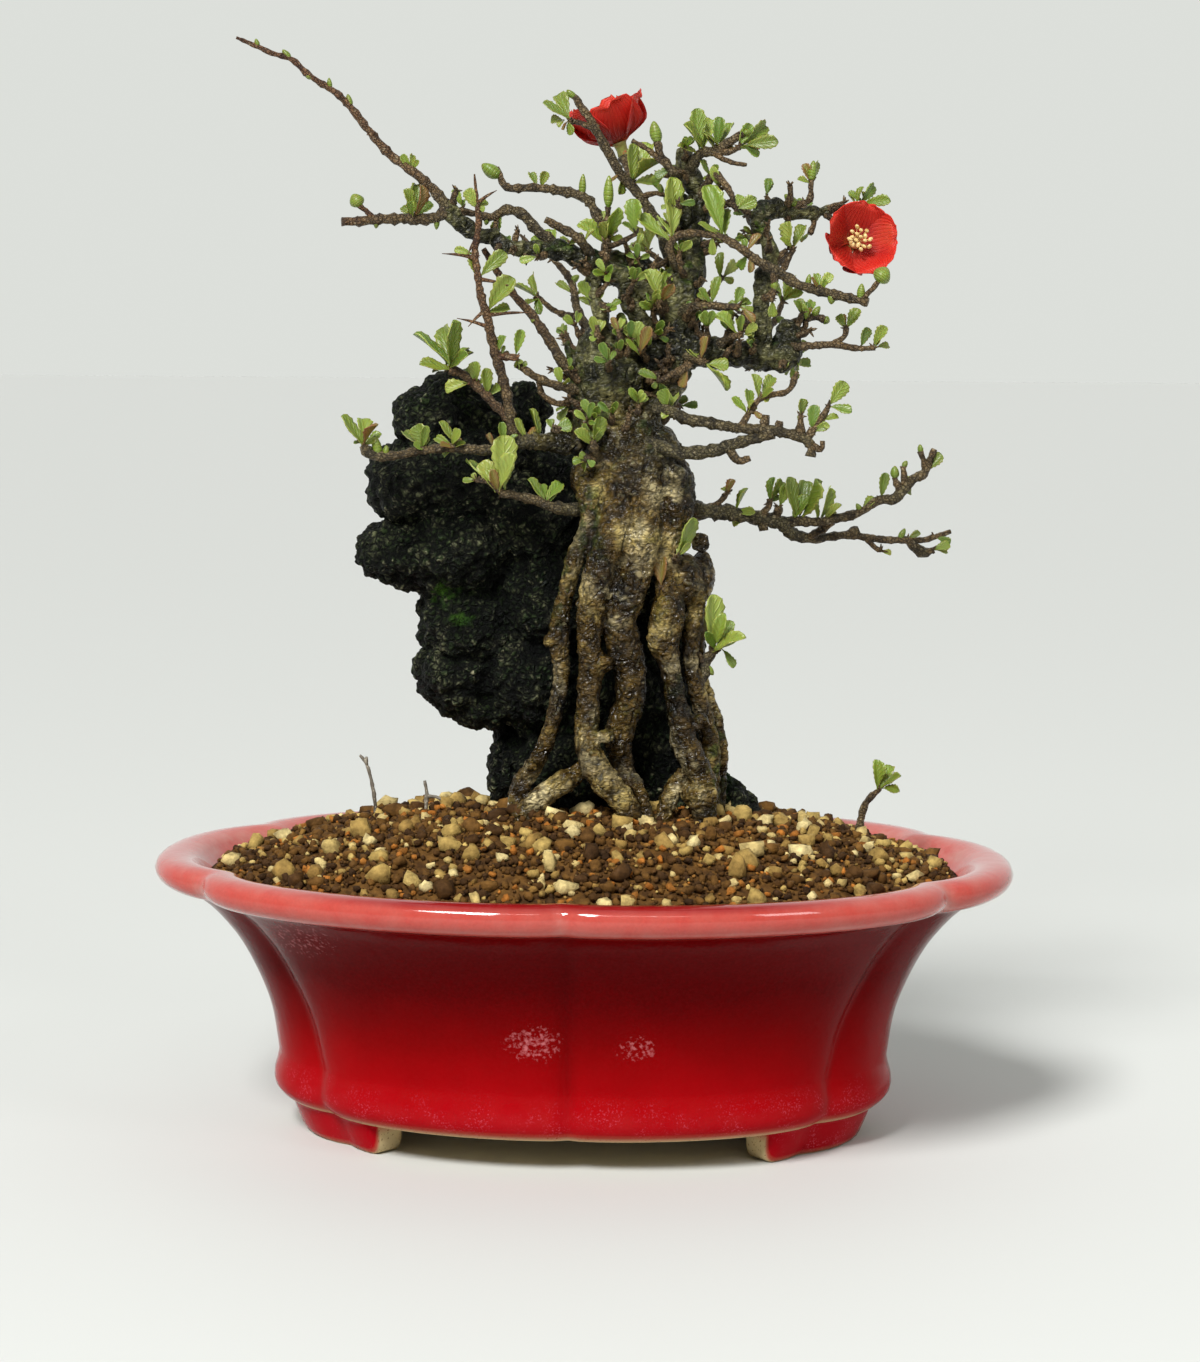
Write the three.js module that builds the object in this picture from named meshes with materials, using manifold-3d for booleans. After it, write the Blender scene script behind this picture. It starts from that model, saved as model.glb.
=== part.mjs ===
// Chojubai flowering quince bonsai, grown root over rock in a glazed six-lobed pot.
// Millimetres, +Z up, +X along the pot's long side, front towards -Y.
// The origin is the middle of the spot that the pot's feet stand on.
import * as THREE from 'three';
import { mergeVertices } from 'three/addons/utils/BufferGeometryUtils.js';
import Module from 'manifold-3d';

const wasm = await Module();
wasm.setup();

// Driving dimensions

const RIM_HALF_LENGTH = 115.2;
const RIM_HALF_WIDTH = 84.7;
const RIM_HEIGHT = 74.6;
const BELT_HALF_LENGTH = 83.4;
const BELT_HALF_WIDTH = 57.8;
const FLOOR_UNDERSIDE = 8.6;
const FLOOR_TOP = 15;
const FOOT_THICKNESS = 8.5;
const HOLE_RADIUS = 7;
const HOLE_X = 34;
const SOIL_EDGE = 70;
const SOIL_RISE = 17;
const CLEARANCE = 0.3;
const LEAF_THICKNESS = 0.62;
const BLOOM_RADIUS = 9.4;

// The tree's tables give each point as across, up and towards the front, on the upright plane
// through the pot's middle that faces a viewer a little to the right of the front. A point that
// stands in front of that plane is carried along the line to the viewer's eye.
const VIEW_TURN = THREE.MathUtils.degToRad(3.6);
const VIEW_DISTANCE = 900;
const VIEW_HEIGHT = 227.1;
const VIEW_OFFSET = 4.3;
const TABLE_ZERO = 1.9;

// Colours

const FINISH = {
  glaze: { color: 0x8c0f14, roughness: 0.18, metalness: 0 },
  mesh: { color: 0x2b2d2f, roughness: 0.6, metalness: 0 },
  soil: { color: 0x5a3f27, roughness: 0.95, metalness: 0 },
  rock: { color: 0x20241f, roughness: 0.9, metalness: 0 },
  bark: { color: 0x4a3a25, roughness: 0.6, metalness: 0 },
  leaf: { color: 0x7c9a24, roughness: 0.5, metalness: 0 },
  petal: { color: 0xc8391b, roughness: 0.5, metalness: 0 },
  stamen: { color: 0xe7c98b, roughness: 0.6, metalness: 0 },
  dry: { color: 0x6e675c, roughness: 0.8, metalness: 0 },
};

// Shapes of the small parts, as shares of their size

const CUT_LEAF = {
  outline: [[0, 0.3], [0.7, 0.5], [0.8, 0.32], [1, 0.12], [0.86, -0.26], [0.76, -0.5], [0, -0.3]],
  faces: [[0, 1, 6], [1, 5, 6], [1, 2, 5], [2, 4, 5], [2, 3, 4]],
};
const SMALL_LEAF = {
  outline: [[0, 0.3], [0.72, 0.5], [1, 0.12], [0.76, -0.5], [0, -0.3]],
  faces: [[0, 1, 4], [1, 3, 4], [1, 2, 3]],
};
const CUT_LEAF_WIDTH = 3;
const LEAF_FOOT = 0.35;
const LEAF_ARCH = 0.12;
const LEAF_ROLL_SPREAD = 0.9;
const TUFT_LEANS = [0.1, -0.5, 0.55, -0.15, 0.35];
const LEAF_SPACING = 0.8;
const THICK_STEM = 1.9;
const THINNED_WITHIN = 0.8;
const ROOTED_WITHIN = 2.4;
const THORN_RADII = [0.7, 0.15];
const BUD_SHAPE = [[-0.05, 0.5], [0.5, 1], [1, 0.4]];
const SIMPLIFIED_WITHIN = 0.1;
const LEAST_VOLUME = 5;
const ROCK_SIMPLIFIED = 1.1;
const ROCK_UNEVENNESS = 0.2;
const ROOT_SIDES = 5;
const TRUNK_SIDES = 8;
const LIMB_SIDES = 5;
const BURL_UNEVENNESS = 0.16;

const PETAL_COUNT = 5;
const PETAL_ROWS = [[0.13, 0.08, 0.04], [0.64, 0.4, 0.36], [1.02, 0.28, 0.86]];
const SEAT_RADII = [1.1, 1.9];
const CROWN_RADII = [1.6, 1.3];
const FILAMENT_RADII = [0.32, 0.6];
const STAMEN_COUNT = 7;
const STAMEN_SPREAD = 3.6;
const BLOOMS = {
  bloom_open: { place: [71.6, 240.6, -9.4], facing: [0.06, 0.12, 1], cup: 0.45, turn: 0.3, seed: 31 },
  bloom_side: { place: [9.4, 263.3, -17], facing: [-0.25, 0.9, -0.35], cup: 1.5, turn: 0.9, seed: 47 },
};

// Pot: the six notches of its outline in degrees, with how deep each cuts, then its sections

const NOTCHES = [[30, 0.05], [90, 0.028], [150, 0.05], [210, 0.05], [270, 0.028], [330, 0.05]];
const NOTCH_SPREAD = 0.11;
const NOTCH_SWING = THREE.MathUtils.degToRad(7);
const SWING_TOP = 50;
const LOBE_STEPS = 5;
const FULLNESS = 2.1;
const POT_SECTIONS = [
  [79, 54.8, FLOOR_UNDERSIDE], [BELT_HALF_LENGTH, BELT_HALF_WIDTH, 12.6],
  [83.1, 57.6, 16.6], [82.1, 57, 20], [84.1, 58.8, 33], [87.4, 61.5, 42], [92.7, 65.9, 52],
  [99.2, 71.6, 60], [104.6, 76.4, 64.4], [110, 80.6, 66.8], [RIM_HALF_LENGTH, RIM_HALF_WIDTH, 71],
  [113.4, 83.4, 73.8], [107.4, 78, RIM_HEIGHT], [101.5, 72, 70], [92.5, 64.3, 60], [85, 58, 50],
  [76.5, 51.4, 30], [71, 46.5, FLOOR_TOP],
];
const FOOT_STEPS = [
  [6, 5.5], [6.8, 0.8], [8, 0], [19, 0], [27, 0], [30, 0], [33, 0], [39.6, 0], [41, 0.8], [42.4, 5.5],
];
const SCREEN_SIZE = 22;
const SCREEN_CELLS = 2;
const SCREEN_THICKNESS = 1.2;
const SCREEN_BAR = 1.4;
const SOIL_SECTIONS = [
  [70.4, 45.9, FLOOR_TOP + CLEARANCE], [75.9, 50.8, 30], [84.4, 57.4, 50],
  [91.9, 63.7, 60], [100.6, 71.1, 69.4],
];
const SOIL_RINGS = 6;
const SOIL_RELIEF = 2.4;
const SOIL_SHOULDER = 2.8;

// Wood: every limb is a list of points across, up, towards the front and the thickness there

const ROOTS = [
  [[-1.3, 179.8, 9, 4.8], [-0.2, 175.8, 11, 5.5], [1.5, 170.2, 12, 5.8], [1.9, 165.6, 12, 5.6],
    [-0.1, 161, 12, 5.1], [-2.6, 155.4, 12, 4.6], [-4.6, 147.7, 11.5, 4.3], [-5.5, 143.4, 11, 4.3],
    [-6.4, 138.4, 11, 5], [-6.6, 132.4, 11, 5.2], [-6, 123.6, 10, 3.9], [-7.2, 117, 10, 4.3],
    [-8.4, 111.5, 10, 4.1], [-10.1, 106, 9, 4.3], [-12.7, 100.5, 9, 4.3], [-15.9, 96, 9, 5],
    [-17.6, 91.6, 9, 4.8], [-18.5, 84, 9, 4.4], [-18.5, 76, 9, 4]],
  [[8, 175.3, 9, 7], [8.8, 169, 12.5, 8.2], [8, 163.1, 14, 8.4], [5.3, 156.5, 15, 7.9],
    [3, 148.8, 15, 7.6], [1.5, 141.6, 14.5, 7.1], [1.4, 137.9, 14, 6.2], [1.3, 132.5, 13.5, 6],
    [2.2, 127.5, 13, 6.6], [1.4, 122.6, 13, 6], [1.2, 117.1, 13, 6], [0.8, 111.6, 13, 6.1],
    [0.9, 106.1, 14, 6.4], [2.6, 100.5, 16, 7.2], [5.9, 95.6, 18, 7.6], [9.8, 91.2, 19, 6.8],
    [13.1, 86.2, 19, 5.6], [14.5, 76, 19, 5]],
  [[13, 176.8, 9, 7.6], [14.8, 170.3, 12, 8.6], [16.2, 164.2, 13, 8.7], [15.4, 158, 13, 8.6],
    [13.2, 151.4, 12.5, 9.1], [10.9, 145.2, 12, 10], [9.2, 139.4, 11, 9], [10.3, 133.6, 10.5, 9.1],
    [11.7, 128.1, 10, 8.4], [12.4, 122.6, 10, 8.1], [12.4, 117.1, 9.5, 7.3], [10.2, 111.6, 9, 7.6],
    [9.1, 106.1, 9, 7.2], [10.4, 100.6, 8, 6.1], [11.9, 95.1, 8, 5.4], [13.1, 89.5, 8, 4.9],
    [14, 76, 8, 4.6]],
  [[20.6, 184, 4, 7.1], [22.1, 180.5, 6, 9.1], [23.6, 175.9, 7, 10.4], [24, 171.3, 8, 10.5],
    [23.5, 166.7, 8.5, 9.7], [22.3, 161.1, 9, 7.6], [21.4, 156, 9.5, 6.4], [21.7, 150.9, 10, 5.8],
    [22.3, 145.8, 10.5, 7.2], [22.4, 140.4, 11, 8.9], [21.2, 133.6, 11, 8.1], [22.9, 128.2, 11, 5.7],
    [23.8, 122.7, 11, 5], [24.8, 117.2, 11, 5.2], [25.9, 111.7, 11, 6.4], [26.9, 106.2, 11, 7],
    [29.4, 101.5, 12, 7.2], [32.1, 96.3, 12, 6.8], [32.5, 90.7, 12, 7], [32.3, 85.2, 12, 6],
    [32.6, 76, 12, 5.6]],
  [[30.4, 148.6, 3, 4.4], [29.2, 138, 5, 4.4], [28.2, 129.6, 6, 4.2], [29.7, 122.7, 6, 4.3],
    [31, 117.2, 5, 4.6], [32.6, 111.7, 4, 4.9], [33.9, 106.2, 4, 5], [34.1, 101.3, 4, 5.2],
    [34.4, 95.2, 4, 4.3], [35, 80, 4, 3.8]],
  [[29.6, 141, 3.6, 4], [30.8, 129.4, 2, 3.2], [31.7, 123.8, 1.6, 3], [34.1, 117.3, 1, 2.9],
    [35.9, 111.8, 0, 2.9], [37, 106.2, 0, 2.9], [37.3, 101.8, 0, 3.1], [36.9, 95.2, 0, 2.9],
    [37.2, 82, 0, 2.8]],
  [[0.8, 99.6, 8, 4.4], [-4.5, 95.8, 9, 6.1], [-8.9, 93.3, 10, 6.1], [-12.1, 90.2, 12, 5.6],
    [-16.5, 86.4, 13, 5], [-18, 76, 14, 4.4]],
  [[13.3, 97.3, 10, 3], [14.7, 94, 12, 3.3], [16.4, 89.5, 14, 3.4], [17.8, 85.1, 15, 3],
    [18.4, 76, 15, 2.6]],
  [[27.4, 98.4, 9, 4], [24.3, 94, 10, 4], [22.7, 90.1, 11, 5], [21.3, 85.7, 12, 4.4], [21, 76, 12, 4]],
];

const TRUNK = [
  [[16, 152, -2, 12], [15, 158, -1, 19], [13.5, 164, 0, 24], [12.8, 171, 1, 27], [12.6, 177, 2, 28.5],
    [12, 181, 2.4, 28], [9.5, 185.5, 2.5, 25], [6, 191, 2, 20.5], [5.2, 197, 1.5, 19.4],
    [6.5, 204, 1, 21.4], [9.5, 209.5, 0, 21.4], [12, 212, 0, 14]],
  [[14, 206, 0, 12], [20, 211, 0, 11.5], [24.5, 216, 0, 10.5], [25, 222, 0, 10.6], [24.6, 227, 0, 11],
    [26.4, 231, 0, 9], [27.4, 236, 0, 6.4], [28.2, 241.3, 0, 5.2], [29.4, 246, 0, 5.6],
    [29.8, 249.3, 0, 5], [29.2, 252.5, 0, 4.4], [27, 256.5, 0, 4.4], [25.2, 259.5, 0, 3.8],
    [25.2, 263.6, 0, 3.2]],
];

const MAIN_LIMBS = [
  [[18.7, 225.2, 1, 8], [14, 228, 2, 6.5], [10.7, 229.6, 3, 5.6], [5, 232, 4, 5.2], [1.3, 234.4, 4, 4.9],
    [-2.9, 235.2, 5, 4.8], [-6, 236.9, 5, 4.4], [-12.1, 237.3, 5.5, 3.8], [-17.3, 237.3, 6, 3.6],
    [-20.4, 238.1, 6, 3.5], [-25.2, 240.2, 6, 3.4], [-30, 241.6, 6, 3.4], [-34.4, 245.4, 6.5, 3.4],
    [-37, 248.4, 7, 3.2]],
  [[17, 231, -3, 6], [12, 233, -4, 6], [7, 234, -4, 5], [3, 234.6, -1, 4.4], [0, 234.6, 3, 3.6]],
  [[5, 206, 5, 5], [4.2, 211, 6, 3.8], [4.2, 216, 6, 3.2], [3.4, 221, 6, 3.3], [2.2, 226, 5, 3.2],
    [2.6, 232, 4, 3.4]],
  [[-3, 206, 3, 3], [-5, 213, 4, 1.6]],
  [[-1.5, 207, 3, 3], [-0.4, 212.6, 4, 2]],
  [[12, 211, 3, 6], [15.6, 213.8, 4, 5], [15, 217.5, 4, 4.6], [12.8, 221, 4, 4.2], [11.2, 225, 3.5, 4.4],
    [11, 229.5, 3, 4.6]],
  [[9, 187, 5, 6], [12, 190, 7, 5.4], [15.5, 193.6, 8, 5.2], [19.5, 197, 8, 5.6], [23, 201, 6, 6],
    [24, 206, 3, 7], [24.5, 211, 1, 7]],
  [[22, 212, 2, 9], [27, 210.8, 3, 7.6], [33, 210.4, 3, 6.8], [40, 210.2, 3, 6.6], [46, 209.6, 2, 6.6],
    [50.5, 209.4, 1, 7.4], [53, 212, 0, 6.6], [53.6, 216.4, -1, 5], [53.4, 219, -1, 3]],
  [[46, 210, 2, 5.4], [46.2, 216.8, 3, 4.6], [46.4, 223, 3, 4], [47, 229.5, 2, 3.7], [48.2, 233, 0, 3.6],
    [48.6, 236.4, -1, 3.6], [47.4, 239.9, -2, 3.7], [45.8, 243.3, -3, 3.8], [45.5, 246.9, -4, 3.9],
    [49, 247.8, -6, 4], [53, 247.8, -8, 3.6], [56.4, 246.9, -9, 3.1], [60.8, 247, -11, 2.8],
    [64.3, 248, -12, 2.5]],
  [[22, 168.5, 1, 8], [27, 168.5, 0, 6], [32, 168.4, -1, 4.6]],
  [[4, 186, 5, 7], [-3, 186, 9, 5.4], [-9, 186.4, 11, 4.6], [-14, 187, 12, 3.8]],
];

// Lumps: middle across, up and towards the front, then the half sizes across, up and deep

const BURLS = [
  [26.6, 150.4, 5, 5.4, 6.6, 6], [31.2, 151, 1, 3.6, 6.8, 5], [21, 175, 3, 8, 9.6, 8],
    [25.9, 247, 1.5, 3.4, 4, 3.2], [31.4, 92, 12, 4.8, 4.2, 4.6], [53, 210, 1, 4, 4, 4],
    [1, 177, 7, 4.8, 6, 4.8], [12, 161, 3, 9, 9, 8], [20, 134.5, 13, 3.2, 3.4, 2.6],
];

const ROCK_LUMPS = [
  [11, 76, -16, 34, 20, 17], [9, 98, -15, 31, 24, 16],
  [8, 124, -16, 24, 20, 16], [-32, 125, -14, 13.6, 11.5, 16], [-20, 120, -13, 15, 11, 15],
  [-28, 140, -15, 17, 14, 19], [-2, 150, -13, 22, 22, 17], [-48, 157, -11, 13.4, 9.6, 15],
  [-32, 160, -14, 18, 15, 21], [-44, 177, -13, 14.4, 12, 18], [-22, 180, -15, 22, 16, 20],
  [-38, 194, -13, 13, 10, 15], [-22, 193, -17, 12, 9, 13],
];

// Sprays: stems as limbs, tufts as a base and then each leaf's tip and width, buds as base, tip
// and thickness, and thorns as base and tip

const WHIP = {
  stems: [
    [[-36, 247.4, 7, 3.1], [-40.1, 252.4, 7, 2.5], [-44.1, 256.1, 8, 2.3], [-49, 259.6, 8, 2.1],
      [-53.4, 263.5, 9, 2], [-58.8, 269.9, 10, 1.9], [-61.8, 273.8, 10, 1.8], [-65.4, 277.3, 11, 1.7],
      [-69.8, 280.1, 11, 1.6], [-73.5, 282.7, 12, 1.5], [-77.1, 286, 12, 1.4], [-82.7, 287.8, 13, 1.3],
      [-86, 289.3, 13, 1.2], [-91.7, 291.7, 14, 0.8]],
    [[-37, 248.5, 7, 2.6], [-38.6, 245.6, 8, 2.7], [-43.8, 244.8, 9, 2.6], [-47.9, 245, 10, 2.6],
      [-55.9, 244.7, 12, 2.4], [-59.9, 244.3, 13, 2.2], [-64.3, 244.1, 14, 2]],
    [[-55.5, 244.7, 12, 1.6], [-57.4, 246.6, 12, 1.2], [-60, 248.6, 13, 1.2]],
  ],
  tufts: [
    [[-44.9, 246, 9.5], [-47.4, 252.6, 3], [-44.6, 254, 3.2], [-41.8, 252.4, 3]],
  ],
  buds: [[-59.4, 248, 13, -61.4, 251.2, 3.9]],
  thorns: [],
};

const THORNY = {
  stems: [
    [[-14, 187, 12, 3], [-18.5, 188, 12, 2.8], [-19.7, 192, 12, 2.7], [-21, 200, 12, 2.5],
      [-22.4, 205, 12, 2.5], [-24.4, 212, 12.5, 2.3], [-25.9, 218.8, 13, 2.1], [-27.6, 224.8, 13, 1.9],
      [-28.8, 232.2, 13.5, 1.7], [-29.2, 237, 13.5, 1.6], [-28.4, 243.1, 13.5, 1.4],
      [-28.9, 251, 13, 1], [-29.4, 256.7, 13, 0.4]],
    [[-20, 192, 12, 2.2], [-24, 196.4, 11, 2.3], [-29, 201.4, 10, 2.2], [-32.6, 204.4, 9, 2.2],
      [-36, 205.6, 9, 2.2]],
  ],
  tufts: [
    [[-36, 205.4, 9], [-38.2, 217.2, 3.8], [-34, 217, 4.6]],
    [[-29, 201.6, 10.5], [-29.5, 207.4, 3.2]],
    [[-25.4, 199, 11.6], [-26.2, 205.6, 3.6]],
    [[-31, 201.4, 10.5], [-37, 200.6, 3]],
    [[-29, 247.6, 13.4], [-31.4, 252.6, 3.2]],
    [[-27.6, 229.6, 13.4], [-21.6, 236.4, 3.8]],
    [[-26.2, 220.4, 13], [-19.4, 229.6, 4.8]],
  ],
  buds: [],
  thorns: [
    [-29.4, 234.8, 13.5, -37.9, 235.9], [-28.5, 249, 13, -23.5, 252.5], [-28, 229.4, 13, -18.8, 227.2],
    [-26.2, 219.8, 13, -14, 220.6], [-25.6, 216.6, 13, -34, 219], [-26.8, 221, 13, -31, 216.8],
    [-29, 240, 13.5, -31.2, 235.6],
  ],
};

const STRAIGHT_SHOOT = {
  stems: [
    [[-1, 203, 5, 3.2], [-5, 206.4, 5, 2.8], [-9.5, 213.2, 4, 2.5], [-13.9, 219.6, 3, 2.3],
      [-19.1, 225.4, 2, 2], [-22.6, 230, 1, 1.8], [-27, 237.2, 0, 1.5]],
  ],
  tufts: [],
  buds: [],
  thorns: [],
};

const LEFT_INNER = {
  stems: [
    [[-1, 200, 7, 2.6], [-6, 201, 9, 2.2], [-10, 202.2, 10, 2], [-13, 203.6, 11, 2],
      [-16, 205.6, 11, 1.8], [-18, 206.8, 11, 1.6]],
    [[-4, 196.4, 8, 1.6], [-8.4, 197, 9, 1.5], [-11.4, 199.2, 9, 1.4], [-12.4, 202.4, 10, 1.4]],
  ],
  tufts: [
  ],
  buds: [],
  thorns: [],
};

const LEFT_LOW = {
  stems: [
    [[-12, 186.8, 12, 3.8], [-17, 186.4, 14, 3.6], [-20, 185.6, 15, 3.2], [-25, 184.4, 16, 2.8],
      [-30, 184.4, 17, 2.4], [-35, 184.8, 17, 2.3], [-40, 184.5, 18, 2.2], [-45, 183.8, 19, 2.2],
      [-50, 182.8, 20, 2.2], [-54, 182.4, 20, 2.6], [-57.4, 183.4, 20, 3], [-59, 185.4, 20, 2]],
  ],
  tufts: [
    [[-58.6, 185, 20], [-63.4, 193.4, 4.6], [-58.4, 193.2, 4]],
    [[-42.6, 184.4, 18.6], [-45, 190.6, 4.6]],
    [[-35, 184.8, 17.6], [-37.4, 192, 3.4], [-39.6, 187.6, 2.6], [-34, 189.6, 3]],
    [[-23.6, 184.6, 16.4], [-26, 188.2, 3]],
    [[-16, 187.4, 14], [-17.6, 192.6, 3.2]],
    [[-11.6, 187.6, 12], [-14.2, 195.2, 3]],
  ],
  buds: [[-54.6, 183, 20, -55.8, 188, 2.6]],
  thorns: [],
};

const LEFT_UNDER = {
  stems: [
    [[2, 169, 8, 4], [-4, 168.6, 12, 3.2], [-9, 169.4, 15, 2.6], [-13, 171, 16, 2.4],
      [-18, 172.2, 17, 2.3], [-22.6, 172.8, 18, 2.2]],
    [[-22, 172.8, 18, 1.5], [-26, 175.8, 18, 1.2], [-29, 176.2, 18, 1.1]],
  ],
  tufts: [
    [[-22.4, 173, 18.6], [-21.4, 187.6, 7], [-30.4, 182.6, 2.8], [-19.6, 183, 4]],
    [[-10.4, 170, 15.4], [-6.6, 176.2, 2.6]],
  ],
  buds: [],
  thorns: [],
};

const TRUNK_TUFTS = {
  stems: [
    [[3, 181, 10, 3], [2.4, 184.4, 15, 2.4], [2, 187, 16, 2]],
    [[4, 182, 12, 2.2], [0.4, 182, 16.4, 1.8]],
    [[-2, 189, 8, 2.6], [-8.8, 189.8, 10.6, 2]],
  ],
  tufts: [
    [[2, 186.4, 16], [4.4, 193, 4.6], [0.2, 192, 3.2], [3.4, 190, 2.6]],
    [[1, 182, 16], [-3, 181.6, 3.2], [-0.6, 179.2, 2.8]],
    [[-8.4, 189.8, 10.6], [-4, 191.6, 4.2]],
  ],
  buds: [],
  thorns: [],
};

const UPPER_LEFT = {
  stems: [
    [[-6, 236.6, 4, 3], [-9, 239.2, 3, 2.8], [-13, 242.2, 2, 2.6], [-16.5, 246.1, 1, 2.6],
      [-20.9, 247.4, 0, 2.4], [-24.8, 245.4, 0, 2], [-30, 246.5, 0, 1.7], [-33.8, 247.1, 0, 1.4]],
    [[4.6, 233, 2, 3], [5.4, 240, 0, 2.2], [3.1, 245.2, -2, 2.4], [0.5, 250, -4, 2.5],
      [-4.7, 252.1, -6, 2.4], [-13, 253.2, -8, 2.2], [-20.9, 253.4, -10, 1.9], [-23.5, 258.4, -11, 1.4]],
    [[5.4, 240, 0, 2], [5.8, 248.3, 2, 1.4]],
    [[1.4, 235.7, 5, 2.6], [-0.8, 238.8, 8, 2.4], [-3.4, 241, 9, 2.2], [-10.8, 244.9, 10, 1.8]],
    [[5.2, 238, 1, 1.6], [9, 239, 4, 1.5], [13.2, 241.4, 5, 1.3]],
  ],
  tufts: [
    [[5.2, 239.6, 2], [-1, 244.5, 2.8], [4.3, 247.5, 2.6], [8.4, 247, 3]],
    [[13.2, 241, 5.2], [12.3, 250.2, 4.8], [9.6, 244.6, 2.6]],
    [[-22, 246.8, 0.6], [-24.4, 241.6, 2.8]],
    [[-12.4, 253.2, -8], [-10.6, 257.4, 2.6]],
  ],
  buds: [[5.8, 248, 2, 6, 256.4, 2.7], [-23.2, 255.8, -10.6, -27.4, 259.2, 3.8]],
  thorns: [],
};

const APEX_LEFT = {
  stems: [
    [[23.4, 228, -2, 4.4], [23, 232, -3.4, 3.2], [20.9, 238, -4, 3], [18.7, 244, -5, 2.8],
      [14, 251.4, -5.4, 2.6], [9.2, 256.7, -5.6, 2.5], [5.3, 263.2, -5.6, 2.3], [2.2, 268.9, -5.6, 2.2],
      [-2.1, 275.4, -7, 2], [-3.4, 277, -7, 1.5]],
    [[12, 254, -5.6, 2.2], [11.4, 256.4, -9.6, 1.9], [10.4, 259.2, -14, 1.9], [9.9, 261, -16.2, 3.2]],
    [[2.4, 268.6, -5.6, 1.5], [-1.4, 270, -6, 1.4], [-4.7, 270.6, -6, 1.3]],
  ],
  tufts: [
    [[-4.6, 270.6, -6], [-10.8, 275.9, 3], [-7.6, 278, 3.2], [-4, 267.4, 2.6]],
    [[12.6, 256, -5.6], [12.6, 264.6, 3], [16.6, 265, 3], [18.2, 261.6, 2.6]],
    [[19.6, 241.6, -4.6], [15.4, 245.4, 2.6], [23.4, 246, 2.6]],
  ],
  buds: [],
  thorns: [],
};

const APEX_RIGHT = {
  stems: [
    [[26.8, 256.5, 0, 4], [28.4, 260.4, 4, 2.8], [30.4, 262.6, 5, 2.5], [33.3, 262.9, 6, 2.4],
      [36, 264.3, 7, 2.3], [38.8, 266.3, 8, 2.1], [41.3, 267.7, 9, 1.8]],
    [[34.4, 263.4, 6, 1.8], [37.3, 262.7, 8, 1.7], [40.2, 264, 9, 1.4]],
    [[26.6, 256.2, 1, 3], [23, 257.6, 5, 2.4], [19.8, 261.3, 6, 2], [18.5, 265.4, 6, 1.9]],
    [[29.8, 250, 1, 3], [33, 256.6, 4, 1.8], [35.2, 255.9, 6, 1.8], [38.1, 251.9, 8, 1.6],
      [38.6, 249.5, 8, 1.5], [39.7, 247.4, 8, 1.2]],
    [[33, 262.9, 6, 1.6], [35.7, 261.1, 8, 1.4], [38.9, 259.9, 9, 1.1], [42.1, 259.5, 10, 0.8]],
  ],
  tufts: [
    [[30.2, 262.6, 5.6], [29.2, 273.6, 3.4], [32.6, 271.6, 3.2], [26.4, 270, 2.8]],
    [[34.4, 263.6, 6.8], [35, 271.6, 3.2], [38, 270.4, 2.8]],
    [[40.2, 264, 9.2], [43, 270, 3.2], [47.2, 269.8, 3]],
    [[21.8, 258.6, 5.4], [18.2, 256.4, 2.6]],
    [[39.4, 247.8, 8], [44.4, 250.4, 3.8]],
  ],
  buds: [[18.5, 264.8, 6, 17.6, 270.6, 3.2]],
  thorns: [],
};

const CROSSING = {
  stems: [
    [[24.6, 232, 3, 3], [22, 237.4, 6, 2], [24.4, 241, 6.4, 1.8], [30.3, 241.5, 6.8, 1.8],
      [36.3, 240.3, 7, 1.9], [41.5, 237.2, 7.4, 2], [46, 233.9, 7.4, 2.2], [50.6, 231.6, 8, 2.5],
      [55.5, 228.6, 9, 2.4], [60.8, 226.9, 11, 2.4], [66.1, 225.6, 13, 2.3], [71.4, 224.4, 15, 2.2],
      [74.5, 223.7, 16, 2]],
    [[72.4, 224.6, 15.4, 1.4], [75.6, 227.2, 16, 1.2], [77.4, 229.6, 16, 1.2]],
    [[49.4, 232, 7.8, 1.8], [49.6, 227.6, 9, 1.5], [49, 223.6, 9, 1.2]],
  ],
  tufts: [
    [[22.6, 239.6, 6.2], [23.9, 255.4, 3.6], [19.8, 246.6, 2.6]],
    [[43, 236.6, 7.6], [45.6, 241.6, 2.6], [40.2, 232.4, 2.6]],
    [[49.2, 224.6, 9], [49.2, 219.8, 2.8]],
    [[62, 226.8, 11.4], [64.6, 231.2, 2.6]],
  ],
  buds: [
    [77, 229, 16, 79.4, 232.8, 4.8], [72.4, 224.4, 15.4, 72.8, 228.6, 2.2],
    [49.6, 229, 9, 50, 226.6, 2.2], [64.8, 225.4, 12.4, 64.8, 223.2, 2.2],
  ],
  thorns: [],
};

const RIGHT_HIGH = {
  stems: [
    [[54.4, 247.4, -8, 2.2], [56.2, 249.4, -7.6, 1.6], [58.8, 250.6, -7, 1.6], [59.1, 255.6, -7, 1.3]],
    [[62.4, 247.6, -11.6, 2], [64.6, 245.4, -11.6, 1.6], [68, 242.8, -12, 1.8], [70.6, 241.2, -12, 3]],
    [[63.4, 248, -12, 1.8], [68, 248.6, -12, 1.5], [72.4, 249.4, -13, 1.3]],
  ],
  tufts: [
    [[72, 249.4, -13], [72.3, 254, 2.8], [76.2, 254.4, 2.8], [79, 251, 2.6]],
    [[59, 255, -7], [57.4, 259.8, 2.4]],
  ],
  buds: [[59, 255.2, -7, 59.7, 260.6, 2.4], [55.6, 248.6, -8, 52.2, 251.8, 2.6]],
  thorns: [],
};

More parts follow.
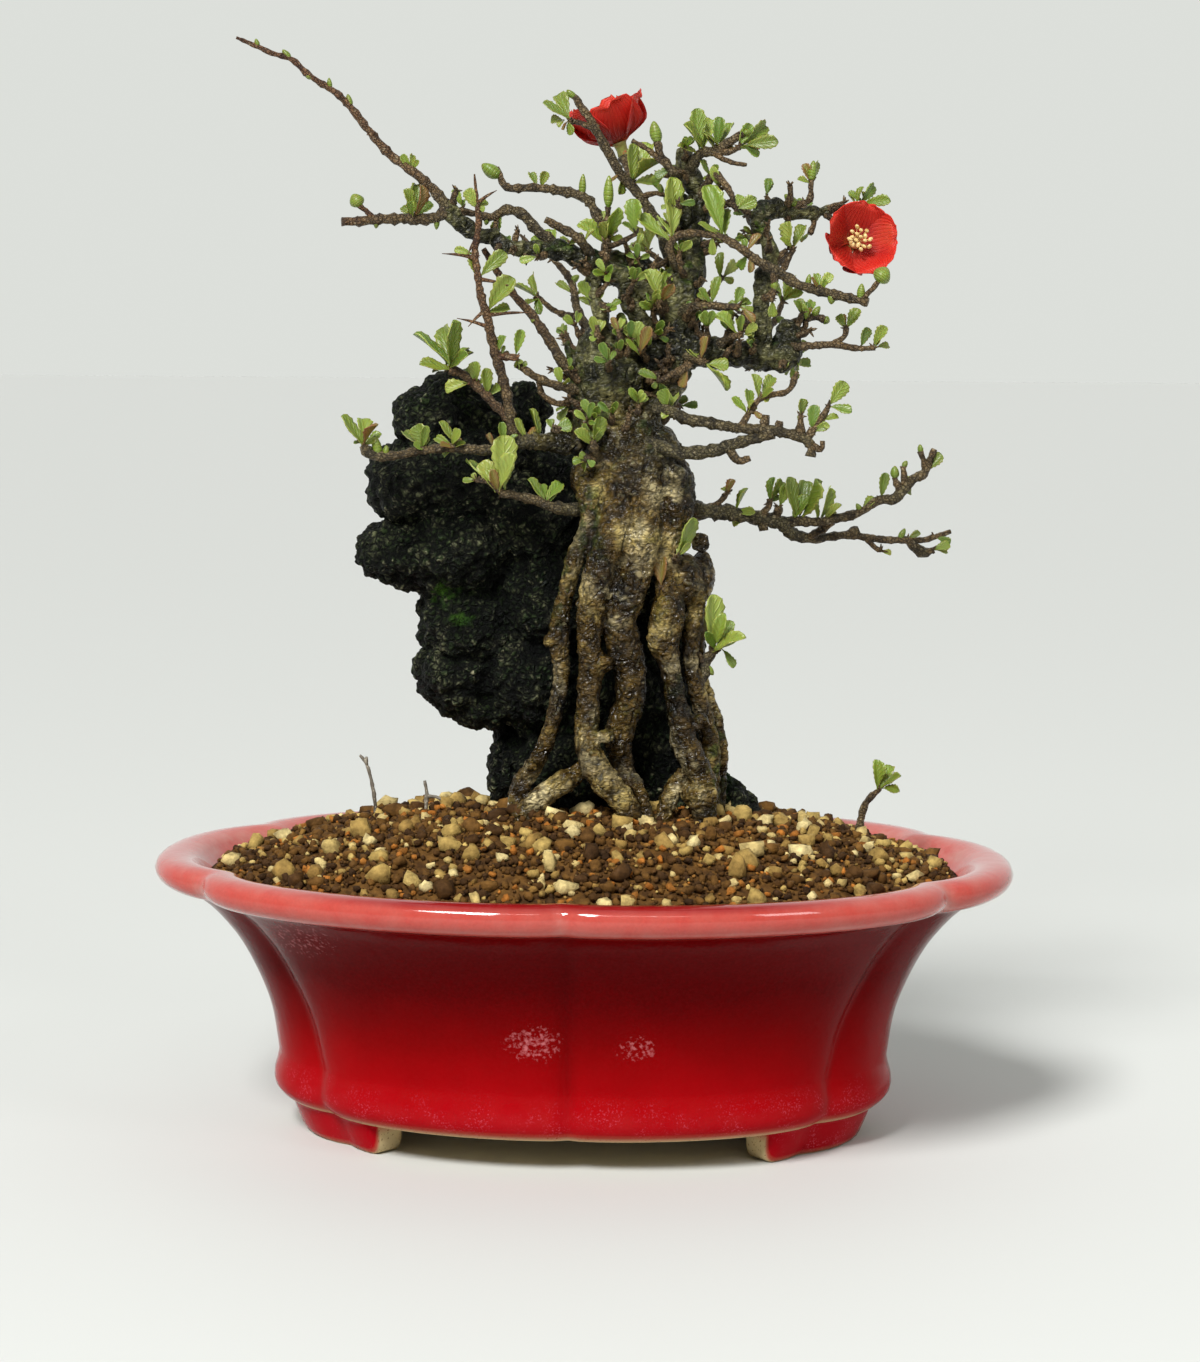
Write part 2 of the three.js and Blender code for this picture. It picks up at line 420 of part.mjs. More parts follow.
const RIGHT_MIDDLE = {
  stems: [
    [[52.6, 211.4, 1, 4], [55.6, 212, 3.6, 2.2], [61.7, 212.4, 6, 1.9], [66, 212.6, 7.6, 1.8],
      [71.4, 211.7, 9, 1.6], [76.6, 211.8, 10, 1.3]],
    [[65.2, 212.5, 7.4, 1.5], [68.2, 214.6, 8, 1.3], [69, 217.2, 8, 1.2]],
    [[53.4, 216.4, -1, 3], [55, 218.4, -3, 2], [59.9, 219.8, -4, 1.7], [63.3, 219.1, -5, 1.8]],
    [[48.4, 231, 1.6, 2.2], [51.9, 232.4, -1, 1.6], [54.6, 237.6, -2, 1.4]],
  ],
  tufts: [
    [[69, 216.8, 8], [71.6, 222, 3.4]],
    [[72.6, 211.8, 9.2], [74.6, 217, 2.8]],
    [[76.2, 211.8, 10], [79.2, 217.4, 2.8]],
    [[57.8, 219.4, -4], [56.4, 224.6, 2.6]],
    [[54.4, 237, -2], [53, 244.6, 3.2], [57.2, 244, 2.8]],
    [[55.2, 212.2, 3.4], [52.2, 206.4, 2.6], [56.4, 205.8, 2.6]],
  ],
  buds: [[62.6, 219.2, -5, 64.4, 218.6, 2.4]],
  thorns: [],
};

const CROWN_FRONT = {
  stems: [
    [[24, 221, 3, 4], [30.5, 222.6, 8, 2.2], [36.2, 222.4, 9, 1.9], [40.4, 222.4, 9.6, 1.6]],
    [[34.4, 211.4, 4, 3], [38, 214.4, 8, 2], [41.6, 215, 9.6, 1.5]],
    [[26, 210, 5, 3], [30.6, 208, 8.4, 2], [31.6, 207.4, 9, 1.6]],
    [[22, 202, 6.4, 3.4], [24, 204.4, 11, 1.9], [27.6, 207.2, 11, 1.7], [20, 203, 12, 1.5],
      [18.8, 203, 12.4, 1.3]],
  ],
  tufts: [
    [[40.2, 222.4, 9.6], [41, 227.4, 2.8], [44.4, 219, 2.6]],
    [[41.4, 215, 9.8], [35.2, 220.8, 3], [40.4, 219.6, 2.8], [44.6, 217.6, 2.6]],
    [[31, 207.6, 9], [31.8, 214.4, 3], [38, 202, 5.4]],
    [[19.6, 203, 12.4], [14.2, 205, 3.4]],
    [[33.6, 222.6, 8.6], [34.6, 230, 2.6]],
    [[27, 206.8, 11], [25.4, 201.2, 2.6]],
  ],
  buds: [],
  thorns: [],
};

const CROWN_LEFT = {
  stems: [
    [[4.4, 213, 6.4, 3], [3.4, 213.8, 10, 1.8], [3, 217.4, 11, 1.3]],
    [[14.6, 215, 5, 4], [14.6, 211.4, 10, 2], [14.4, 210.2, 11, 1.7]],
    [[20.6, 223, 3, 3.4], [19.8, 223.4, 7.6, 1.7], [19.4, 224.2, 8.4, 1.4]],
    [[8, 208.4, 8, 3], [9.4, 212.4, 12, 1.6], [8.6, 216.4, 12, 1.3]],
    [[3.2, 222.4, 6, 3], [6.4, 221.6, 9.4, 1.6]],
  ],
  tufts: [
    [[3.2, 214, 10.6], [4.6, 218.6, 2.6]],
    [[14.4, 210.4, 11], [13.2, 218.2, 4.4]],
    [[19.6, 223.4, 8.4], [17.4, 232, 4.4]],
    [[6, 221.8, 9.4], [8.8, 224, 2.8]],
  ],
  buds: [],
  thorns: [],
};

const BRANCH_ONE = {
  stems: [
    [[18, 195.6, 9, 4], [22, 195, 12, 3.2], [27, 192.8, 13, 2.9], [33, 191.8, 15, 2.9],
      [37, 191, 16, 2.7], [42, 190.3, 17, 2.6], [47, 190.2, 18, 2.6], [51, 189.6, 19, 2.8],
      [55, 188.8, 20, 2.6], [58.4, 187.6, 21, 2.9], [60, 185.4, 21, 2.2], [59.8, 183, 21, 2.6]],
    [[11, 186, 8, 4.4], [15, 186.6, 11, 3.8], [19, 185.8, 13, 3.5], [24, 184, 14, 3.4],
      [30, 183.9, 15, 3.4], [36, 185, 16, 3.3], [42, 187, 17, 3], [46, 187.9, 18, 2.8],
      [50, 189, 19, 2.4]],
    [[37.6, 185, 16.4, 2.4], [40.8, 181.9, 17, 2], [43.8, 182.6, 17, 1.6]],
    [[57.4, 188.4, 21, 2.2], [57, 191.4, 21, 1.8], [57.2, 194, 21, 1.4]],
    [[59, 188, 21, 2], [62.5, 193, 21, 1.7], [64.7, 196.8, 21, 1.3]],
    [[47.4, 190.6, 18, 2.2], [47.8, 194, 18, 2]],
    [[41, 190.6, 17, 1.8], [44, 195.4, 17, 1.6], [47, 198.6, 17, 1.6], [53.4, 200.2, 18, 1.5],
      [55.4, 203.6, 18, 1.4], [56, 205.4, 18, 1]],
  ],
  tufts: [
    [[57.2, 193.6, 21], [57.6, 198.2, 3.4]],
    [[64.4, 196.2, 21], [68.8, 202.4, 4.2]],
    [[59.8, 189.6, 21], [60.6, 196.4, 3.2]],
    [[22.6, 195, 12.4], [20.8, 200.6, 3.6], [23.6, 200.4, 3]],
    [[43.4, 194.8, 17], [39.6, 198.8, 3], [43.4, 200.8, 2.8]],
    [[46.6, 198.2, 17], [45.4, 204.6, 2.6]],
  ],
  buds: [],
  thorns: [],
};

const LONG_RIGHT = {
  stems: [
    [[28, 168.5, 0, 5], [33, 168.3, -1, 4.4], [38, 168, -2, 3.9], [42, 167.4, -3, 3.6],
      [46, 166.7, -4, 3.6], [50, 166.1, -5, 3.9], [53, 165, -6, 4.2], [55, 162.6, -7, 3.2],
      [60, 161.2, -9, 2.6], [65, 161.7, -11, 2.4], [70, 162.2, -12, 2.2], [75, 161.6, -13, 2],
      [80, 161, -14, 1.9], [85, 160.9, -15, 1.9], [90, 161, -16, 1.6], [93, 161.8, -17, 1.4],
      [97.3, 163.3, -18, 1.2]],
    [[53, 165.4, -6, 3.2], [57, 165.8, -5, 2.6], [62, 165.6, -4, 2.4], [66, 166.4, -3, 2.4],
      [70, 167.2, -2, 2.3], [74, 168.8, -1, 2.2], [78, 171.4, 0, 2.3], [82, 171.8, 1, 2.8],
      [84, 173.6, 1, 3], [87, 177, 2, 2.4], [90, 178.8, 3, 2.3], [91.4, 182, 3, 2], [92.7, 185.2, 3, 1.5]],
    [[59, 161.6, -9, 2], [62, 163, -7, 2], [66, 165.6, -4, 1.8]],
    [[33, 169, -1, 2], [36.4, 171.4, 0, 1.5], [38, 173.6, 0, 1.2]],
    [[47, 167.4, -4, 2.4], [49, 170, -3, 1.6], [49.2, 171.8, -3, 1.4]],
    [[51, 166.6, -5, 2.4], [51.6, 169.6, -4, 2]],
    [[86, 160.8, -15, 2], [88, 159, -15, 2.6], [90.2, 157.6, -16, 2.8], [93, 158.4, -16, 1.4]],
    [[74.6, 161.2, -13, 1.6], [77.4, 158.8, -12, 1.3], [79, 158, -12, 1]],
    [[83, 174, 1, 2.2], [82.2, 177.6, 2, 1.4]],
    [[90, 180.2, 3, 1.6], [88.9, 184.6, 4, 1.4]],
  ],
  tufts: [
    [[37.8, 173, 0], [39, 176.8, 3.2]],
    [[40, 168.4, -2.4], [42.2, 174.6, 3]],
    [[49, 171, -3], [49.6, 177.2, 3.4], [52.6, 176.4, 2.8]],
    [[51.8, 169.4, -4], [53.6, 174.8, 3.4]],
    [[55, 165, -5], [58.4, 172.6, 4.4]],
    [[56.6, 168.6, -5], [55.2, 177, 3.4], [58.8, 176.6, 3.2], [62.2, 176.4, 2.8]],
    [[63, 165.6, -4], [62, 171.8, 3.4], [65.4, 174.8, 3.8], [67, 170.4, 2.6]],
    [[74, 168, -1], [76.6, 172.4, 4.2]],
    [[84, 174, 1.4], [86.6, 177.6, 2.6]],
    [[90.6, 178.8, 3], [94.4, 183.8, 3.2]],
    [[92.6, 158.4, -16], [97, 160.2, 2.6]],
  ],
  buds: [[82.2, 177.2, 2, 82.2, 180.6, 2.4]],
  thorns: [],
};

const ROOT_TUFT = {
  stems: [
    [[30, 121.6, 5, 3], [32, 125, 4.4, 3.2], [32.6, 128, 4, 3], [34.4, 131, 4.6, 2.2], [34, 132.6, 4.8, 1.6]],
    [[34, 130.6, 4.6, 1.6], [36.4, 131.6, 5, 1.1]],
    [[33.4, 127, 3.6, 2], [30.6, 130.4, 5, 1.2]],
  ],
  tufts: [
    [[34, 131, 4.8], [35.6, 145, 6.4], [31.2, 142.6, 3.2]],
  ],
  buds: [[32.4, 127, 4.2, 34.6, 124.6, 2.2]],
  thorns: [],
};

const BURL_TUFT = {
  stems: [
    [[22, 153, 6, 3], [24.6, 156, 12.4, 1.8]],
    [[20, 150, 8, 3], [20.6, 147.8, 13.4, 1.6]],
  ],
  tufts: [
    [[24.6, 156, 12.4], [29.6, 165.8, 5.6], [25.4, 165.6, 3]],
    [[20.8, 147.8, 13.4], [20, 155.8, 4.4]],
  ],
  buds: [],
  thorns: [],
};

const BACK_CENTRE = {
  stems: [
    [[24, 214, -3, 5], [24.5, 219, -12, 3], [26, 226, -22, 2.4], [25, 233, -30, 2], [27, 240, -36, 1.5]],
    [[25, 221, -15, 2], [31, 224, -22, 1.6], [36, 230, -27, 1.3]],
    [[25.6, 229, -25, 1.8], [20, 234, -28, 1.5], [16, 237, -30, 1.2]],
  ],
  tufts: [
    [[27, 239.6, -36], [24.4, 247, 3.4], [29, 247.4, 3.4], [32, 243, 2.8]],
    [[35.6, 229.6, -27], [35.4, 236.6, 3], [40, 234.6, 2.8]],
    [[16.4, 236.8, -30], [13, 243.4, 3.2], [18, 243.6, 3], [11.6, 237.6, 2.6]],
    [[25.4, 223.4, -19], [21.4, 228.4, 2.8], [29, 229, 2.6]],
  ],
  buds: [],
  thorns: [],
};

const BACK_RIGHT = {
  stems: [
    [[40, 210, 0, 4.4], [42, 212, -10, 2.6], [46, 214, -20, 2.2], [50, 219, -29, 1.8], [52, 224, -35, 1.4]],
    [[44, 213, -15, 1.8], [49, 210, -22, 1.5], [54, 208, -28, 1.2]],
  ],
  tufts: [
    [[52, 223.6, -35], [49.4, 230.6, 3.2], [54.4, 231, 3.2], [57, 226.4, 2.6]],
    [[53.8, 208, -28], [58.6, 213, 3], [59.6, 207.6, 2.8], [55.6, 203.4, 2.6]],
    [[47, 215.2, -22.6], [42.8, 220.4, 2.8]],
  ],
  buds: [],
  thorns: [],
};

const BACK_LEFT = {
  stems: [
    [[4, 208, -4, 5], [2, 214, -13, 2.8], [-2, 221, -22, 2.3], [-4, 229, -29, 1.9], [-9, 235, -34, 1.4]],
    [[-1, 219, -20, 1.8], [-8, 221, -25, 1.5], [-13, 225, -28, 1.2]],
  ],
  tufts: [
    [[-8.8, 234.6, -34], [-13.6, 240.6, 3.2], [-9, 242.4, 3.2], [-5.4, 240, 2.8]],
    [[-12.6, 224.6, -28], [-18.4, 228, 3], [-14.6, 231, 3], [-12, 220.4, 2.6]],
    [[-3, 225, -25.6], [2, 229.8, 2.8], [-7.6, 228.6, 2.6]],
  ],
  buds: [],
  thorns: [],
};

const SPRAYS = {
  spray_whip: WHIP,
  spray_thorny: THORNY,
  spray_straight_shoot: STRAIGHT_SHOOT,
  spray_left_inner: LEFT_INNER,
  spray_left_low: LEFT_LOW,
  spray_left_under: LEFT_UNDER,
  spray_trunk_tufts: TRUNK_TUFTS,
  spray_upper_left: UPPER_LEFT,
  spray_apex_left: APEX_LEFT,
  spray_apex_right: APEX_RIGHT,
  spray_crossing: CROSSING,
  spray_right_high: RIGHT_HIGH,
  spray_right_middle: RIGHT_MIDDLE,
  spray_crown_front: CROWN_FRONT,
  spray_crown_left: CROWN_LEFT,
  spray_branch_one: BRANCH_ONE,
  spray_long_right: LONG_RIGHT,
  spray_root_tuft: ROOT_TUFT,
  spray_burl_tuft: BURL_TUFT,
  spray_back_centre: BACK_CENTRE,
  spray_back_right: BACK_RIGHT,
  spray_back_left: BACK_LEFT,
};

// Small growth in the soil, in plain holes

const SOIL_GROWTH = {
  soil_sprig: {
    stems: [[[72.6, 74, -8, 2.2], [75, 87.6, -8, 2], [77, 91.6, -8, 1.6], [79.6, 94, -8, 1.2]]],
    tufts: [[[79.4, 93.8, -8], [79.2, 101.4, 3.2], [82.6, 100.4, 3.6], [84.6, 97.8, 2.6]]],
    buds: [],
    thorns: [],
  },
  dry_stem_left: {
    stems: [
      [[-55.6, 76, -10, 1], [-55.8, 88, -10, 1], [-57, 96, -10, 0.9], [-58.4, 100.4, -10, 0.8],
        [-60, 102.4, -10, 0.7]],
      [[-58.2, 99.6, -10, 0.8], [-58.2, 102, -10, 0.7]],
    ],
    tufts: [],
    buds: [],
    thorns: [],
  },
  dry_stem_middle: {
    stems: [
      [[-42.4, 76, -6, 1], [-42.2, 89, -6, 1], [-42, 92, -6, 0.9], [-42.6, 95.6, -6, 0.7]],
      [[-42.6, 91.4, -6, 0.8], [-39.6, 91.2, -5, 0.8], [-37, 90.2, -4, 0.7]],
    ],
    tufts: [],
    buds: [],
    thorns: [],
  },
};

// Vectors of the viewing plane

const across = new THREE.Vector3(Math.cos(VIEW_TURN), Math.sin(VIEW_TURN), 0);
const toViewer = new THREE.Vector3(Math.sin(VIEW_TURN), -Math.cos(VIEW_TURN), 0);
const eye = toViewer.clone().multiplyScalar(VIEW_DISTANCE).addScaledVector(across, VIEW_OFFSET);
eye.z = VIEW_HEIGHT;

function at(u, z, depth) {
  const point = across.clone().multiplyScalar(u);
  point.z = z - TABLE_ZERO;
  return point.lerp(eye, depth / VIEW_DISTANCE);
}

// One seeded draw for every small irregularity
function seededDraw(seed) {
  let state = seed;
  return () => {
    state = (state * 1664525 + 1013904223) % 4294967296;
    return state / 4294967296;
  };
}

// Meshes and solids

function meshOf(points, triangles) {
  const geometry = new THREE.BufferGeometry();
  const numbers = points.flatMap((point) => point.toArray());
  geometry.setAttribute('position', new THREE.Float32BufferAttribute(numbers, 3));
  geometry.setIndex(triangles.flat());
  return geometry;
}

function signedVolume(geometry) {
  const position = geometry.attributes.position;
  const index = geometry.index.array;
  const [a, b, c] = [new THREE.Vector3(), new THREE.Vector3(), new THREE.Vector3()];
  let sum = 0;
  for (let i = 0; i < index.length; i += 3) {
    a.fromBufferAttribute(position, index[i]);
    b.fromBufferAttribute(position, index[i + 1]);
    c.fromBufferAttribute(position, index[i + 2]);
    sum += a.dot(b.cross(c)) / 6;
  }
  return sum;
}

function solidOf(geometry) {
  const triVerts = new Uint32Array(geometry.index.array);
  if (signedVolume(geometry) < 0) triVerts.reverse();
  const vertProperties = new Float32Array(geometry.attributes.position.array);
  return new wasm.Manifold(new wasm.Mesh({ numProp: 3, vertProperties, triVerts }));
}

function geometryOf(solid) {
  const mesh = solid.getMesh();
  const geometry = new THREE.BufferGeometry();
  geometry.setAttribute('position', new THREE.BufferAttribute(new Float32Array(mesh.vertProperties), 3));
  geometry.setIndex(Array.from(mesh.triVerts));
  geometry.computeVertexNormals();
  return geometry;
}

const united = (solids) => solids.reduce((sum, solid) => sum.add(solid));

// The bodies that a solid falls into, largest first, with short edges drawn together and
// loose scraps dropped
function bodiesOf(solid) {
  const pieces = solid.simplify(SIMPLIFIED_WITHIN).decompose();
  pieces.sort((a, b) => b.volume() - a.volume());
  return pieces.filter((piece, i) => i === 0 || piece.volume() > LEAST_VOLUME);
}

const mainBody = (solid) => bodiesOf(solid)[0];

// Joins rings of equal count into one closed skin, with a flat end at the first and the last
function loft(rings) {
  const count = rings[0].length;
  const last = (rings.length - 1) * count;
  const triangles = [];
  for (let start = 0; start < last; start += count) {
    for (let k = 0; k < count; k += 1) {
      const a = start + k;
      const b = start + ((k + 1) % count);
      triangles.push([a, b, b + count], [a, b + count, a + count]);
    }
  }
  for (let k = 1; k + 1 < count; k += 1) {
    triangles.push([0, k + 1, k], [last, last + k, last + k + 1]);
  }
  return meshOf(rings.flat(), triangles);
}

// A round limb through points with their radius, its section carried along without twist;
// grow makes it fatter and longer all round
function limbThrough(points, radii, sides, grow) {
  let side = null;
  const last = points.length - 1;
  const rings = points.map((bare, i) => {
    const before = points[Math.max(i - 1, 0)];
    const after = points[Math.min(i + 1, last)];
    const along = after.clone().sub(before).normalize();
    const point = bare.clone().addScaledVector(along, grow * (Number(i === last) - Number(i === 0)));
    const radius = radii[i] + grow;
    const guide = side ?? new THREE.Vector3(along.z, along.x, along.y);
    side = guide.clone().addScaledVector(along, -guide.dot(along)).normalize();
    const other = along.clone().cross(side);
    return Array.from({ length: sides }, (_, k) => {
      const angle = (2 * Math.PI * k) / sides;
      return point.clone()
        .addScaledVector(side, radius * Math.cos(angle))
        .addScaledVector(other, radius * Math.sin(angle));
    });
  });
  return solidOf(loft(rings));
}

// Drops the points of a limb that lie almost on the line between their neighbours
function thinned(table) {
  if (table.length < 3) return table;
  const line = new THREE.Line3(at(...table[0].slice(0, 3)), at(...table.at(-1).slice(0, 3)));
  const strays = table.map((row) => {
    const point = at(...row.slice(0, 3));
    return line.closestPointToPoint(point, true, new THREE.Vector3()).distanceTo(point);
  });
  const furthest = strays.indexOf(Math.max(...strays));
  if (strays[furthest] < THINNED_WITHIN) return [table[0], table.at(-1)];
  return [...thinned(table.slice(0, furthest + 1)), ...thinned(table.slice(furthest)).slice(1)];
}

// A table of points as a line in space with its half thicknesses
function lineOf(table) {
  const rows = thinned(table);
  return { points: rows.map(([u, z, depth]) => at(u, z, depth)), radii: rows.map((row) => row[3] / 2) };
}

const limb = ({ points, radii }, grow, sides) => limbThrough(points, radii, sides, grow);

// A lump is a ball of flat facets, pushed in and out a little
function lump([u, z, depth, halfWide, halfHigh, halfDeep], grow, detail, unevenness, draw) {
  const ball = new THREE.IcosahedronGeometry(1, detail);
  ball.deleteAttribute('normal');
  ball.deleteAttribute('uv');
  const geometry = mergeVertices(ball);
  const middle = at(u, z, depth);
  const corner = new THREE.Vector3();
  const positions = geometry.attributes.position;
  for (let i = 0; i < positions.count; i += 1) {
    corner.fromBufferAttribute(positions, i);
    const push = 1 + unevenness * (draw() - 0.5);
    const point = middle.clone()
      .addScaledVector(across, corner.x * (halfWide * push + grow))
      .addScaledVector(toViewer, corner.y * (halfDeep * push + grow));
    point.z += corner.z * (halfHigh * push + grow);
    positions.setXYZ(i, point.x, point.y, point.z);
  }
  return solidOf(geometry);
}

// A leaf: its outline as length along the rib and half width, both as shares, arched along the
// rib; its foot is a strip of one width that ends inside the stem
function blade(base, tip, width, roll, grow) {
  const along = tip.clone().sub(base);
  const length = along.length();
  along.normalize();
  const facing = toViewer.clone().addScaledVector(along, -toViewer.dot(along)).normalize();
  facing.applyAxisAngle(along, roll);
  const aside = new THREE.Vector3().crossVectors(along, facing);
  const { outline, faces } = width < CUT_LEAF_WIDTH ? SMALL_LEAF : CUT_LEAF;
  const points = outline.map(([share, half]) => base.clone()
    .addScaledVector(along, share * length + grow * Math.sign(share - 0.5))
    .addScaledVector(aside, half * (share > 0 ? width : 2 * LEAF_FOOT) + grow * Math.sign(half))
    .addScaledVector(facing, LEAF_ARCH * length * Math.sin(Math.PI * share)));
  return thickened(points, faces, () => facing, LEAF_THICKNESS / 2 + grow);
}

// A thin sheet given the same triangles on both faces and a wall round its edge
function thickened(points, faces, normalAt, half) {
  const count = points.length;
  const above = points.map((point, i) => point.clone().addScaledVector(normalAt(i), half));
  const below = points.map((point, i) => point.clone().addScaledVector(normalAt(i), -half));
  const triangles = faces.flatMap(([a, b, c]) => [[a, b, c], [c + count, b + count, a + count]]);
  const edges = new Map();
  faces.forEach((face) => face.forEach((a, k) => {
    const b = face[(k + 1) % 3];
    edges.set(`${a} ${b}`, [a, b]);
  }));
  edges.forEach(([a, b]) => {
    if (!edges.has(`${b} ${a}`)) triangles.push([b, a, a + count], [b, a + count, b + count]);
  });
  return solidOf(meshOf([...above, ...below], triangles));
}

function budSolid(base, tip, thickness, grow) {
  const points = BUD_SHAPE.map(([share]) => base.clone().lerp(tip, share));
  return limbThrough(points, BUD_SHAPE.map(([, fullness]) => (thickness * fullness) / 2), 4, grow);
}

// Where a stalk leaves its stem: the nearest point on any stem's middle line
function nearestOnLines(lines, point) {
  const segment = new THREE.Line3();
  const best = { reach: Infinity };
  lines.forEach(({ points }) => points.slice(1).forEach((end, i) => {
    segment.set(points[i], end);
    const foot = segment.closestPointToPoint(point, true, new THREE.Vector3());
    const reach = foot.distanceTo(point);
    if (reach >= best.reach) return;
    Object.assign(best, { foot, reach, along: end.clone().sub(points[i]).normalize() });
  }));
  return best;
}

// The stems of one branch, each side stem rooted on the middle line of the one it leaves
function stemLines(stems) {
  return stems.reduce((lines, stem) => {
    const line = lineOf(stem);
    const { foot, reach } = nearestOnLines(lines, line.points[0]);
    if (reach < ROOTED_WITHIN) line.points[0] = foot;
    return [...lines, line];
  }, []);
}

// One leafy branch, fused: stems, then leaves, buds and thorns rooted in them
function sprayOf({ stems, tufts, buds, thorns }, grow, seed) {
  const draw = seededDraw(seed);
  const lines = stemLines(stems);
  const pieces = lines.map((line) => limb(line, grow, line.radii[0] > THICK_STEM / 2 ? 4 : 3));
  tufts.forEach(([[u, z, depth], ...leaves]) => {
    const base = at(u, z, depth);
    const { foot, along } = nearestOnLines(lines, base);
    leaves.forEach(([tipU, tipZ, width], i) => {
      const length = Math.hypot(tipU - u, tipZ - z);
      const lean = length * (TUFT_LEANS[i % TUFT_LEANS.length] + 0.2 * (draw() - 0.5));
      const roll = (draw() - 0.5) * LEAF_ROLL_SPREAD;
      const root = foot.clone().addScaledVector(along, (i - (leaves.length - 1) / 2) * LEAF_SPACING);
      pieces.push(blade(root, at(tipU, tipZ, depth + lean), width, roll, grow));
    });
  });
  buds.forEach(([u, z, depth, tipU, tipZ, thickness]) => {
    const root = nearestOnLines(lines, at(u, z, depth)).foot;
    pieces.push(budSolid(root, at(tipU, tipZ, depth), thickness, grow));
  });
  thorns.forEach(([u, z, depth, tipU, tipZ]) => {
    const root = nearestOnLines(lines, at(u, z, depth)).foot;
    pieces.push(limbThrough([root, at(tipU, tipZ, depth + 1)], THORN_RADII, 3, grow));
  });
  return united(pieces);
}

// Pot: a six-lobed oval, each section given by its half length, half width and height

const lobeAngles = () => {
  const notches = NOTCHES.map(([degrees]) => degrees);
  return notches.flatMap((start, i) => {
    const end = i + 1 < notches.length ? notches[i + 1] : notches[0] + 360;
    return Array.from({ length: LOBE_STEPS }, (_, k) => {
      const even = k / LOBE_STEPS;
      const share = (1 - Math.cos(Math.PI * even)) / 2;
      return THREE.MathUtils.degToRad(start + (end - start) * 0.5 * (share + even));
    });
  });
};

// Down the wall the four corner notches swing a little towards the middle of the long sides
function lobedPoint(angle, halfLength, halfWidth, z, notchShare = 1) {
  let dip = 1;
  NOTCHES.forEach(([degrees, depth]) => {
    const apart = Math.abs(Math.atan2(
      Math.sin(angle - THREE.MathUtils.degToRad(degrees)),
      Math.cos(angle - THREE.MathUtils.degToRad(degrees)),
    ));
    dip -= depth * notchShare * Math.exp(-apart / NOTCH_SPREAD);
  });
  const swung = angle + NOTCH_SWING * Math.max(0, 1 - z / SWING_TOP) * Math.sin(2 * angle);
  const [x, y] = [Math.cos(swung), Math.sin(swung)];
  const fuller = (x * x) ** (FULLNESS / 2) + (y * y) ** (FULLNESS / 2);
  const reach = dip / fuller ** (1 / FULLNESS);
  return new THREE.Vector3(halfLength * x * reach, halfWidth * y * reach, z);
}

function lobedBody(sections) {
  const angles = lobeAngles();
  return solidOf(loft(sections.map(([halfLength, halfWidth, z]) => (
    angles.map((angle) => lobedPoint(angle, halfLength, halfWidth, z))))));
}

// A bracket foot follows the outline round one side notch; its ends rise clear of the ground
function foot(mirrorX, mirrorY) {
  const rings = FOOT_STEPS.map(([degrees, ground]) => {
    const angle = THREE.MathUtils.degToRad(degrees);
    const outer = (share, z) => lobedPoint(angle, BELT_HALF_LENGTH * share, BELT_HALF_WIDTH * share, z);
    const inner = (share, z) => lobedPoint(
      angle,
      BELT_HALF_LENGTH * share - FOOT_THICKNESS,
      BELT_HALF_WIDTH * share - FOOT_THICKNESS,
      z,
    );
    const sunk = FLOOR_UNDERSIDE + 1.4;
    return [outer(0.935, sunk), outer(0.925, (sunk + ground) / 2), outer(0.895, ground), inner(0.9, ground),
      inner(0.935, sunk)];
  });
  const flip = new THREE.Vector3(mirrorX, mirrorY, 1);
  return solidOf(loft(rings.map((ring) => ring.map((point) => point.multiply(flip)))));
}

function upright(x, y, bottom, top, radius, sides) {
  const points = [new THREE.Vector3(x, y, bottom), new THREE.Vector3(x, y, top)];
  return limbThrough(points, [radius, radius], sides, 0);
}

function potSolid() {
  const feet = [[1, 1], [-1, 1], [-1, -1], [1, -1]].map(([x, y]) => foot(x, y));
  const body = united([lobedBody(POT_SECTIONS), ...feet]);
  const holes = [-HOLE_X, HOLE_X].map((x) => upright(x, 0, 0, FLOOR_TOP + 5, HOLE_RADIUS, 20));
  return body.subtract(united(holes));
}

function block(width, depth, height, x, y, z) {
  const box = new THREE.BoxGeometry(width, depth, height);
  box.deleteAttribute('normal');
  box.deleteAttribute('uv');
  box.translate(x, y, z);
  return solidOf(mergeVertices(box));
}

// A square of plastic netting over each drain hole
function screenSolid(x) {
  const z = FLOOR_TOP + CLEARANCE + SCREEN_THICKNESS / 2;
  const pitch = (SCREEN_SIZE - 2) / SCREEN_CELLS;
  const cell = pitch - SCREEN_BAR;
  const middle = (SCREEN_CELLS - 1) / 2;
  const cells = Array.from({ length: SCREEN_CELLS ** 2 }, (_, k) => {
    const [column, row] = [k % SCREEN_CELLS, Math.floor(k / SCREEN_CELLS)];
    return block(cell, cell, 4, x + (column - middle) * pitch, (row - middle) * pitch, z);
  });
  return block(SCREEN_SIZE, SCREEN_SIZE, SCREEN_THICKNESS, x, 0, z).subtract(united(cells));
}

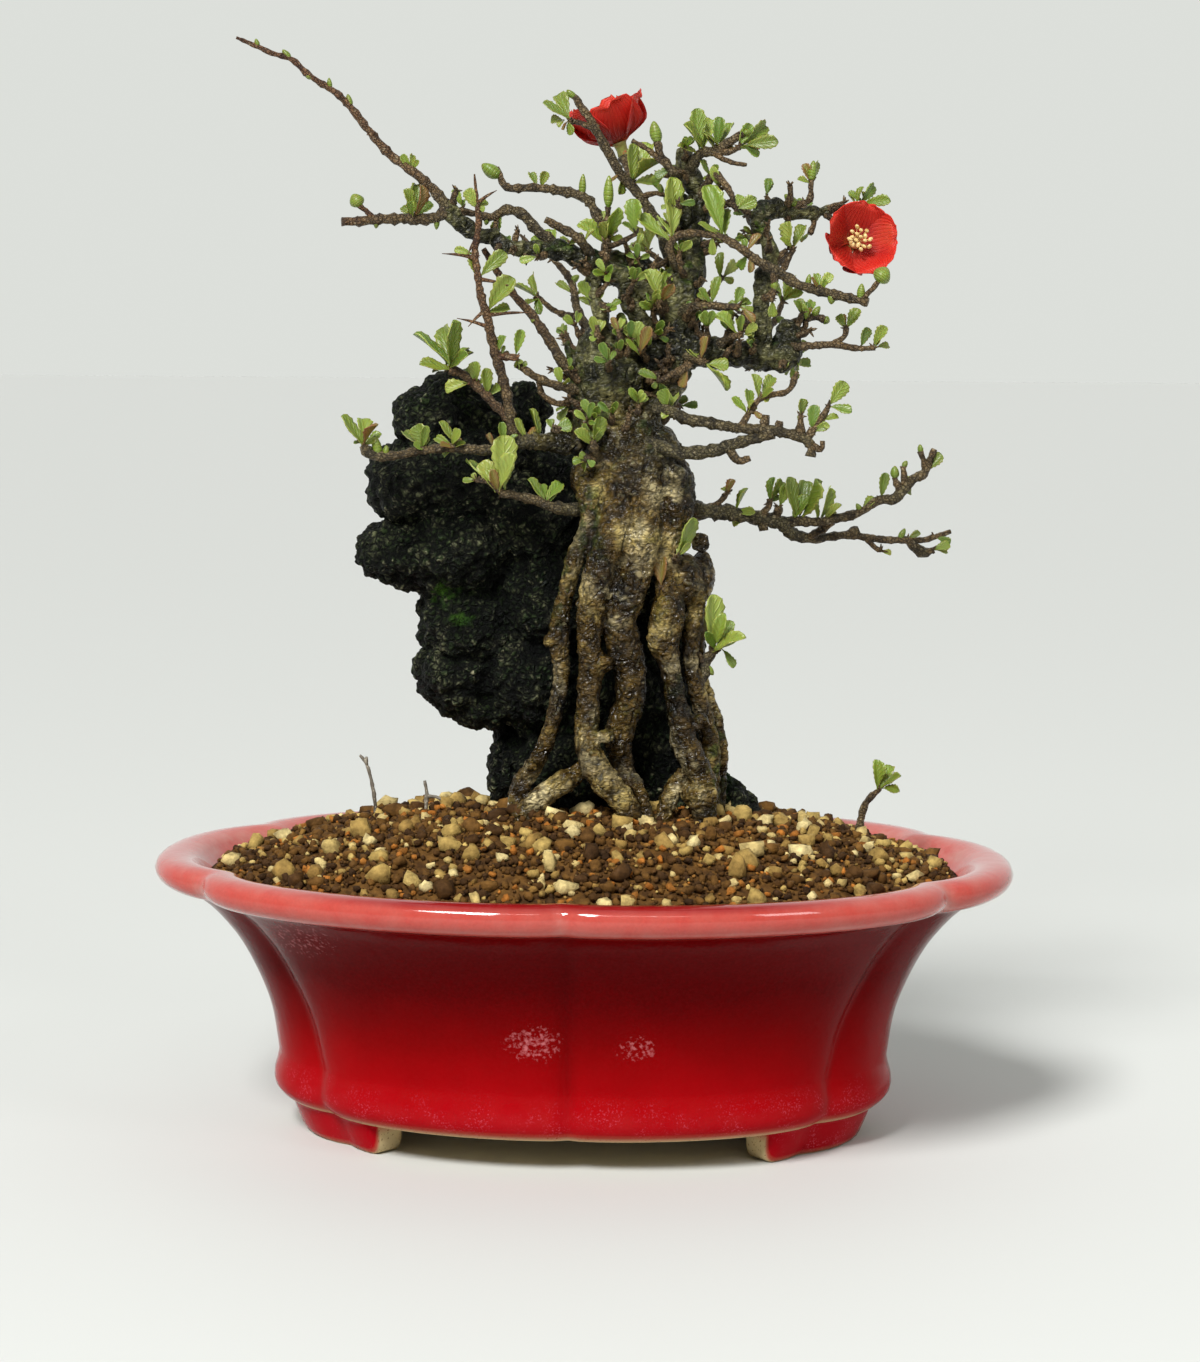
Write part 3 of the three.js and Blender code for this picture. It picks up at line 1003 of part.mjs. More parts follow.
// Soil: fills the pot, domed towards the roots, its top broken up into grains
function soilSolid() {
  const draw = seededDraw(71);
  const angles = lobeAngles();
  const rings = SOIL_SECTIONS.map(([halfLength, halfWidth, z]) => (
    angles.map((angle) => lobedPoint(angle, halfLength, halfWidth, z))));
  const [edgeLength, edgeWidth] = SOIL_SECTIONS[SOIL_SECTIONS.length - 1];
  for (let step = 1; step <= SOIL_RINGS; step += 1) {
    const share = 1 - step / (SOIL_RINGS + 0.6);
    rings.push(angles.map((angle) => {
      const jittered = share * (1 + 0.05 * (draw() - 0.5));
      const turned = angle + 0.05 * (draw() - 0.5) + 0.06 * (step % 2);
      const point = lobedPoint(turned, edgeLength * jittered, edgeWidth * jittered, SOIL_EDGE, share);
      point.z = SOIL_EDGE + SOIL_RISE * (1 - share ** SOIL_SHOULDER);
      point.z += SOIL_RELIEF * (draw() - 0.5) * Math.min(1, share * 4);
      return point;
    }));
  }
  const size = SCREEN_SIZE + 2 * CLEARANCE;
  const roomHeight = 2 * (SCREEN_THICKNESS + 2 * CLEARANCE);
  const screens = [-HOLE_X, HOLE_X].map((x) => block(size, size, roomHeight, x, 0, FLOOR_TOP + CLEARANCE));
  return solidOf(loft(rings)).subtract(united(screens));
}

// Wood: roots, trunk and main limbs are one grown piece
function woodSolid(grow) {
  const draw = seededDraw(19);
  return united([
    ...ROOTS.map((table) => limb(lineOf(table), grow, ROOT_SIDES)),
    ...TRUNK.map((table) => limb(lineOf(table), grow, TRUNK_SIDES)),
    ...MAIN_LIMBS.map((table) => limb(lineOf(table), grow, LIMB_SIDES)),
    ...BURLS.map((table) => lump(table, grow, 1, BURL_UNEVENNESS, draw)),
  ]);
}

function rockSolid(grow) {
  const draw = seededDraw(5);
  return united(ROCK_LUMPS.map((table) => lump(table, grow, 1, ROCK_UNEVENNESS, draw)));
}

// Blooms: petals in a cup round a crown of stamens, in a frame of its own facing
function bloomFrame({ place, facing }) {
  const outward = across.clone().multiplyScalar(facing[0])
    .addScaledVector(toViewer, facing[2]);
  outward.z += facing[1];
  outward.normalize();
  const sideways = new THREE.Vector3(outward.y, outward.z, outward.x).cross(outward).normalize();
  return { middle: at(...place), outward, sideways, upward: outward.clone().cross(sideways) };
}

function petalSolid(frame, angle, lift, grow) {
  const radial = frame.sideways.clone().multiplyScalar(Math.cos(angle))
    .addScaledVector(frame.upward, Math.sin(angle));
  const aside = frame.outward.clone().cross(radial);
  const points = PETAL_ROWS.flatMap(([reach, halfWidth, height]) => [-1, 0, 1].map((column) => (
    frame.middle.clone()
      .addScaledVector(radial, BLOOM_RADIUS * (reach - 0.05 * Math.abs(column) * reach))
      .addScaledVector(aside, BLOOM_RADIUS * halfWidth * column)
      .addScaledVector(frame.outward, BLOOM_RADIUS * (height * lift + 0.07 * Math.abs(column) * reach)))));
  const faces = [];
  for (let row = 0; row + 1 < PETAL_ROWS.length; row += 1) {
    for (let column = 0; column < 2; column += 1) {
      const a = row * 3 + column;
      faces.push([a, a + 1, a + 4], [a, a + 4, a + 3]);
    }
  }
  const slope = frame.outward.clone().addScaledVector(radial, -lift).normalize();
  return thickened(points, faces, () => slope, LEAF_THICKNESS / 2 + grow);
}

function petalsSolid(bloom, grow) {
  const frame = bloomFrame(bloom);
  const draw = seededDraw(bloom.seed);
  const petals = Array.from({ length: PETAL_COUNT }, (_, k) => {
    const angle = (2 * Math.PI * k) / PETAL_COUNT + bloom.turn;
    return petalSolid(frame, angle, bloom.cup * (0.94 + 0.12 * draw()), grow);
  });
  const seat = [frame.middle.clone().addScaledVector(frame.outward, -0.9),
    frame.middle.clone().addScaledVector(frame.outward, 0.9)];
  return united([...petals, limbThrough(seat, SEAT_RADII, 6, grow)]);
}

function stamensSolid(bloom) {
  const frame = bloomFrame(bloom);
  const draw = seededDraw(bloom.seed + 3);
  const lower = frame.middle.clone().addScaledVector(frame.outward, 0.9 + CLEARANCE);
  const upper = lower.clone().addScaledVector(frame.outward, 1.2);
  const filaments = Array.from({ length: STAMEN_COUNT }, (_, k) => {
    const spread = STAMEN_SPREAD * Math.sqrt((k + 0.5) / STAMEN_COUNT);
    const angle = k * 2.4;
    const tip = lower.clone()
      .addScaledVector(frame.sideways, spread * Math.cos(angle))
      .addScaledVector(frame.upward, spread * Math.sin(angle))
      .addScaledVector(frame.outward, 4.4 + draw());
    const root = lower.clone().lerp(upper, 0.4);
    return limbThrough([root, tip], FILAMENT_RADII, 3, 0);
  });
  return united([limbThrough([lower, upper], CROWN_RADII, 6, 0), ...filaments]);
}

// Puts everything together; what touches is cut back by the clearance all round
function build() {
  const solids = new Map();
  const wood = mainBody(woodSolid(0));
  const woodRoom = woodSolid(CLEARANCE);
  const rooms = [woodRoom];
  const overlaps = (a, b) => a.intersect(b).volume() > 0;
  const clearOf = (solid, others) => others.reduce(
    (rest, other) => (overlaps(rest, other) ? rest.subtract(other) : rest),
    solid,
  );

  Object.entries(BLOOMS).forEach(([name, bloom]) => {
    const petals = mainBody(petalsSolid(bloom, 0));
    const petalRoom = petalsSolid(bloom, CLEARANCE);
    solids.set(`${name}_petals`, [petals, FINISH.petal]);
    solids.set(`${name}_stamens`, [mainBody(stamensSolid(bloom).subtract(petalRoom)), FINISH.stamen]);
    rooms.push(petalRoom);
  });
  Object.entries(SPRAYS).forEach(([name, table], i) => {
    const bodies = bodiesOf(clearOf(sprayOf(table, 0, 100 + i), rooms));
    bodies.forEach((body, k) => {
      solids.set(bodies.length > 1 ? `${name}_${k + 1}` : name, [body, FINISH.leaf]);
    });
    rooms.push(sprayOf(table, CLEARANCE, 100 + i));
  });
  Object.entries(SOIL_GROWTH).forEach(([name, table], i) => {
    const finish = name === 'soil_sprig' ? FINISH.leaf : FINISH.dry;
    solids.set(name, [mainBody(sprayOf(table, 0, 200 + i)), finish]);
    rooms.push(sprayOf(table, CLEARANCE, 200 + i));
  });

  solids.set('rock', [mainBody(clearOf(rockSolid(0).simplify(ROCK_SIMPLIFIED), rooms)), FINISH.rock]);
  const soil = clearOf(soilSolid(), [...rooms, rockSolid(CLEARANCE)]);
  solids.set('soil', [mainBody(soil), FINISH.soil]);
  solids.set('trunk_and_roots', [wood, FINISH.bark]);
  solids.set('pot', [mainBody(potSolid()), FINISH.glaze]);
  solids.set('drain_screen_left', [screenSolid(-HOLE_X), FINISH.mesh]);
  solids.set('drain_screen_right', [screenSolid(HOLE_X), FINISH.mesh]);
  return solids;
}

const group = new THREE.Group();
build().forEach(([solid, finish], name) => {
  const mesh = new THREE.Mesh(geometryOf(solid), new THREE.MeshStandardMaterial(finish));
  mesh.name = name;
  group.add(mesh);
});

export default group;
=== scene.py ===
"""Looks of a chojubai flowering quince bonsai, grown root over rock in a glazed six-lobed pot.

Everything is drawn in millimetres and scaled to metres when a piece is finished, in the frame of
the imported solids: +Z up, +X along the pot's long side, the front towards -Y.
"""

import logging
import math
import random
from dataclasses import dataclass, field
from enum import Enum
from typing import Callable, Iterable, Sequence

import bmesh
import bpy
from mathutils import Matrix, Vector, noise


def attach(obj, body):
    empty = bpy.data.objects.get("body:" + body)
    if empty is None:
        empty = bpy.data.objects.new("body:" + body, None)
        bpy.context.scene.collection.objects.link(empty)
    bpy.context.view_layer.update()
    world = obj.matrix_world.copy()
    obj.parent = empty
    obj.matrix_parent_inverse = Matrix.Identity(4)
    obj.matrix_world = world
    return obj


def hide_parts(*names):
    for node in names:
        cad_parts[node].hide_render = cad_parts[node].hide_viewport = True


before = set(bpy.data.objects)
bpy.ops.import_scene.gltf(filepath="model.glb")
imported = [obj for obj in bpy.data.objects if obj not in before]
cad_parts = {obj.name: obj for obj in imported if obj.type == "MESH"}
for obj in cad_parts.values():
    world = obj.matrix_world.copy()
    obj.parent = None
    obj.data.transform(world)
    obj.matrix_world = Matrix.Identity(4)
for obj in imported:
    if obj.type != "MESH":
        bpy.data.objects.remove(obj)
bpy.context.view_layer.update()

log = logging.getLogger("quince_bonsai")

MM = 0.001
FIRST_BRANCH_SEED = 100

Colour = tuple[float, float, float, float]
Stops = Sequence[tuple[float, Colour]]
Row = Sequence[float]
BMesh = bmesh.types.BMesh
BMVert = bmesh.types.BMVert
BMEdge = bmesh.types.BMEdge
Mesh = bpy.types.Mesh
Material = bpy.types.Material
Socket = bpy.types.NodeSocket


def axes_at(place: Vector, x: Vector, y: Vector, z: Vector) -> Matrix:
    """Gives the matrix that carries the three axes to three vectors at a place."""
    return Matrix.Translation(place) @ Matrix((x, y, z)).transposed().to_4x4()


def placed(name: str, data: bpy.types.ID) -> bpy.types.Object:
    """Makes an object of some data and links it to the scene."""
    made = bpy.data.objects.new(name, data)
    bpy.context.collection.objects.link(made)
    return made


@dataclass(frozen=True)
class Viewpoint:
    """The upright plane that the tree's tables are read on, and the eye in front of it.

    A table point is across, up and towards the front. One that stands in front of the plane is
    carried along the line to the eye, so that it still shows at its place.
    """

    turn: float = math.radians(3.6)
    distance: float = 900.0
    height: float = 227.1
    offset: float = 4.3
    table_zero: float = 1.9
    pitch: float = 0.1175
    roll: float = 0.0053
    lens: float = 89.6
    sensor: float = 36.0
    reach: float = 100.0

    @property
    def across(self) -> Vector:
        """Unit vector to the viewer's right."""
        return Vector((math.cos(self.turn), math.sin(self.turn), 0))

    @property
    def to_viewer(self) -> Vector:
        """Unit vector from the plane to the viewer."""
        return Vector((math.sin(self.turn), -math.cos(self.turn), 0))

    @property
    def eye(self) -> Vector:
        """The camera's place in millimetres."""
        return self.to_viewer * self.distance + self.across * self.offset + Vector((0, 0, self.height))

    def at(self, u: float, z: float, depth: float) -> Vector:
        """Gives the place of a table point.

        Args:
            u: Distance across, from the middle of the pot.
            z: Height in the table.
            depth: How far the point stands in front of the plane.

        Returns:
            The point in millimetres.
        """
        flat = self.across * u + Vector((0, 0, z - self.table_zero))
        return flat.lerp(self.eye, depth / self.distance)

    def place_camera(self) -> None:
        """Makes the camera and sets it as the scene's own."""
        forward = -self.to_viewer * math.cos(self.pitch) - Vector((0, 0, math.sin(self.pitch)))
        up = self.across.cross(forward)
        right = self.across * math.cos(self.roll) + up * math.sin(self.roll)
        upright = up * math.cos(self.roll) - self.across * math.sin(self.roll)
        data = bpy.data.cameras.new("viewpoint")
        data.lens = self.lens
        data.sensor_width = self.sensor
        data.clip_end = self.reach
        camera = placed("viewpoint", data)
        camera.matrix_world = axes_at(self.eye * MM, right, upright, -forward)
        bpy.context.scene.camera = camera


VIEW = Viewpoint()


class Slot(Enum):
    """The record's material slots."""

    GLAZE = "glaze"
    SCREEN = "screen"
    SOIL = "soil"
    ROCK = "rock"
    BARK = "bark"
    SHOOT = "leafy_shoot"
    PETAL = "petal"
    STAMEN = "stamen"
    DRY = "dry_wood"


class Dress(Enum):
    """The finishes that branches and flowers share."""

    SHOOT = "shoot"
    YOUNG = "young"
    LEAF = "leaf"
    PETAL = "petal"
    DRY = "dry"
    STAMEN = "stamen"
    CALYX = "calyx"


Finishes = dict[Dress, Material]


@dataclass
class Branch:
    """One leafy branch, as tables of points on the viewing plane.

    Attributes:
        stems: Lists of across, up, depth and thickness.
        tufts: A base, then each leaf's tip across, tip height and width.
        buds: Base, tip across, tip height and thickness.
        thorns: Base, tip across and tip height.
        companions: How often a smaller leaf stands beside a leaf of the table.
    """

    stems: list[list[Row]]
    tufts: list[list[Row]] = field(default_factory=list)
    buds: list[Row] = field(default_factory=list)
    thorns: list[Row] = field(default_factory=list)
    companions: float = 0.6


# Wood: every limb is a list of points across, up, towards the front and the thickness there

ROOTS = [
    [[-1.3, 179.8, 9, 4.8], [-0.2, 175.8, 11, 5.5], [1.5, 170.2, 12, 5.8], [1.9, 165.6, 12, 5.6],
     [-0.1, 161, 12, 5.1], [-2.6, 155.4, 12, 4.6], [-4.6, 147.7, 11.5, 4.3], [-5.5, 143.4, 11, 4.3],
     [-6.4, 138.4, 11, 5], [-6.6, 132.4, 11, 5.2], [-6, 123.6, 10, 3.9], [-7.2, 117, 10, 4.3],
     [-8.4, 111.5, 10, 4.1], [-10.1, 106, 9, 4.3], [-12.7, 100.5, 9, 4.3], [-15.9, 96, 9, 5],
     [-17.6, 91.6, 9, 4.8], [-18.5, 84, 9, 4.4], [-18.5, 76, 9, 4]],
    [[8, 175.3, 9, 7], [8.8, 169, 12.5, 8.2], [8, 163.1, 14, 8.4], [5.3, 156.5, 15, 7.9],
     [3, 148.8, 15, 7.6], [1.5, 141.6, 14.5, 7.1], [1.4, 137.9, 14, 6.2], [1.3, 132.5, 13.5, 6],
     [2.2, 127.5, 13, 6.6], [1.4, 122.6, 13, 6], [1.2, 117.1, 13, 6], [0.8, 111.6, 13, 6.1],
     [0.9, 106.1, 14, 6.4], [2.6, 100.5, 16, 7.2], [5.9, 95.6, 18, 7.6], [9.8, 91.2, 19, 6.8],
     [13.1, 86.2, 19, 5.6], [14.5, 76, 19, 5]],
    [[13, 176.8, 9, 7.6], [14.8, 170.3, 12, 8.6], [16.2, 164.2, 13, 8.7], [15.4, 158, 13, 8.6],
     [13.2, 151.4, 12.5, 9.1], [10.9, 145.2, 12, 10], [9.2, 139.4, 11, 9], [10.3, 133.6, 10.5, 9.1],
     [11.7, 128.1, 10, 8.4], [12.4, 122.6, 10, 8.1], [12.4, 117.1, 9.5, 7.3], [10.2, 111.6, 9, 7.6],
     [9.1, 106.1, 9, 7.2], [10.4, 100.6, 8, 6.1], [11.9, 95.1, 8, 5.4], [13.1, 89.5, 8, 4.9],
     [14, 76, 8, 4.6]],
    [[20.6, 184, 4, 7.1], [22.1, 180.5, 6, 9.1], [23.6, 175.9, 7, 10.4], [24, 171.3, 8, 10.5],
     [23.5, 166.7, 8.5, 9.7], [22.3, 161.1, 9, 7.6], [21.4, 156, 9.5, 6.4], [21.7, 150.9, 10, 5.8],
     [22.3, 145.8, 10.5, 7.2], [22.4, 140.4, 11, 8.9], [21.2, 133.6, 11, 8.1], [22.9, 128.2, 11, 5.7],
     [23.8, 122.7, 11, 5], [24.8, 117.2, 11, 5.2], [25.9, 111.7, 11, 6.4], [26.9, 106.2, 11, 7],
     [29.4, 101.5, 12, 7.2], [32.1, 96.3, 12, 6.8], [32.5, 90.7, 12, 7], [32.3, 85.2, 12, 6],
     [32.6, 76, 12, 5.6]],
    [[30.4, 148.6, 3, 4.4], [29.2, 138, 5, 4.4], [28.2, 129.6, 6, 4.2], [29.7, 122.7, 6, 4.3],
     [31, 117.2, 5, 4.6], [32.6, 111.7, 4, 4.9], [33.9, 106.2, 4, 5], [34.1, 101.3, 4, 5.2],
     [34.4, 95.2, 4, 4.3], [35, 80, 4, 3.8]],
    [[29.6, 141, 3.6, 4], [30.8, 129.4, 2, 3.2], [31.7, 123.8, 1.6, 3], [34.1, 117.3, 1, 2.9],
     [35.9, 111.8, 0, 2.9], [37, 106.2, 0, 2.9], [37.3, 101.8, 0, 3.1], [36.9, 95.2, 0, 2.9],
     [37.2, 82, 0, 2.8]],
    [[0.8, 99.6, 8, 4.4], [-4.5, 95.8, 9, 6.1], [-8.9, 93.3, 10, 6.1], [-12.1, 90.2, 12, 5.6],
     [-16.5, 86.4, 13, 5], [-18, 76, 14, 4.4]],
    [[13.3, 97.3, 10, 3], [14.7, 94, 12, 3.3], [16.4, 89.5, 14, 3.4], [17.8, 85.1, 15, 3],
     [18.4, 76, 15, 2.6]],
    [[27.4, 98.4, 9, 4], [24.3, 94, 10, 4], [22.7, 90.1, 11, 5], [21.3, 85.7, 12, 4.4], [21, 76, 12, 4]],
]

TRUNK = [
    [[16, 152, -2, 12], [15, 158, -1, 19], [13.5, 164, 0, 24], [12.8, 171, 1, 27], [12.6, 177, 2, 28.5],
     [12, 181, 2.4, 28], [9.5, 185.5, 2.5, 25], [6, 191, 2, 20.5], [5.2, 197, 1.5, 19.4],
     [6.5, 204, 1, 21.4], [9.5, 209.5, 0, 21.4], [12, 212, 0, 14]],
    [[14, 206, 0, 12], [20, 211, 0, 11.5], [24.5, 216, 0, 10.5], [25, 222, 0, 10.6], [24.6, 227, 0, 11],
     [26.4, 231, 0, 9], [27.4, 236, 0, 6.4], [28.2, 241.3, 0, 5.2], [29.4, 246, 0, 5.6],
     [29.8, 249.3, 0, 5], [29.2, 252.5, 0, 4.4], [27, 256.5, 0, 4.4], [25.2, 259.5, 0, 3.8],
     [25.2, 263.6, 0, 3.2]],
]

MAIN_LIMBS = [
    [[18.7, 225.2, 1, 8], [14, 228, 2, 6.5], [10.7, 229.6, 3, 5.6], [5, 232, 4, 5.2], [1.3, 234.4, 4, 4.9],
     [-2.9, 235.2, 5, 4.8], [-6, 236.9, 5, 4.4], [-12.1, 237.3, 5.5, 3.8], [-17.3, 237.3, 6, 3.6],
     [-20.4, 238.1, 6, 3.5], [-25.2, 240.2, 6, 3.4], [-30, 241.6, 6, 3.4], [-34.4, 245.4, 6.5, 3.4],
     [-37, 248.4, 7, 3.2]],
    [[17, 231, -3, 6], [12, 233, -4, 6], [7, 234, -4, 5], [3, 234.6, -1, 4.4], [0, 234.6, 3, 3.6]],
    [[5, 206, 5, 5], [4.2, 211, 6, 3.8], [4.2, 216, 6, 3.2], [3.4, 221, 6, 3.3], [2.2, 226, 5, 3.2],
     [2.6, 232, 4, 3.4]],
    [[-3, 206, 3, 3], [-5, 213, 4, 1.6]],
    [[-1.5, 207, 3, 3], [-0.4, 212.6, 4, 2]],
    [[12, 211, 3, 6], [15.6, 213.8, 4, 5], [15, 217.5, 4, 4.6], [12.8, 221, 4, 4.2], [11.2, 225, 3.5, 4.4],
     [11, 229.5, 3, 4.6]],
    [[9, 187, 5, 6], [12, 190, 7, 5.4], [15.5, 193.6, 8, 5.2], [19.5, 197, 8, 5.6], [23, 201, 6, 6],
     [24, 206, 3, 7], [24.5, 211, 1, 7]],
    [[22, 212, 2, 9], [27, 210.8, 3, 7.6], [33, 210.4, 3, 6.8], [40, 210.2, 3, 6.6], [46, 209.6, 2, 6.6],
     [50.5, 209.4, 1, 7.4], [53, 212, 0, 6.6], [53.6, 216.4, -1, 5], [53.4, 219, -1, 3]],
    [[46, 210, 2, 5.4], [46.2, 216.8, 3, 4.6], [46.4, 223, 3, 4], [47, 229.5, 2, 3.7], [48.2, 233, 0, 3.6],
     [48.6, 236.4, -1, 3.6], [47.4, 239.9, -2, 3.7], [45.8, 243.3, -3, 3.8], [45.5, 246.9, -4, 3.9],
     [49, 247.8, -6, 4], [53, 247.8, -8, 3.6], [56.4, 246.9, -9, 3.1], [60.8, 247, -11, 2.8],
     [64.3, 248, -12, 2.5]],
    [[22, 168.5, 1, 8], [27, 168.5, 0, 6], [32, 168.4, -1, 4.6]],
    [[4, 186, 5, 7], [-3, 186, 9, 5.4], [-9, 186.4, 11, 4.6], [-14, 187, 12, 3.8]],
]

# Lumps: middle across, up and towards the front, then the half sizes across, up and deep

BURLS = [
    [26.6, 150.4, 5, 5.4, 6.6, 6], [31.2, 151, 1, 3.6, 6.8, 5], [21, 175, 3, 8, 9.6, 8],
    [25.9, 247, 1.5, 3.4, 4, 3.2], [31.4, 92, 12, 4.8, 4.2, 4.6], [53, 210, 1, 4, 4, 4],
    [1, 177, 7, 4.8, 6, 4.8], [12, 161, 3, 9, 9, 8], [20, 134.5, 13, 3.2, 3.4, 2.6],
]

ROCK_LUMPS = [
    [11, 78, -16, 34, 20, 17], [-4, 98, -14, 17, 17, 16], [22, 100, -16, 16, 24, 15],
    [6, 122, -16, 24, 18, 16], [-14, 124, -12, 16, 14, 17], [-32, 125, -14, 13.6, 11.5, 16],
    [-24, 116, -14, 12, 6, 13], [-30, 139, -15, 15, 13, 19], [-8, 145, -12, 17, 18, 17],
    [18, 140, -16, 15, 20, 14], [-47, 157, -12, 13.8, 9.6, 15], [-55, 156.5, -8, 6, 7, 8],
    [-34, 158, -14, 17, 14, 21], [-12, 168, -13, 20, 17, 17], [-44, 176, -13, 14.4, 12, 18],
    [-30, 179, -15, 19, 16, 21], [4, 170, -18, 14, 16, 12], [-39, 193, -13, 12.4, 9.6, 16],
    [-26, 192, -17, 14, 9, 15], [-16, 195, -18, 6.4, 8, 9], [-36, 201, -12, 7.6, 3.6, 8],
    [40, 86, -10, 7, 10, 9], [-21, 99, -14, 5, 12, 10], [-12, 110, -16, 8, 9, 12],
]

# Leafy branches, as Branch describes them

WHIP = Branch(
    stems=[
        [[-36, 247.4, 7, 3.1], [-40.1, 252.4, 7, 2.5], [-44.1, 256.1, 8, 2.3], [-49, 259.6, 8, 2.1],
         [-53.4, 263.5, 9, 2], [-58.8, 269.9, 10, 1.9], [-61.8, 273.8, 10, 1.8], [-65.4, 277.3, 11, 1.7],
         [-69.8, 280.1, 11, 1.6], [-73.5, 282.7, 12, 1.5], [-77.1, 286, 12, 1.4], [-82.7, 287.8, 13, 1.3],
         [-86, 289.3, 13, 1.2], [-91.7, 291.7, 14, 0.8]],
        [[-37, 248.5, 7, 2.6], [-38.6, 245.6, 8, 2.7], [-43.8, 244.8, 9, 2.6], [-47.9, 245, 10, 2.6],
         [-55.9, 244.7, 12, 2.4], [-59.9, 244.3, 13, 2.2], [-64.3, 244.1, 14, 2]],
        [[-55.5, 244.7, 12, 1.6], [-57.4, 246.6, 12, 1.2], [-60, 248.6, 13, 1.2]],
    ],
    tufts=[
        [[-44.9, 246, 9.5], [-47.4, 252.6, 3], [-44.6, 254, 3.2], [-41.8, 252.4, 3], [-41, 249.6, 2.4]],
        [[-46, 257.6, 8], [-48.4, 261.6, 2], [-45.4, 261.8, 2]],
        [[-56.4, 266.8, 9], [-58.8, 270.4, 1.6]],
    ],
    buds=[
        [-59.4, 248, 13, -61.4, 251.2, 3.9], [-77.6, 286.4, 12, -79.6, 288.6, 1.8],
        [-61.8, 274, 10, -62.6, 277.2, 1.8], [-67.2, 278.6, 11, -67.5, 281.4, 1.4],
        [-73.2, 282.6, 12, -72.4, 281, 1.6], [-86, 289.4, 13, -86.6, 291.4, 1.4],
        [-39, 244.6, 8, -39.4, 242.2, 1.6], [-55.1, 244, 12, -55.3, 242.4, 1.6],
    ],
)

THORNY = Branch(
    stems=[
        [[-14, 187, 12, 3], [-18.5, 188, 12, 2.8], [-19.7, 192, 12, 2.7], [-21, 200, 12, 2.5],
         [-22.4, 205, 12, 2.5], [-24.4, 212, 12.5, 2.3], [-25.9, 218.8, 13, 2.1], [-27.6, 224.8, 13, 1.9],
         [-28.8, 232.2, 13.5, 1.7], [-29.2, 237, 13.5, 1.6], [-28.4, 243.1, 13.5, 1.4], [-28.9, 251, 13, 1],
         [-29.4, 256.7, 13, 0.4]],
        [[-20, 192, 12, 2.2], [-24, 196.4, 11, 2.3], [-29, 201.4, 10, 2.2], [-32.6, 204.4, 9, 2.2],
         [-36, 205.6, 9, 2.2]],
        [[-23.6, 209.2, 12, 1.6], [-20, 208.8, 13, 1.8], [-17.6, 208.6, 13, 1.6]],
    ],
    tufts=[
        [[-36, 205.4, 9], [-43, 216.3, 2.2], [-38.2, 217.2, 3.8], [-34, 217, 4.6], [-30.2, 210.8, 2.4],
         [-41, 208.4, 1.6]],
        [[-29, 201.6, 10.5], [-29.5, 207.4, 3.2], [-31.6, 206.4, 1.6]],
        [[-25.4, 199, 11.6], [-26.2, 205.6, 3.6]],
        [[-31, 201.4, 10.5], [-37, 200.6, 3]],
        [[-22.8, 209.8, 12.4], [-21.4, 214.4, 1.8], [-24.2, 213.2, 1.6]],
        [[-18.2, 208.4, 13], [-17, 216, 1.8], [-18.4, 205.6, 2]],
        [[-29, 247.6, 13.4], [-31.4, 252.6, 3.2], [-26.2, 250, 2.4]],
        [[-27.6, 229.6, 13.4], [-21.6, 236.4, 3.8]],
        [[-26.2, 220.4, 13], [-19.4, 229.6, 4.8]],
        [[-29.4, 235.6, 13.4], [-34.4, 237.2, 1.6]],
    ],
    thorns=[
        [-29.4, 234.8, 13.5, -37.9, 235.9], [-28.5, 249, 13, -23.5, 252.5], [-28, 229.4, 13, -18.8, 227.2],
        [-26.2, 219.8, 13, -14, 220.6], [-25.6, 216.6, 13, -34, 219], [-26.8, 221, 13, -31, 216.8],
        [-29, 240, 13.5, -31.2, 235.6],
    ],
)

STRAIGHT_SHOOT = Branch(
    stems=[
        [[-1, 203, 5, 3.2], [-5, 206.4, 5, 2.8], [-9.5, 213.2, 4, 2.5], [-13.9, 219.6, 3, 2.3],
         [-19.1, 225.4, 2, 2], [-22.6, 230, 1, 1.8], [-27, 237.2, 0, 1.5]],
    ],
    buds=[[-13, 218, 3, -14.6, 219, 1.8], [-22, 229.2, 1, -20.6, 229.8, 1.6]],
)

LEFT_INNER = Branch(
    stems=[
        [[-1, 200, 7, 2.6], [-6, 201, 9, 2.2], [-10, 202.2, 10, 2], [-13, 203.6, 11, 2],
         [-16, 205.6, 11, 1.8], [-18, 206.8, 11, 1.6]],
        [[-4, 196.4, 8, 1.6], [-8.4, 197, 9, 1.5], [-11.4, 199.2, 9, 1.4], [-12.4, 202.4, 10, 1.4]],
    ],
    tufts=[
        [[-6.6, 200, 9.2], [-7.4, 206, 2.4]],
        [[-18, 206, 11], [-15.4, 207.2, 1.8]],
        [[-4, 196, 8.5], [-7, 192.6, 2.2]],
    ],
)

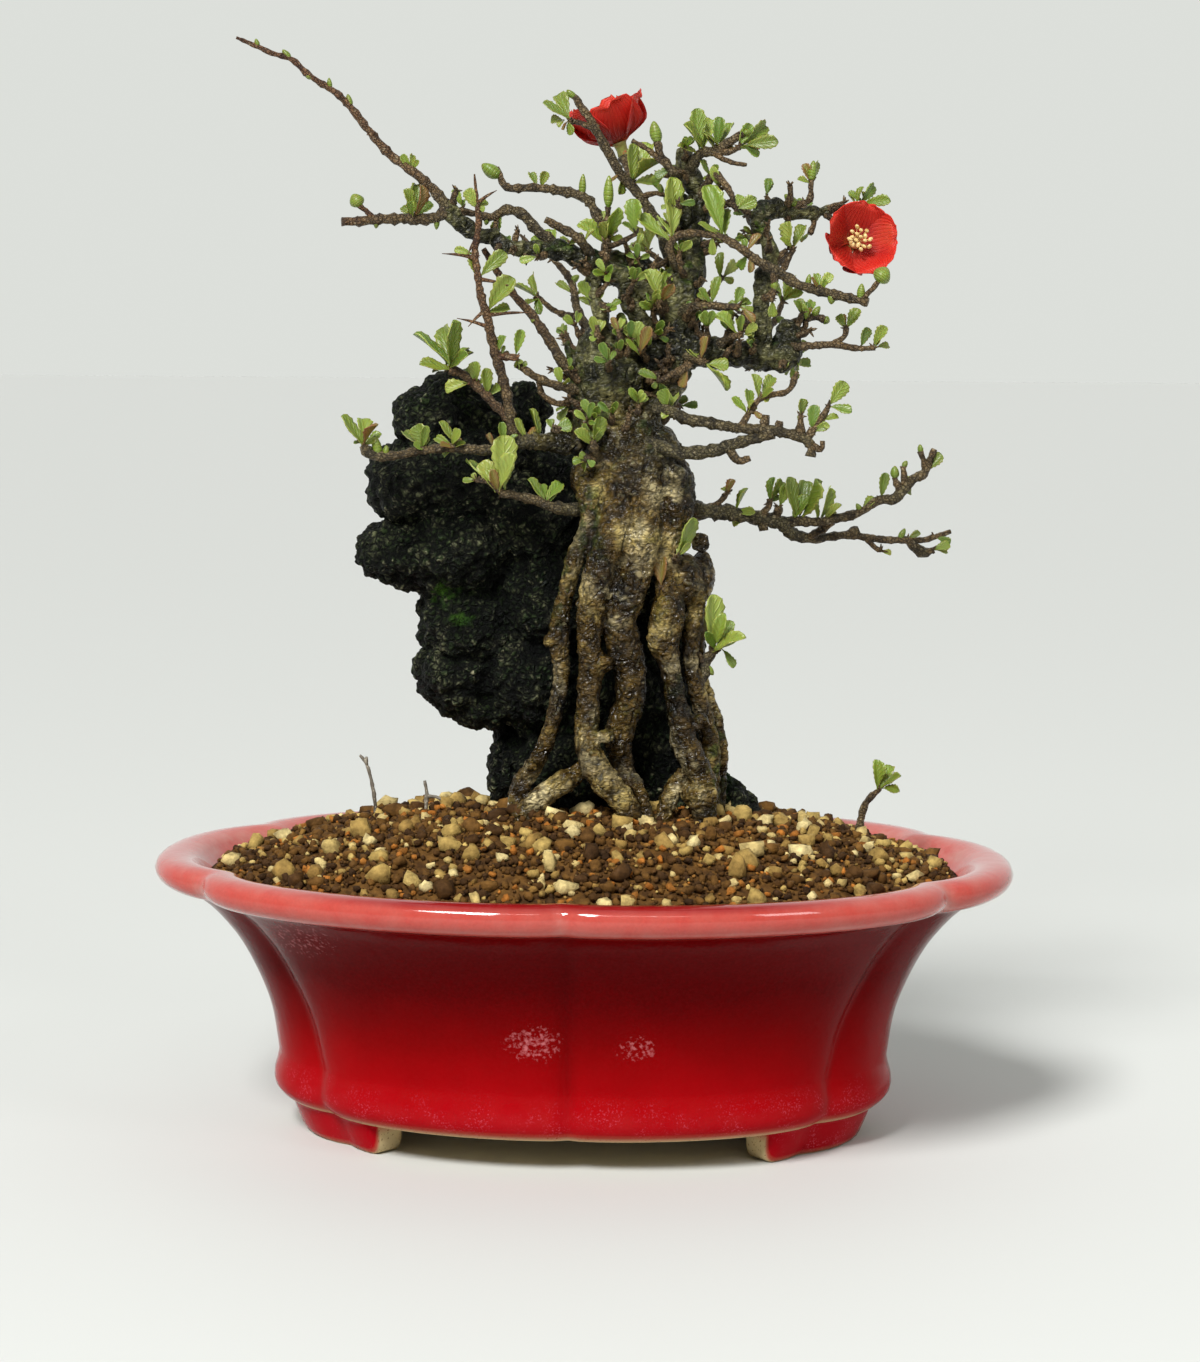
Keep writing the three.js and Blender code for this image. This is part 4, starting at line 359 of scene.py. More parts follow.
LEFT_LOW = Branch(
    stems=[
        [[-12, 186.8, 12, 3.8], [-17, 186.4, 14, 3.6], [-20, 185.6, 15, 3.2], [-25, 184.4, 16, 2.8],
         [-30, 184.4, 17, 2.4], [-35, 184.8, 17, 2.3], [-40, 184.5, 18, 2.2], [-45, 183.8, 19, 2.2],
         [-50, 182.8, 20, 2.2], [-54, 182.4, 20, 2.6], [-57.4, 183.4, 20, 3], [-59, 185.4, 20, 2]],
    ],
    tufts=[
        [[-58.6, 185, 20], [-63.4, 193.4, 4.6], [-58.4, 193.2, 4], [-56.4, 191.2, 2.4], [-61.4, 186, 1.8]],
        [[-42.6, 184.4, 18.6], [-45, 190.6, 4.6], [-48, 189.6, 2], [-42.2, 190, 2]],
        [[-35, 184.8, 17.6], [-37.4, 192, 3.4], [-39.6, 187.6, 2.6], [-34, 189.6, 3], [-33, 187.4, 1.6]],
        [[-23.6, 184.6, 16.4], [-26, 188.2, 3]],
        [[-16, 187.4, 14], [-17.6, 192.6, 3.2], [-12.6, 190.4, 2.4]],
        [[-11.6, 187.6, 12], [-14.2, 195.2, 3]],
        [[-21.6, 185.4, 15], [-22.2, 191.6, 2]],
    ],
    buds=[[-54.6, 183, 20, -55.8, 188, 2.6], [-53, 182.8, 20, -52.6, 185.4, 1.8]],
)

LEFT_UNDER = Branch(
    stems=[
        [[2, 169, 8, 4], [-4, 168.6, 12, 3.2], [-9, 169.4, 15, 2.6], [-13, 171, 16, 2.4],
         [-18, 172.2, 17, 2.3], [-22.6, 172.8, 18, 2.2]],
        [[-22, 172.8, 18, 1.5], [-26, 175.8, 18, 1.2], [-29, 176.2, 18, 1.1]],
    ],
    tufts=[
        [[-22.4, 173, 18.6], [-21.4, 187.6, 7], [-30.4, 182.6, 2.8], [-19.6, 183, 4], [-26.6, 179.4, 2.2]],
        [[-28.6, 176.2, 18], [-32.4, 176.4, 2.2]],
        [[-10.4, 170, 15.4], [-14.6, 176.8, 2], [-6.6, 176.2, 2.6]],
    ],
)

TRUNK_TUFTS = Branch(
    stems=[
        [[3, 181, 10, 3], [2.4, 184.4, 15, 2.4], [2, 187, 16, 2]],
        [[4, 182, 12, 2.2], [0.4, 182, 16.4, 1.8]],
        [[-2, 189, 8, 2.6], [-8.8, 189.8, 10.6, 2]],
    ],
    tufts=[
        [[2, 186.4, 16], [4.4, 193, 4.6], [0.2, 192, 3.2], [3.4, 190, 2.6], [-1, 190.4, 2]],
        [[1, 182, 16], [-3, 181.6, 3.2], [-0.6, 179.2, 2.8], [2.4, 180.4, 2]],
        [[-8.4, 189.8, 10.6], [-4, 191.6, 4.2], [-9.4, 192.6, 2.4]],
    ],
)

UPPER_LEFT = Branch(
    stems=[
        [[-6, 236.6, 4, 3], [-9, 239.2, 3, 2.8], [-13, 242.2, 2, 2.6], [-16.5, 246.1, 1, 2.6],
         [-20.9, 247.4, 0, 2.4], [-24.8, 245.4, 0, 2], [-30, 246.5, 0, 1.7], [-33.8, 247.1, 0, 1.4]],
        [[4.6, 233, 2, 3], [5.4, 240, 0, 2.2], [3.1, 245.2, -2, 2.4], [0.5, 250, -4, 2.5],
         [-4.7, 252.1, -6, 2.4], [-13, 253.2, -8, 2.2], [-20.9, 253.4, -10, 1.9], [-23.5, 258.4, -11, 1.4]],
        [[5.4, 240, 0, 2], [5.8, 248.3, 2, 1.4]],
        [[1.4, 235.7, 5, 2.6], [-0.8, 238.8, 8, 2.4], [-3.4, 241, 9, 2.2], [-10.8, 244.9, 10, 1.8]],
        [[5.2, 238, 1, 1.6], [9, 239, 4, 1.5], [13.2, 241.4, 5, 1.3]],
    ],
    tufts=[
        [[5.2, 239.6, 2], [-1, 244.5, 2.8], [4.3, 247.5, 2.6], [8.4, 247, 3]],
        [[13.2, 241, 5.2], [12.3, 250.2, 4.8], [9.6, 244.6, 2.6]],
        [[-0.8, 238.8, 9], [1.8, 242.6, 2.2], [-4.6, 239, 1.8]],
        [[-22, 246.8, 0.6], [-24.4, 241.6, 2.8]],
        [[-12.4, 253.2, -8], [-10.6, 257.4, 2.6], [-14.6, 257.2, 2.4]],
    ],
    buds=[
        [5.8, 248, 2, 6, 256.4, 2.7], [-23.2, 255.8, -10.6, -27.4, 259.2, 3.8],
        [-1, 251.4, -4.6, -0.8, 256.8, 2], [-26, 245.6, 0, -26.4, 243.4, 1.6],
    ],
)

APEX_LEFT = Branch(
    stems=[
        [[23.4, 228, -2, 4.4], [23, 232, -3.4, 3.2], [20.9, 238, -4, 3], [18.7, 244, -5, 2.8],
         [14, 251.4, -5.4, 2.6], [9.2, 256.7, -5.6, 2.5], [5.3, 263.2, -5.6, 2.3], [2.2, 268.9, -5.6, 2.2],
         [-2.1, 275.4, -7, 2], [-3.4, 277, -7, 1.5]],
        [[12, 254, -5.6, 2.2], [11.4, 256.4, -9.6, 1.9], [10.4, 259.2, -14, 1.9], [9.9, 261, -16.2, 3.2]],
        [[2.4, 268.6, -5.6, 1.5], [-1.4, 270, -6, 1.4], [-4.7, 270.6, -6, 1.3]],
        [[14.4, 251, -6, 1.5], [18.6, 252, -3, 1.3], [21.2, 251.2, -2, 1.2]],
    ],
    tufts=[
        [[-4.6, 270.6, -6], [-10.8, 275.9, 3], [-7.6, 278, 3.2], [-4, 267.4, 2.6], [-9.4, 271, 2.4]],
        [[12.6, 256, -5.6], [12.6, 264.6, 3], [16.6, 265, 3], [18.2, 261.6, 2.6]],
        [[8.8, 256.8, -7], [9.4, 251.6, 2]],
        [[19.6, 241.6, -4.6], [15.4, 245.4, 2.6], [23.4, 246, 2.6]],
    ],
    buds=[[-3, 276.4, -7, -5.2, 278.6, 1.8], [20, 252, -2.6, 19.4, 254.4, 1.6]],
)

APEX_RIGHT = Branch(
    stems=[
        [[26.8, 256.5, 0, 4], [28.4, 260.4, 4, 2.8], [30.4, 262.6, 5, 2.5], [33.3, 262.9, 6, 2.4],
         [36, 264.3, 7, 2.3], [38.8, 266.3, 8, 2.1], [41.3, 267.7, 9, 1.8]],
        [[34.4, 263.4, 6, 1.8], [37.3, 262.7, 8, 1.7], [40.2, 264, 9, 1.4]],
        [[26.6, 256.2, 1, 3], [23, 257.6, 5, 2.4], [19.8, 261.3, 6, 2], [18.5, 265.4, 6, 1.9]],
        [[21.6, 258.8, 5.4, 1.6], [15.6, 263.6, 7, 1.3], [12, 265.6, 8, 1]],
        [[29.8, 250, 1, 3], [33, 256.6, 4, 1.8], [35.2, 255.9, 6, 1.8], [38.1, 251.9, 8, 1.6],
         [38.6, 249.5, 8, 1.5], [39.7, 247.4, 8, 1.2]],
        [[33, 262.9, 6, 1.6], [35.7, 261.1, 8, 1.4], [38.9, 259.9, 9, 1.1], [42.1, 259.5, 10, 0.8]],
    ],
    tufts=[
        [[30.2, 262.6, 5.6], [29.2, 273.6, 3.4], [32.6, 271.6, 3.2], [26.4, 270, 2.8]],
        [[34.4, 263.6, 6.8], [35, 271.6, 3.2], [38, 270.4, 2.8], [31.6, 267.6, 2.2]],
        [[40.2, 264, 9.2], [43, 270, 3.2], [47.2, 269.8, 3], [49.2, 266, 2.4]],
        [[21.8, 258.6, 5.4], [18.2, 256.4, 2.6], [17.6, 253.6, 2.4]],
        [[32.6, 256.4, 4], [30.2, 260.6, 2.4], [31.6, 253.4, 2.2]],
        [[39.4, 247.8, 8], [44.4, 250.4, 3.8]],
    ],
    buds=[[18.5, 264.8, 6, 17.6, 270.6, 3.2], [41, 267.6, 9, 43.2, 268.2, 2]],
)

CROSSING = Branch(
    stems=[
        [[24.6, 232, 3, 3], [22, 237.4, 6, 2], [24.4, 241, 6.4, 1.8], [30.3, 241.5, 6.8, 1.8],
         [36.3, 240.3, 7, 1.9], [41.5, 237.2, 7.4, 2], [46, 233.9, 7.4, 2.2], [50.6, 231.6, 8, 2.5],
         [55.5, 228.6, 9, 2.4], [60.8, 226.9, 11, 2.4], [66.1, 225.6, 13, 2.3], [71.4, 224.4, 15, 2.2],
         [74.5, 223.7, 16, 2]],
        [[72.4, 224.6, 15.4, 1.4], [75.6, 227.2, 16, 1.2], [77.4, 229.6, 16, 1.2]],
        [[49.4, 232, 7.8, 1.8], [49.6, 227.6, 9, 1.5], [49, 223.6, 9, 1.2]],
    ],
    tufts=[
        [[22.6, 239.6, 6.2], [23.9, 255.4, 3.6], [19.8, 246.6, 2.6]],
        [[36.4, 240.6, 7.2], [32.6, 254, 2.2], [36, 248.7, 2.4]],
        [[43, 236.6, 7.6], [45.6, 241.6, 2.6], [40.2, 232.4, 2.6], [43.6, 232, 2.2]],
        [[49.2, 224.6, 9], [49.2, 219.8, 2.8]],
        [[62, 226.8, 11.4], [64.6, 231.2, 2.6], [60.6, 231.2, 2]],
        [[33.2, 240.8, 7], [33.2, 236, 2.4]],
    ],
    buds=[
        [77, 229, 16, 79.4, 232.8, 4.8], [72.4, 224.4, 15.4, 72.8, 228.6, 2.2],
        [49.6, 229, 9, 50, 226.6, 2.2], [58.6, 228, 10, 59, 231, 1.6],
        [64.8, 225.4, 12.4, 64.8, 223.2, 2.2],
    ],
)

RIGHT_HIGH = Branch(
    stems=[
        [[54.4, 247.4, -8, 2.2], [56.2, 249.4, -7.6, 1.6], [58.8, 250.6, -7, 1.6], [59.1, 255.6, -7, 1.3]],
        [[62.4, 247.6, -11.6, 2], [64.6, 245.4, -11.6, 1.6], [68, 242.8, -12, 1.8], [70.6, 241.2, -12, 3]],
        [[63.4, 248, -12, 1.8], [68, 248.6, -12, 1.5], [72.4, 249.4, -13, 1.3]],
        [[59.6, 247, -10.4, 1.4], [60, 244.2, -9.6, 1.3], [58.8, 241.4, -9, 1.3]],
    ],
    tufts=[
        [[72, 249.4, -13], [72.3, 254, 2.8], [76.2, 254.4, 2.8], [79, 251, 2.6], [69, 252.6, 2]],
        [[59, 255, -7], [57.4, 259.8, 2.4], [61.4, 260.4, 2.4]],
        [[59.2, 242, -9], [56.6, 239.6, 2.2]],
    ],
    buds=[[59, 255.2, -7, 59.7, 260.6, 2.4], [55.6, 248.6, -8, 52.2, 251.8, 2.6]],
)

RIGHT_MIDDLE = Branch(
    stems=[
        [[52.6, 211.4, 1, 4], [55.6, 212, 3.6, 2.2], [61.7, 212.4, 6, 1.9], [66, 212.6, 7.6, 1.8],
         [71.4, 211.7, 9, 1.6], [76.6, 211.8, 10, 1.3]],
        [[65.2, 212.5, 7.4, 1.5], [68.2, 214.6, 8, 1.3], [69, 217.2, 8, 1.2]],
        [[53.4, 216.4, -1, 3], [55, 218.4, -3, 2], [59.9, 219.8, -4, 1.7], [63.3, 219.1, -5, 1.8]],
        [[48.4, 231, 1.6, 2.2], [51.9, 232.4, -1, 1.6], [54.6, 237.6, -2, 1.4]],
    ],
    tufts=[
        [[69, 216.8, 8], [71.6, 222, 3.4], [67.4, 220.6, 2]],
        [[72.6, 211.8, 9.2], [74.6, 217, 2.8]],
        [[76.2, 211.8, 10], [79.2, 217.4, 2.8], [80.4, 213, 2]],
        [[57.8, 219.4, -4], [56.4, 224.6, 2.6], [60, 224, 2.2]],
        [[54.4, 237, -2], [53, 244.6, 3.2], [57.2, 244, 2.8], [51.6, 240.4, 2.4]],
        [[55.2, 212.2, 3.4], [52.2, 206.4, 2.6], [56.4, 205.8, 2.6]],
    ],
    buds=[[59.9, 219.8, -4, 61.8, 222.6, 2], [62.6, 219.2, -5, 64.4, 218.6, 2.4]],
)

CROWN_FRONT = Branch(
    stems=[
        [[24, 221, 3, 4], [30.5, 222.6, 8, 2.2], [36.2, 222.4, 9, 1.9], [40.4, 222.4, 9.6, 1.6]],
        [[34.4, 211.4, 4, 3], [38, 214.4, 8, 2], [41.6, 215, 9.6, 1.5]],
        [[26, 210, 5, 3], [30.6, 208, 8.4, 2], [31.6, 207.4, 9, 1.6]],
        [[22, 202, 6.4, 3.4], [24, 204.4, 11, 1.9], [27.6, 207.2, 11, 1.7], [20, 203, 12, 1.5],
         [18.8, 203, 12.4, 1.3]],
    ],
    tufts=[
        [[40.2, 222.4, 9.6], [41, 227.4, 2.8], [43.4, 224.4, 2.2], [44.4, 219, 2.6]],
        [[41.4, 215, 9.8], [35.2, 220.8, 3], [40.4, 219.6, 2.8], [44.6, 217.6, 2.6], [44.4, 213.4, 1.8]],
        [[31, 207.6, 9], [31.8, 214.4, 3], [27, 211.6, 2.2], [38, 202, 5.4]],
        [[19.6, 203, 12.4], [14.2, 205, 3.4], [21.4, 199.4, 2.4]],
        [[33.6, 222.6, 8.6], [34.6, 230, 2.6], [29.6, 226.6, 2.4]],
        [[27, 206.8, 11], [25.4, 201.2, 2.6]],
    ],
)

CROWN_LEFT = Branch(
    stems=[
        [[4.4, 213, 6.4, 3], [3.4, 213.8, 10, 1.8], [3, 217.4, 11, 1.3]],
        [[14.6, 215, 5, 4], [14.6, 211.4, 10, 2], [14.4, 210.2, 11, 1.7]],
        [[20.6, 223, 3, 3.4], [19.8, 223.4, 7.6, 1.7], [19.4, 224.2, 8.4, 1.4]],
        [[8, 208.4, 8, 3], [9.4, 212.4, 12, 1.6], [8.6, 216.4, 12, 1.3]],
        [[3.2, 222.4, 6, 3], [6.4, 221.6, 9.4, 1.6]],
    ],
    tufts=[
        [[3.2, 214, 10.6], [1.6, 219.4, 2.4], [4.6, 218.6, 2.6], [1.4, 213.4, 2]],
        [[14.4, 210.4, 11], [13.2, 218.2, 4.4], [11, 216.4, 2], [16.8, 216.8, 2]],
        [[19.6, 223.4, 8.4], [17.4, 232, 4.4], [21.8, 231.4, 2.4]],
        [[8.8, 215.4, 12], [7.2, 219.4, 2], [9.8, 219.2, 1.8]],
        [[6, 221.8, 9.4], [8.8, 224, 2.8], [4, 222.2, 2.4]],
        [[2.4, 224.4, 6], [-1.6, 228.6, 2.2]],
    ],
)

BRANCH_ONE = Branch(
    stems=[
        [[18, 195.6, 9, 4], [22, 195, 12, 3.2], [27, 192.8, 13, 2.9], [33, 191.8, 15, 2.9],
         [37, 191, 16, 2.7], [42, 190.3, 17, 2.6], [47, 190.2, 18, 2.6], [51, 189.6, 19, 2.8],
         [55, 188.8, 20, 2.6], [58.4, 187.6, 21, 2.9], [60, 185.4, 21, 2.2], [59.8, 183, 21, 2.6]],
        [[11, 186, 8, 4.4], [15, 186.6, 11, 3.8], [19, 185.8, 13, 3.5], [24, 184, 14, 3.4],
         [30, 183.9, 15, 3.4], [36, 185, 16, 3.3], [42, 187, 17, 3], [46, 187.9, 18, 2.8],
         [50, 189, 19, 2.4]],
        [[37.6, 185, 16.4, 2.4], [40.8, 181.9, 17, 2], [43.8, 182.6, 17, 1.6]],
        [[57.4, 188.4, 21, 2.2], [57, 191.4, 21, 1.8], [57.2, 194, 21, 1.4]],
        [[59, 188, 21, 2], [62.5, 193, 21, 1.7], [64.7, 196.8, 21, 1.3]],
        [[59.6, 186.6, 21, 1.8], [62.6, 184.8, 22, 1.4], [63, 187.2, 22, 1]],
        [[47.4, 190.6, 18, 2.2], [47.8, 194, 18, 2]],
        [[51, 190, 19, 2.2], [51.6, 192.4, 19, 1.6]],
        [[41, 190.6, 17, 1.8], [44, 195.4, 17, 1.6], [47, 198.6, 17, 1.6], [53.4, 200.2, 18, 1.5],
         [55.4, 203.6, 18, 1.4], [56, 205.4, 18, 1]],
    ],
    tufts=[
        [[57.2, 193.6, 21], [57.6, 198.2, 3.4], [56.2, 193, 1.8]],
        [[64.4, 196.2, 21], [68.8, 202.4, 4.2]],
        [[59.8, 189.6, 21], [60.6, 196.4, 3.2]],
        [[62.4, 193, 21], [66.8, 194, 2.2], [64, 190.4, 1.6]],
        [[22.6, 195, 12.4], [20.8, 200.6, 3.6], [23.6, 200.4, 3], [20.4, 193.6, 2.4], [24.4, 192.8, 2.2]],
        [[43.4, 194.8, 17], [39.6, 198.8, 3], [43.4, 200.8, 2.8], [46.6, 193.6, 1.8]],
        [[46.6, 198.2, 17], [45.4, 204.6, 2.6], [49.6, 204.4, 2.4], [48.4, 197.6, 1.8]],
    ],
)

LONG_RIGHT = Branch(
    companions=0.1,
    stems=[
        [[28, 168.5, 0, 5], [33, 168.3, -1, 4.4], [38, 168, -2, 3.9], [42, 167.4, -3, 3.6],
         [46, 166.7, -4, 3.6], [50, 166.1, -5, 3.9], [53, 165, -6, 4.2], [55, 162.6, -7, 3.2],
         [60, 161.2, -9, 2.6], [65, 161.7, -11, 2.4], [70, 162.2, -12, 2.2], [75, 161.6, -13, 2],
         [80, 161, -14, 1.9], [85, 160.9, -15, 1.9], [90, 161, -16, 1.6], [93, 161.8, -17, 1.4],
         [97.3, 163.3, -18, 1.2]],
        [[53, 165.4, -6, 3.2], [57, 165.8, -5, 2.6], [62, 165.6, -4, 2.4], [66, 166.4, -3, 2.4],
         [70, 167.2, -2, 2.3], [74, 168.8, -1, 2.2], [78, 171.4, 0, 2.3], [82, 171.8, 1, 2.8],
         [84, 173.6, 1, 3], [87, 177, 2, 2.4], [90, 178.8, 3, 2.3], [91.4, 182, 3, 2],
         [92.7, 185.2, 3, 1.5]],
        [[59, 161.6, -9, 2], [62, 163, -7, 2], [66, 165.6, -4, 1.8]],
        [[33, 169, -1, 2], [36.4, 171.4, 0, 1.5], [38, 173.6, 0, 1.2]],
        [[47, 167.4, -4, 2.4], [49, 170, -3, 1.6], [49.2, 171.8, -3, 1.4]],
        [[47.2, 166.4, -4, 2.6], [47.6, 163.2, -4, 2.4]],
        [[51, 166.6, -5, 2.4], [51.6, 169.6, -4, 2]],
        [[86, 160.8, -15, 2], [88, 159, -15, 2.6], [90.2, 157.6, -16, 2.8], [93, 158.4, -16, 1.4]],
        [[74.6, 161.2, -13, 1.6], [77.4, 158.8, -12, 1.3], [79, 158, -12, 1]],
        [[83, 174, 1, 2.2], [82.2, 177.6, 2, 1.4]],
        [[84.6, 175.4, 1.4, 2], [84.4, 180.6, 2, 1.6]],
        [[90, 180.2, 3, 1.6], [88.9, 184.6, 4, 1.4]],
        [[69.6, 162.6, -12, 2], [73, 163.6, -12, 2.4]],
    ],
    tufts=[
        [[37.8, 173, 0], [39, 176.8, 3.2], [36.6, 174.8, 1.8]],
        [[40, 168.4, -2.4], [42.2, 174.6, 3]],
        [[43.4, 166.2, -3], [39.4, 165, 1.8]],
        [[49, 171, -3], [49.6, 177.2, 3.4], [52.6, 176.4, 2.8]],
        [[51.8, 169.4, -4], [53.6, 174.8, 3.4]],
        [[55, 165, -5], [58.4, 172.6, 4.4]],
        [[56.6, 168.6, -5], [55.2, 177, 3.4], [58.8, 176.6, 3.2], [62.2, 176.4, 2.8]],
        [[63, 165.6, -4], [62, 171.8, 3.4], [65.4, 174.8, 3.8], [67, 170.4, 2.6], [67, 168, 1.4]],
        [[74, 168, -1], [76.6, 172.4, 4.2]],
        [[78.6, 171.8, 0], [79.8, 178.6, 2.2]],
        [[84, 174, 1.4], [86.6, 177.6, 2.6], [87, 173.8, 2]],
        [[90.6, 178.8, 3], [94.4, 183.8, 3.2]],
        [[92.6, 158.4, -16], [97, 160.2, 2.6], [96.6, 158.2, 2.2]],
        [[78.8, 158, -12], [81.6, 157.4, 2.4]],
        [[85.8, 161.2, -15], [89, 163.2, 1.8]],
        [[93, 161.6, -17], [97.4, 160.6, 2]],
    ],
    buds=[
        [82.2, 177.2, 2, 82.2, 180.6, 2.4], [83.6, 161.6, -15, 85.2, 164, 1.8],
        [88.9, 184, 4, 88.8, 186.4, 1.6], [84.4, 180.2, 2, 85.4, 182, 1.6],
        [73.4, 168.6, -1, 72.2, 170.6, 1.6],
    ],
)

ROOT_TUFT = Branch(
    stems=[
        [[30, 121.6, 5, 3], [32, 125, 4.4, 3.2], [32.6, 128, 4, 3], [34.4, 131, 4.6, 2.2],
         [34, 132.6, 4.8, 1.6]],
        [[34, 130.6, 4.6, 1.6], [36.4, 131.6, 5, 1.1]],
        [[33.4, 127, 3.6, 2], [30.6, 130.4, 5, 1.2]],
    ],
    tufts=[
        [[34, 131, 4.8], [35.6, 145, 6.4], [31.2, 142.6, 3.2], [36.4, 139.6, 2.4]],
        [[36, 131.4, 5], [38.8, 139, 2.2], [42.6, 135.4, 1.8], [40.4, 127.4, 2.2]],
    ],
    buds=[[32.4, 127, 4.2, 34.6, 124.6, 2.2]],
)

BURL_TUFT = Branch(
    stems=[[[22, 153, 6, 3], [24.6, 156, 12.4, 1.8]], [[20, 150, 8, 3], [20.6, 147.8, 13.4, 1.6]]],
    tufts=[
        [[24.6, 156, 12.4], [29.6, 165.8, 5.6], [25.4, 165.6, 3]],
        [[20.8, 147.8, 13.4], [20, 155.8, 4.4]],
    ],
)

BACK_CENTRE = Branch(
    stems=[
        [[24, 214, -3, 5], [24.5, 219, -12, 3], [26, 226, -22, 2.4], [25, 233, -30, 2], [27, 240, -36, 1.5]],
        [[25, 221, -15, 2], [31, 224, -22, 1.6], [36, 230, -27, 1.3]],
        [[25.6, 229, -25, 1.8], [20, 234, -28, 1.5], [16, 237, -30, 1.2]],
    ],
    tufts=[
        [[27, 239.6, -36], [24.4, 247, 3.4], [29, 247.4, 3.4], [32, 243, 2.8]],
        [[35.6, 229.6, -27], [35.4, 236.6, 3], [40, 234.6, 2.8], [38.6, 229, 2.4]],
        [[16.4, 236.8, -30], [13, 243.4, 3.2], [18, 243.6, 3], [11.6, 237.6, 2.6]],
        [[25.4, 223.4, -19], [21.4, 228.4, 2.8], [29, 229, 2.6]],
    ],
    buds=[[26, 236.4, -33, 28.4, 238.4, 2]],
)

BACK_RIGHT = Branch(
    stems=[
        [[40, 210, 0, 4.4], [42, 212, -10, 2.6], [46, 214, -20, 2.2], [50, 219, -29, 1.8],
         [52, 224, -35, 1.4]],
        [[44, 213, -15, 1.8], [49, 210, -22, 1.5], [54, 208, -28, 1.2]],
    ],
    tufts=[
        [[52, 223.6, -35], [49.4, 230.6, 3.2], [54.4, 231, 3.2], [57, 226.4, 2.6]],
        [[53.8, 208, -28], [58.6, 213, 3], [59.6, 207.6, 2.8], [55.6, 203.4, 2.6]],
        [[47, 215.2, -22.6], [42.8, 220.4, 2.8], [45.6, 221.8, 2.4]],
    ],
    buds=[[49.8, 218.6, -29, 52.4, 219.4, 2]],
)

BACK_LEFT = Branch(
    stems=[
        [[4, 208, -4, 5], [2, 214, -13, 2.8], [-2, 221, -22, 2.3], [-4, 229, -29, 1.9], [-9, 235, -34, 1.4]],
        [[-1, 219, -20, 1.8], [-8, 221, -25, 1.5], [-13, 225, -28, 1.2]],
    ],
    tufts=[
        [[-8.8, 234.6, -34], [-13.6, 240.6, 3.2], [-9, 242.4, 3.2], [-5.4, 240, 2.8]],
        [[-12.6, 224.6, -28], [-18.4, 228, 3], [-14.6, 231, 3], [-12, 220.4, 2.6]],
        [[-3, 225, -25.6], [2, 229.8, 2.8], [-7.6, 228.6, 2.6]],
    ],
    buds=[[-4, 228.4, -29, -1.8, 230.4, 2]],
)

BRANCHES = {
    "whip": WHIP,
    "thorny": THORNY,
    "straight_shoot": STRAIGHT_SHOOT,
    "left_inner": LEFT_INNER,
    "left_low": LEFT_LOW,
    "left_under": LEFT_UNDER,
    "trunk_tufts": TRUNK_TUFTS,
    "upper_left": UPPER_LEFT,
    "apex_left": APEX_LEFT,
    "apex_right": APEX_RIGHT,
    "crossing": CROSSING,
    "right_high": RIGHT_HIGH,
    "right_middle": RIGHT_MIDDLE,
    "crown_front": CROWN_FRONT,
    "crown_left": CROWN_LEFT,
    "branch_one": BRANCH_ONE,
    "long_right": LONG_RIGHT,
    "root_tuft": ROOT_TUFT,
    "burl_tuft": BURL_TUFT,
    "back_centre": BACK_CENTRE,
    "back_right": BACK_RIGHT,
    "back_left": BACK_LEFT,
}

SOIL_GROWTH = {
    "soil_sprig": Branch(
        stems=[[[72.6, 74, -8, 2.2], [75, 87.6, -8, 2], [77, 91.6, -8, 1.6], [79.6, 94, -8, 1.2]]],
        tufts=[[[79.4, 93.8, -8], [79.2, 101.4, 3.2], [82.6, 100.4, 3.6], [84.6, 97.8, 2.6]]],
    ),
    "dry_stem_left": Branch(
        stems=[
            [[-55.6, 76, -10, 1], [-55.8, 88, -10, 1], [-57, 96, -10, 0.9], [-58.4, 100.4, -10, 0.8],
             [-60, 102.4, -10, 0.7]],
            [[-58.2, 99.6, -10, 0.8], [-58.2, 102, -10, 0.7]],
        ],
    ),
    "dry_stem_middle": Branch(
        stems=[
            [[-42.4, 76, -6, 1], [-42.2, 89, -6, 1], [-42, 92, -6, 0.9], [-42.6, 95.6, -6, 0.7]],
            [[-42.6, 91.4, -6, 0.8], [-39.6, 91.2, -5, 0.8], [-37, 90.2, -4, 0.7]],
        ],
    ),
}


# Drawing tools


def draws(seed: int) -> random.Random:
    """Gives one seeded source of small irregularities."""
    return random.Random(seed)


def astray(draw: random.Random, reach: float) -> Vector:
    """Draws a small vector, each of its parts up to the reach either way."""
    return Vector([draw.uniform(-reach, reach) for _ in range(3)])


def flowing(points: Sequence[Vector], radii: Sequence[float],
            step: float) -> tuple[list[Vector], list[float]]:
    """Runs a smooth curve through points, with the thickness eased along it.

    Args:
        points: Places that the curve passes.
        radii: Half thickness at each place.
        step: Spacing of the points that come back.

    Returns:
        The points of the curve and the half thickness at each.
    """
    places: list[Vector] = []
    thick: list[float] = []
    for i in range(len(points) - 1):
        start, end = points[i], points[i + 1]
        before = points[i - 1] if i else start * 2 - end
        after = points[i + 2] if i + 2 < len(points) else end * 2 - start
        count = max(1, round((end - start).length / step))
        for k in range(count):
            t = k / count
            place = ((start * 2) + (end - before) * t + (before * 2 - start * 5 + end * 4 - after) * t ** 2
                     + (start * 3 - before - end * 3 + after) * t ** 3) * 0.5
            places.append(place)
            thick.append(radii[i] + (radii[i + 1] - radii[i]) * (t * t * (3 - 2 * t)))
    places.append(points[-1].copy())
    thick.append(radii[-1])
    return places, thick


def loop_of(verts: Iterable[BMVert]) -> list[BMEdge]:
    """Gives the edges round a ring of points."""
    return list(dict.fromkeys(edge for vert in verts for edge in vert.link_edges))


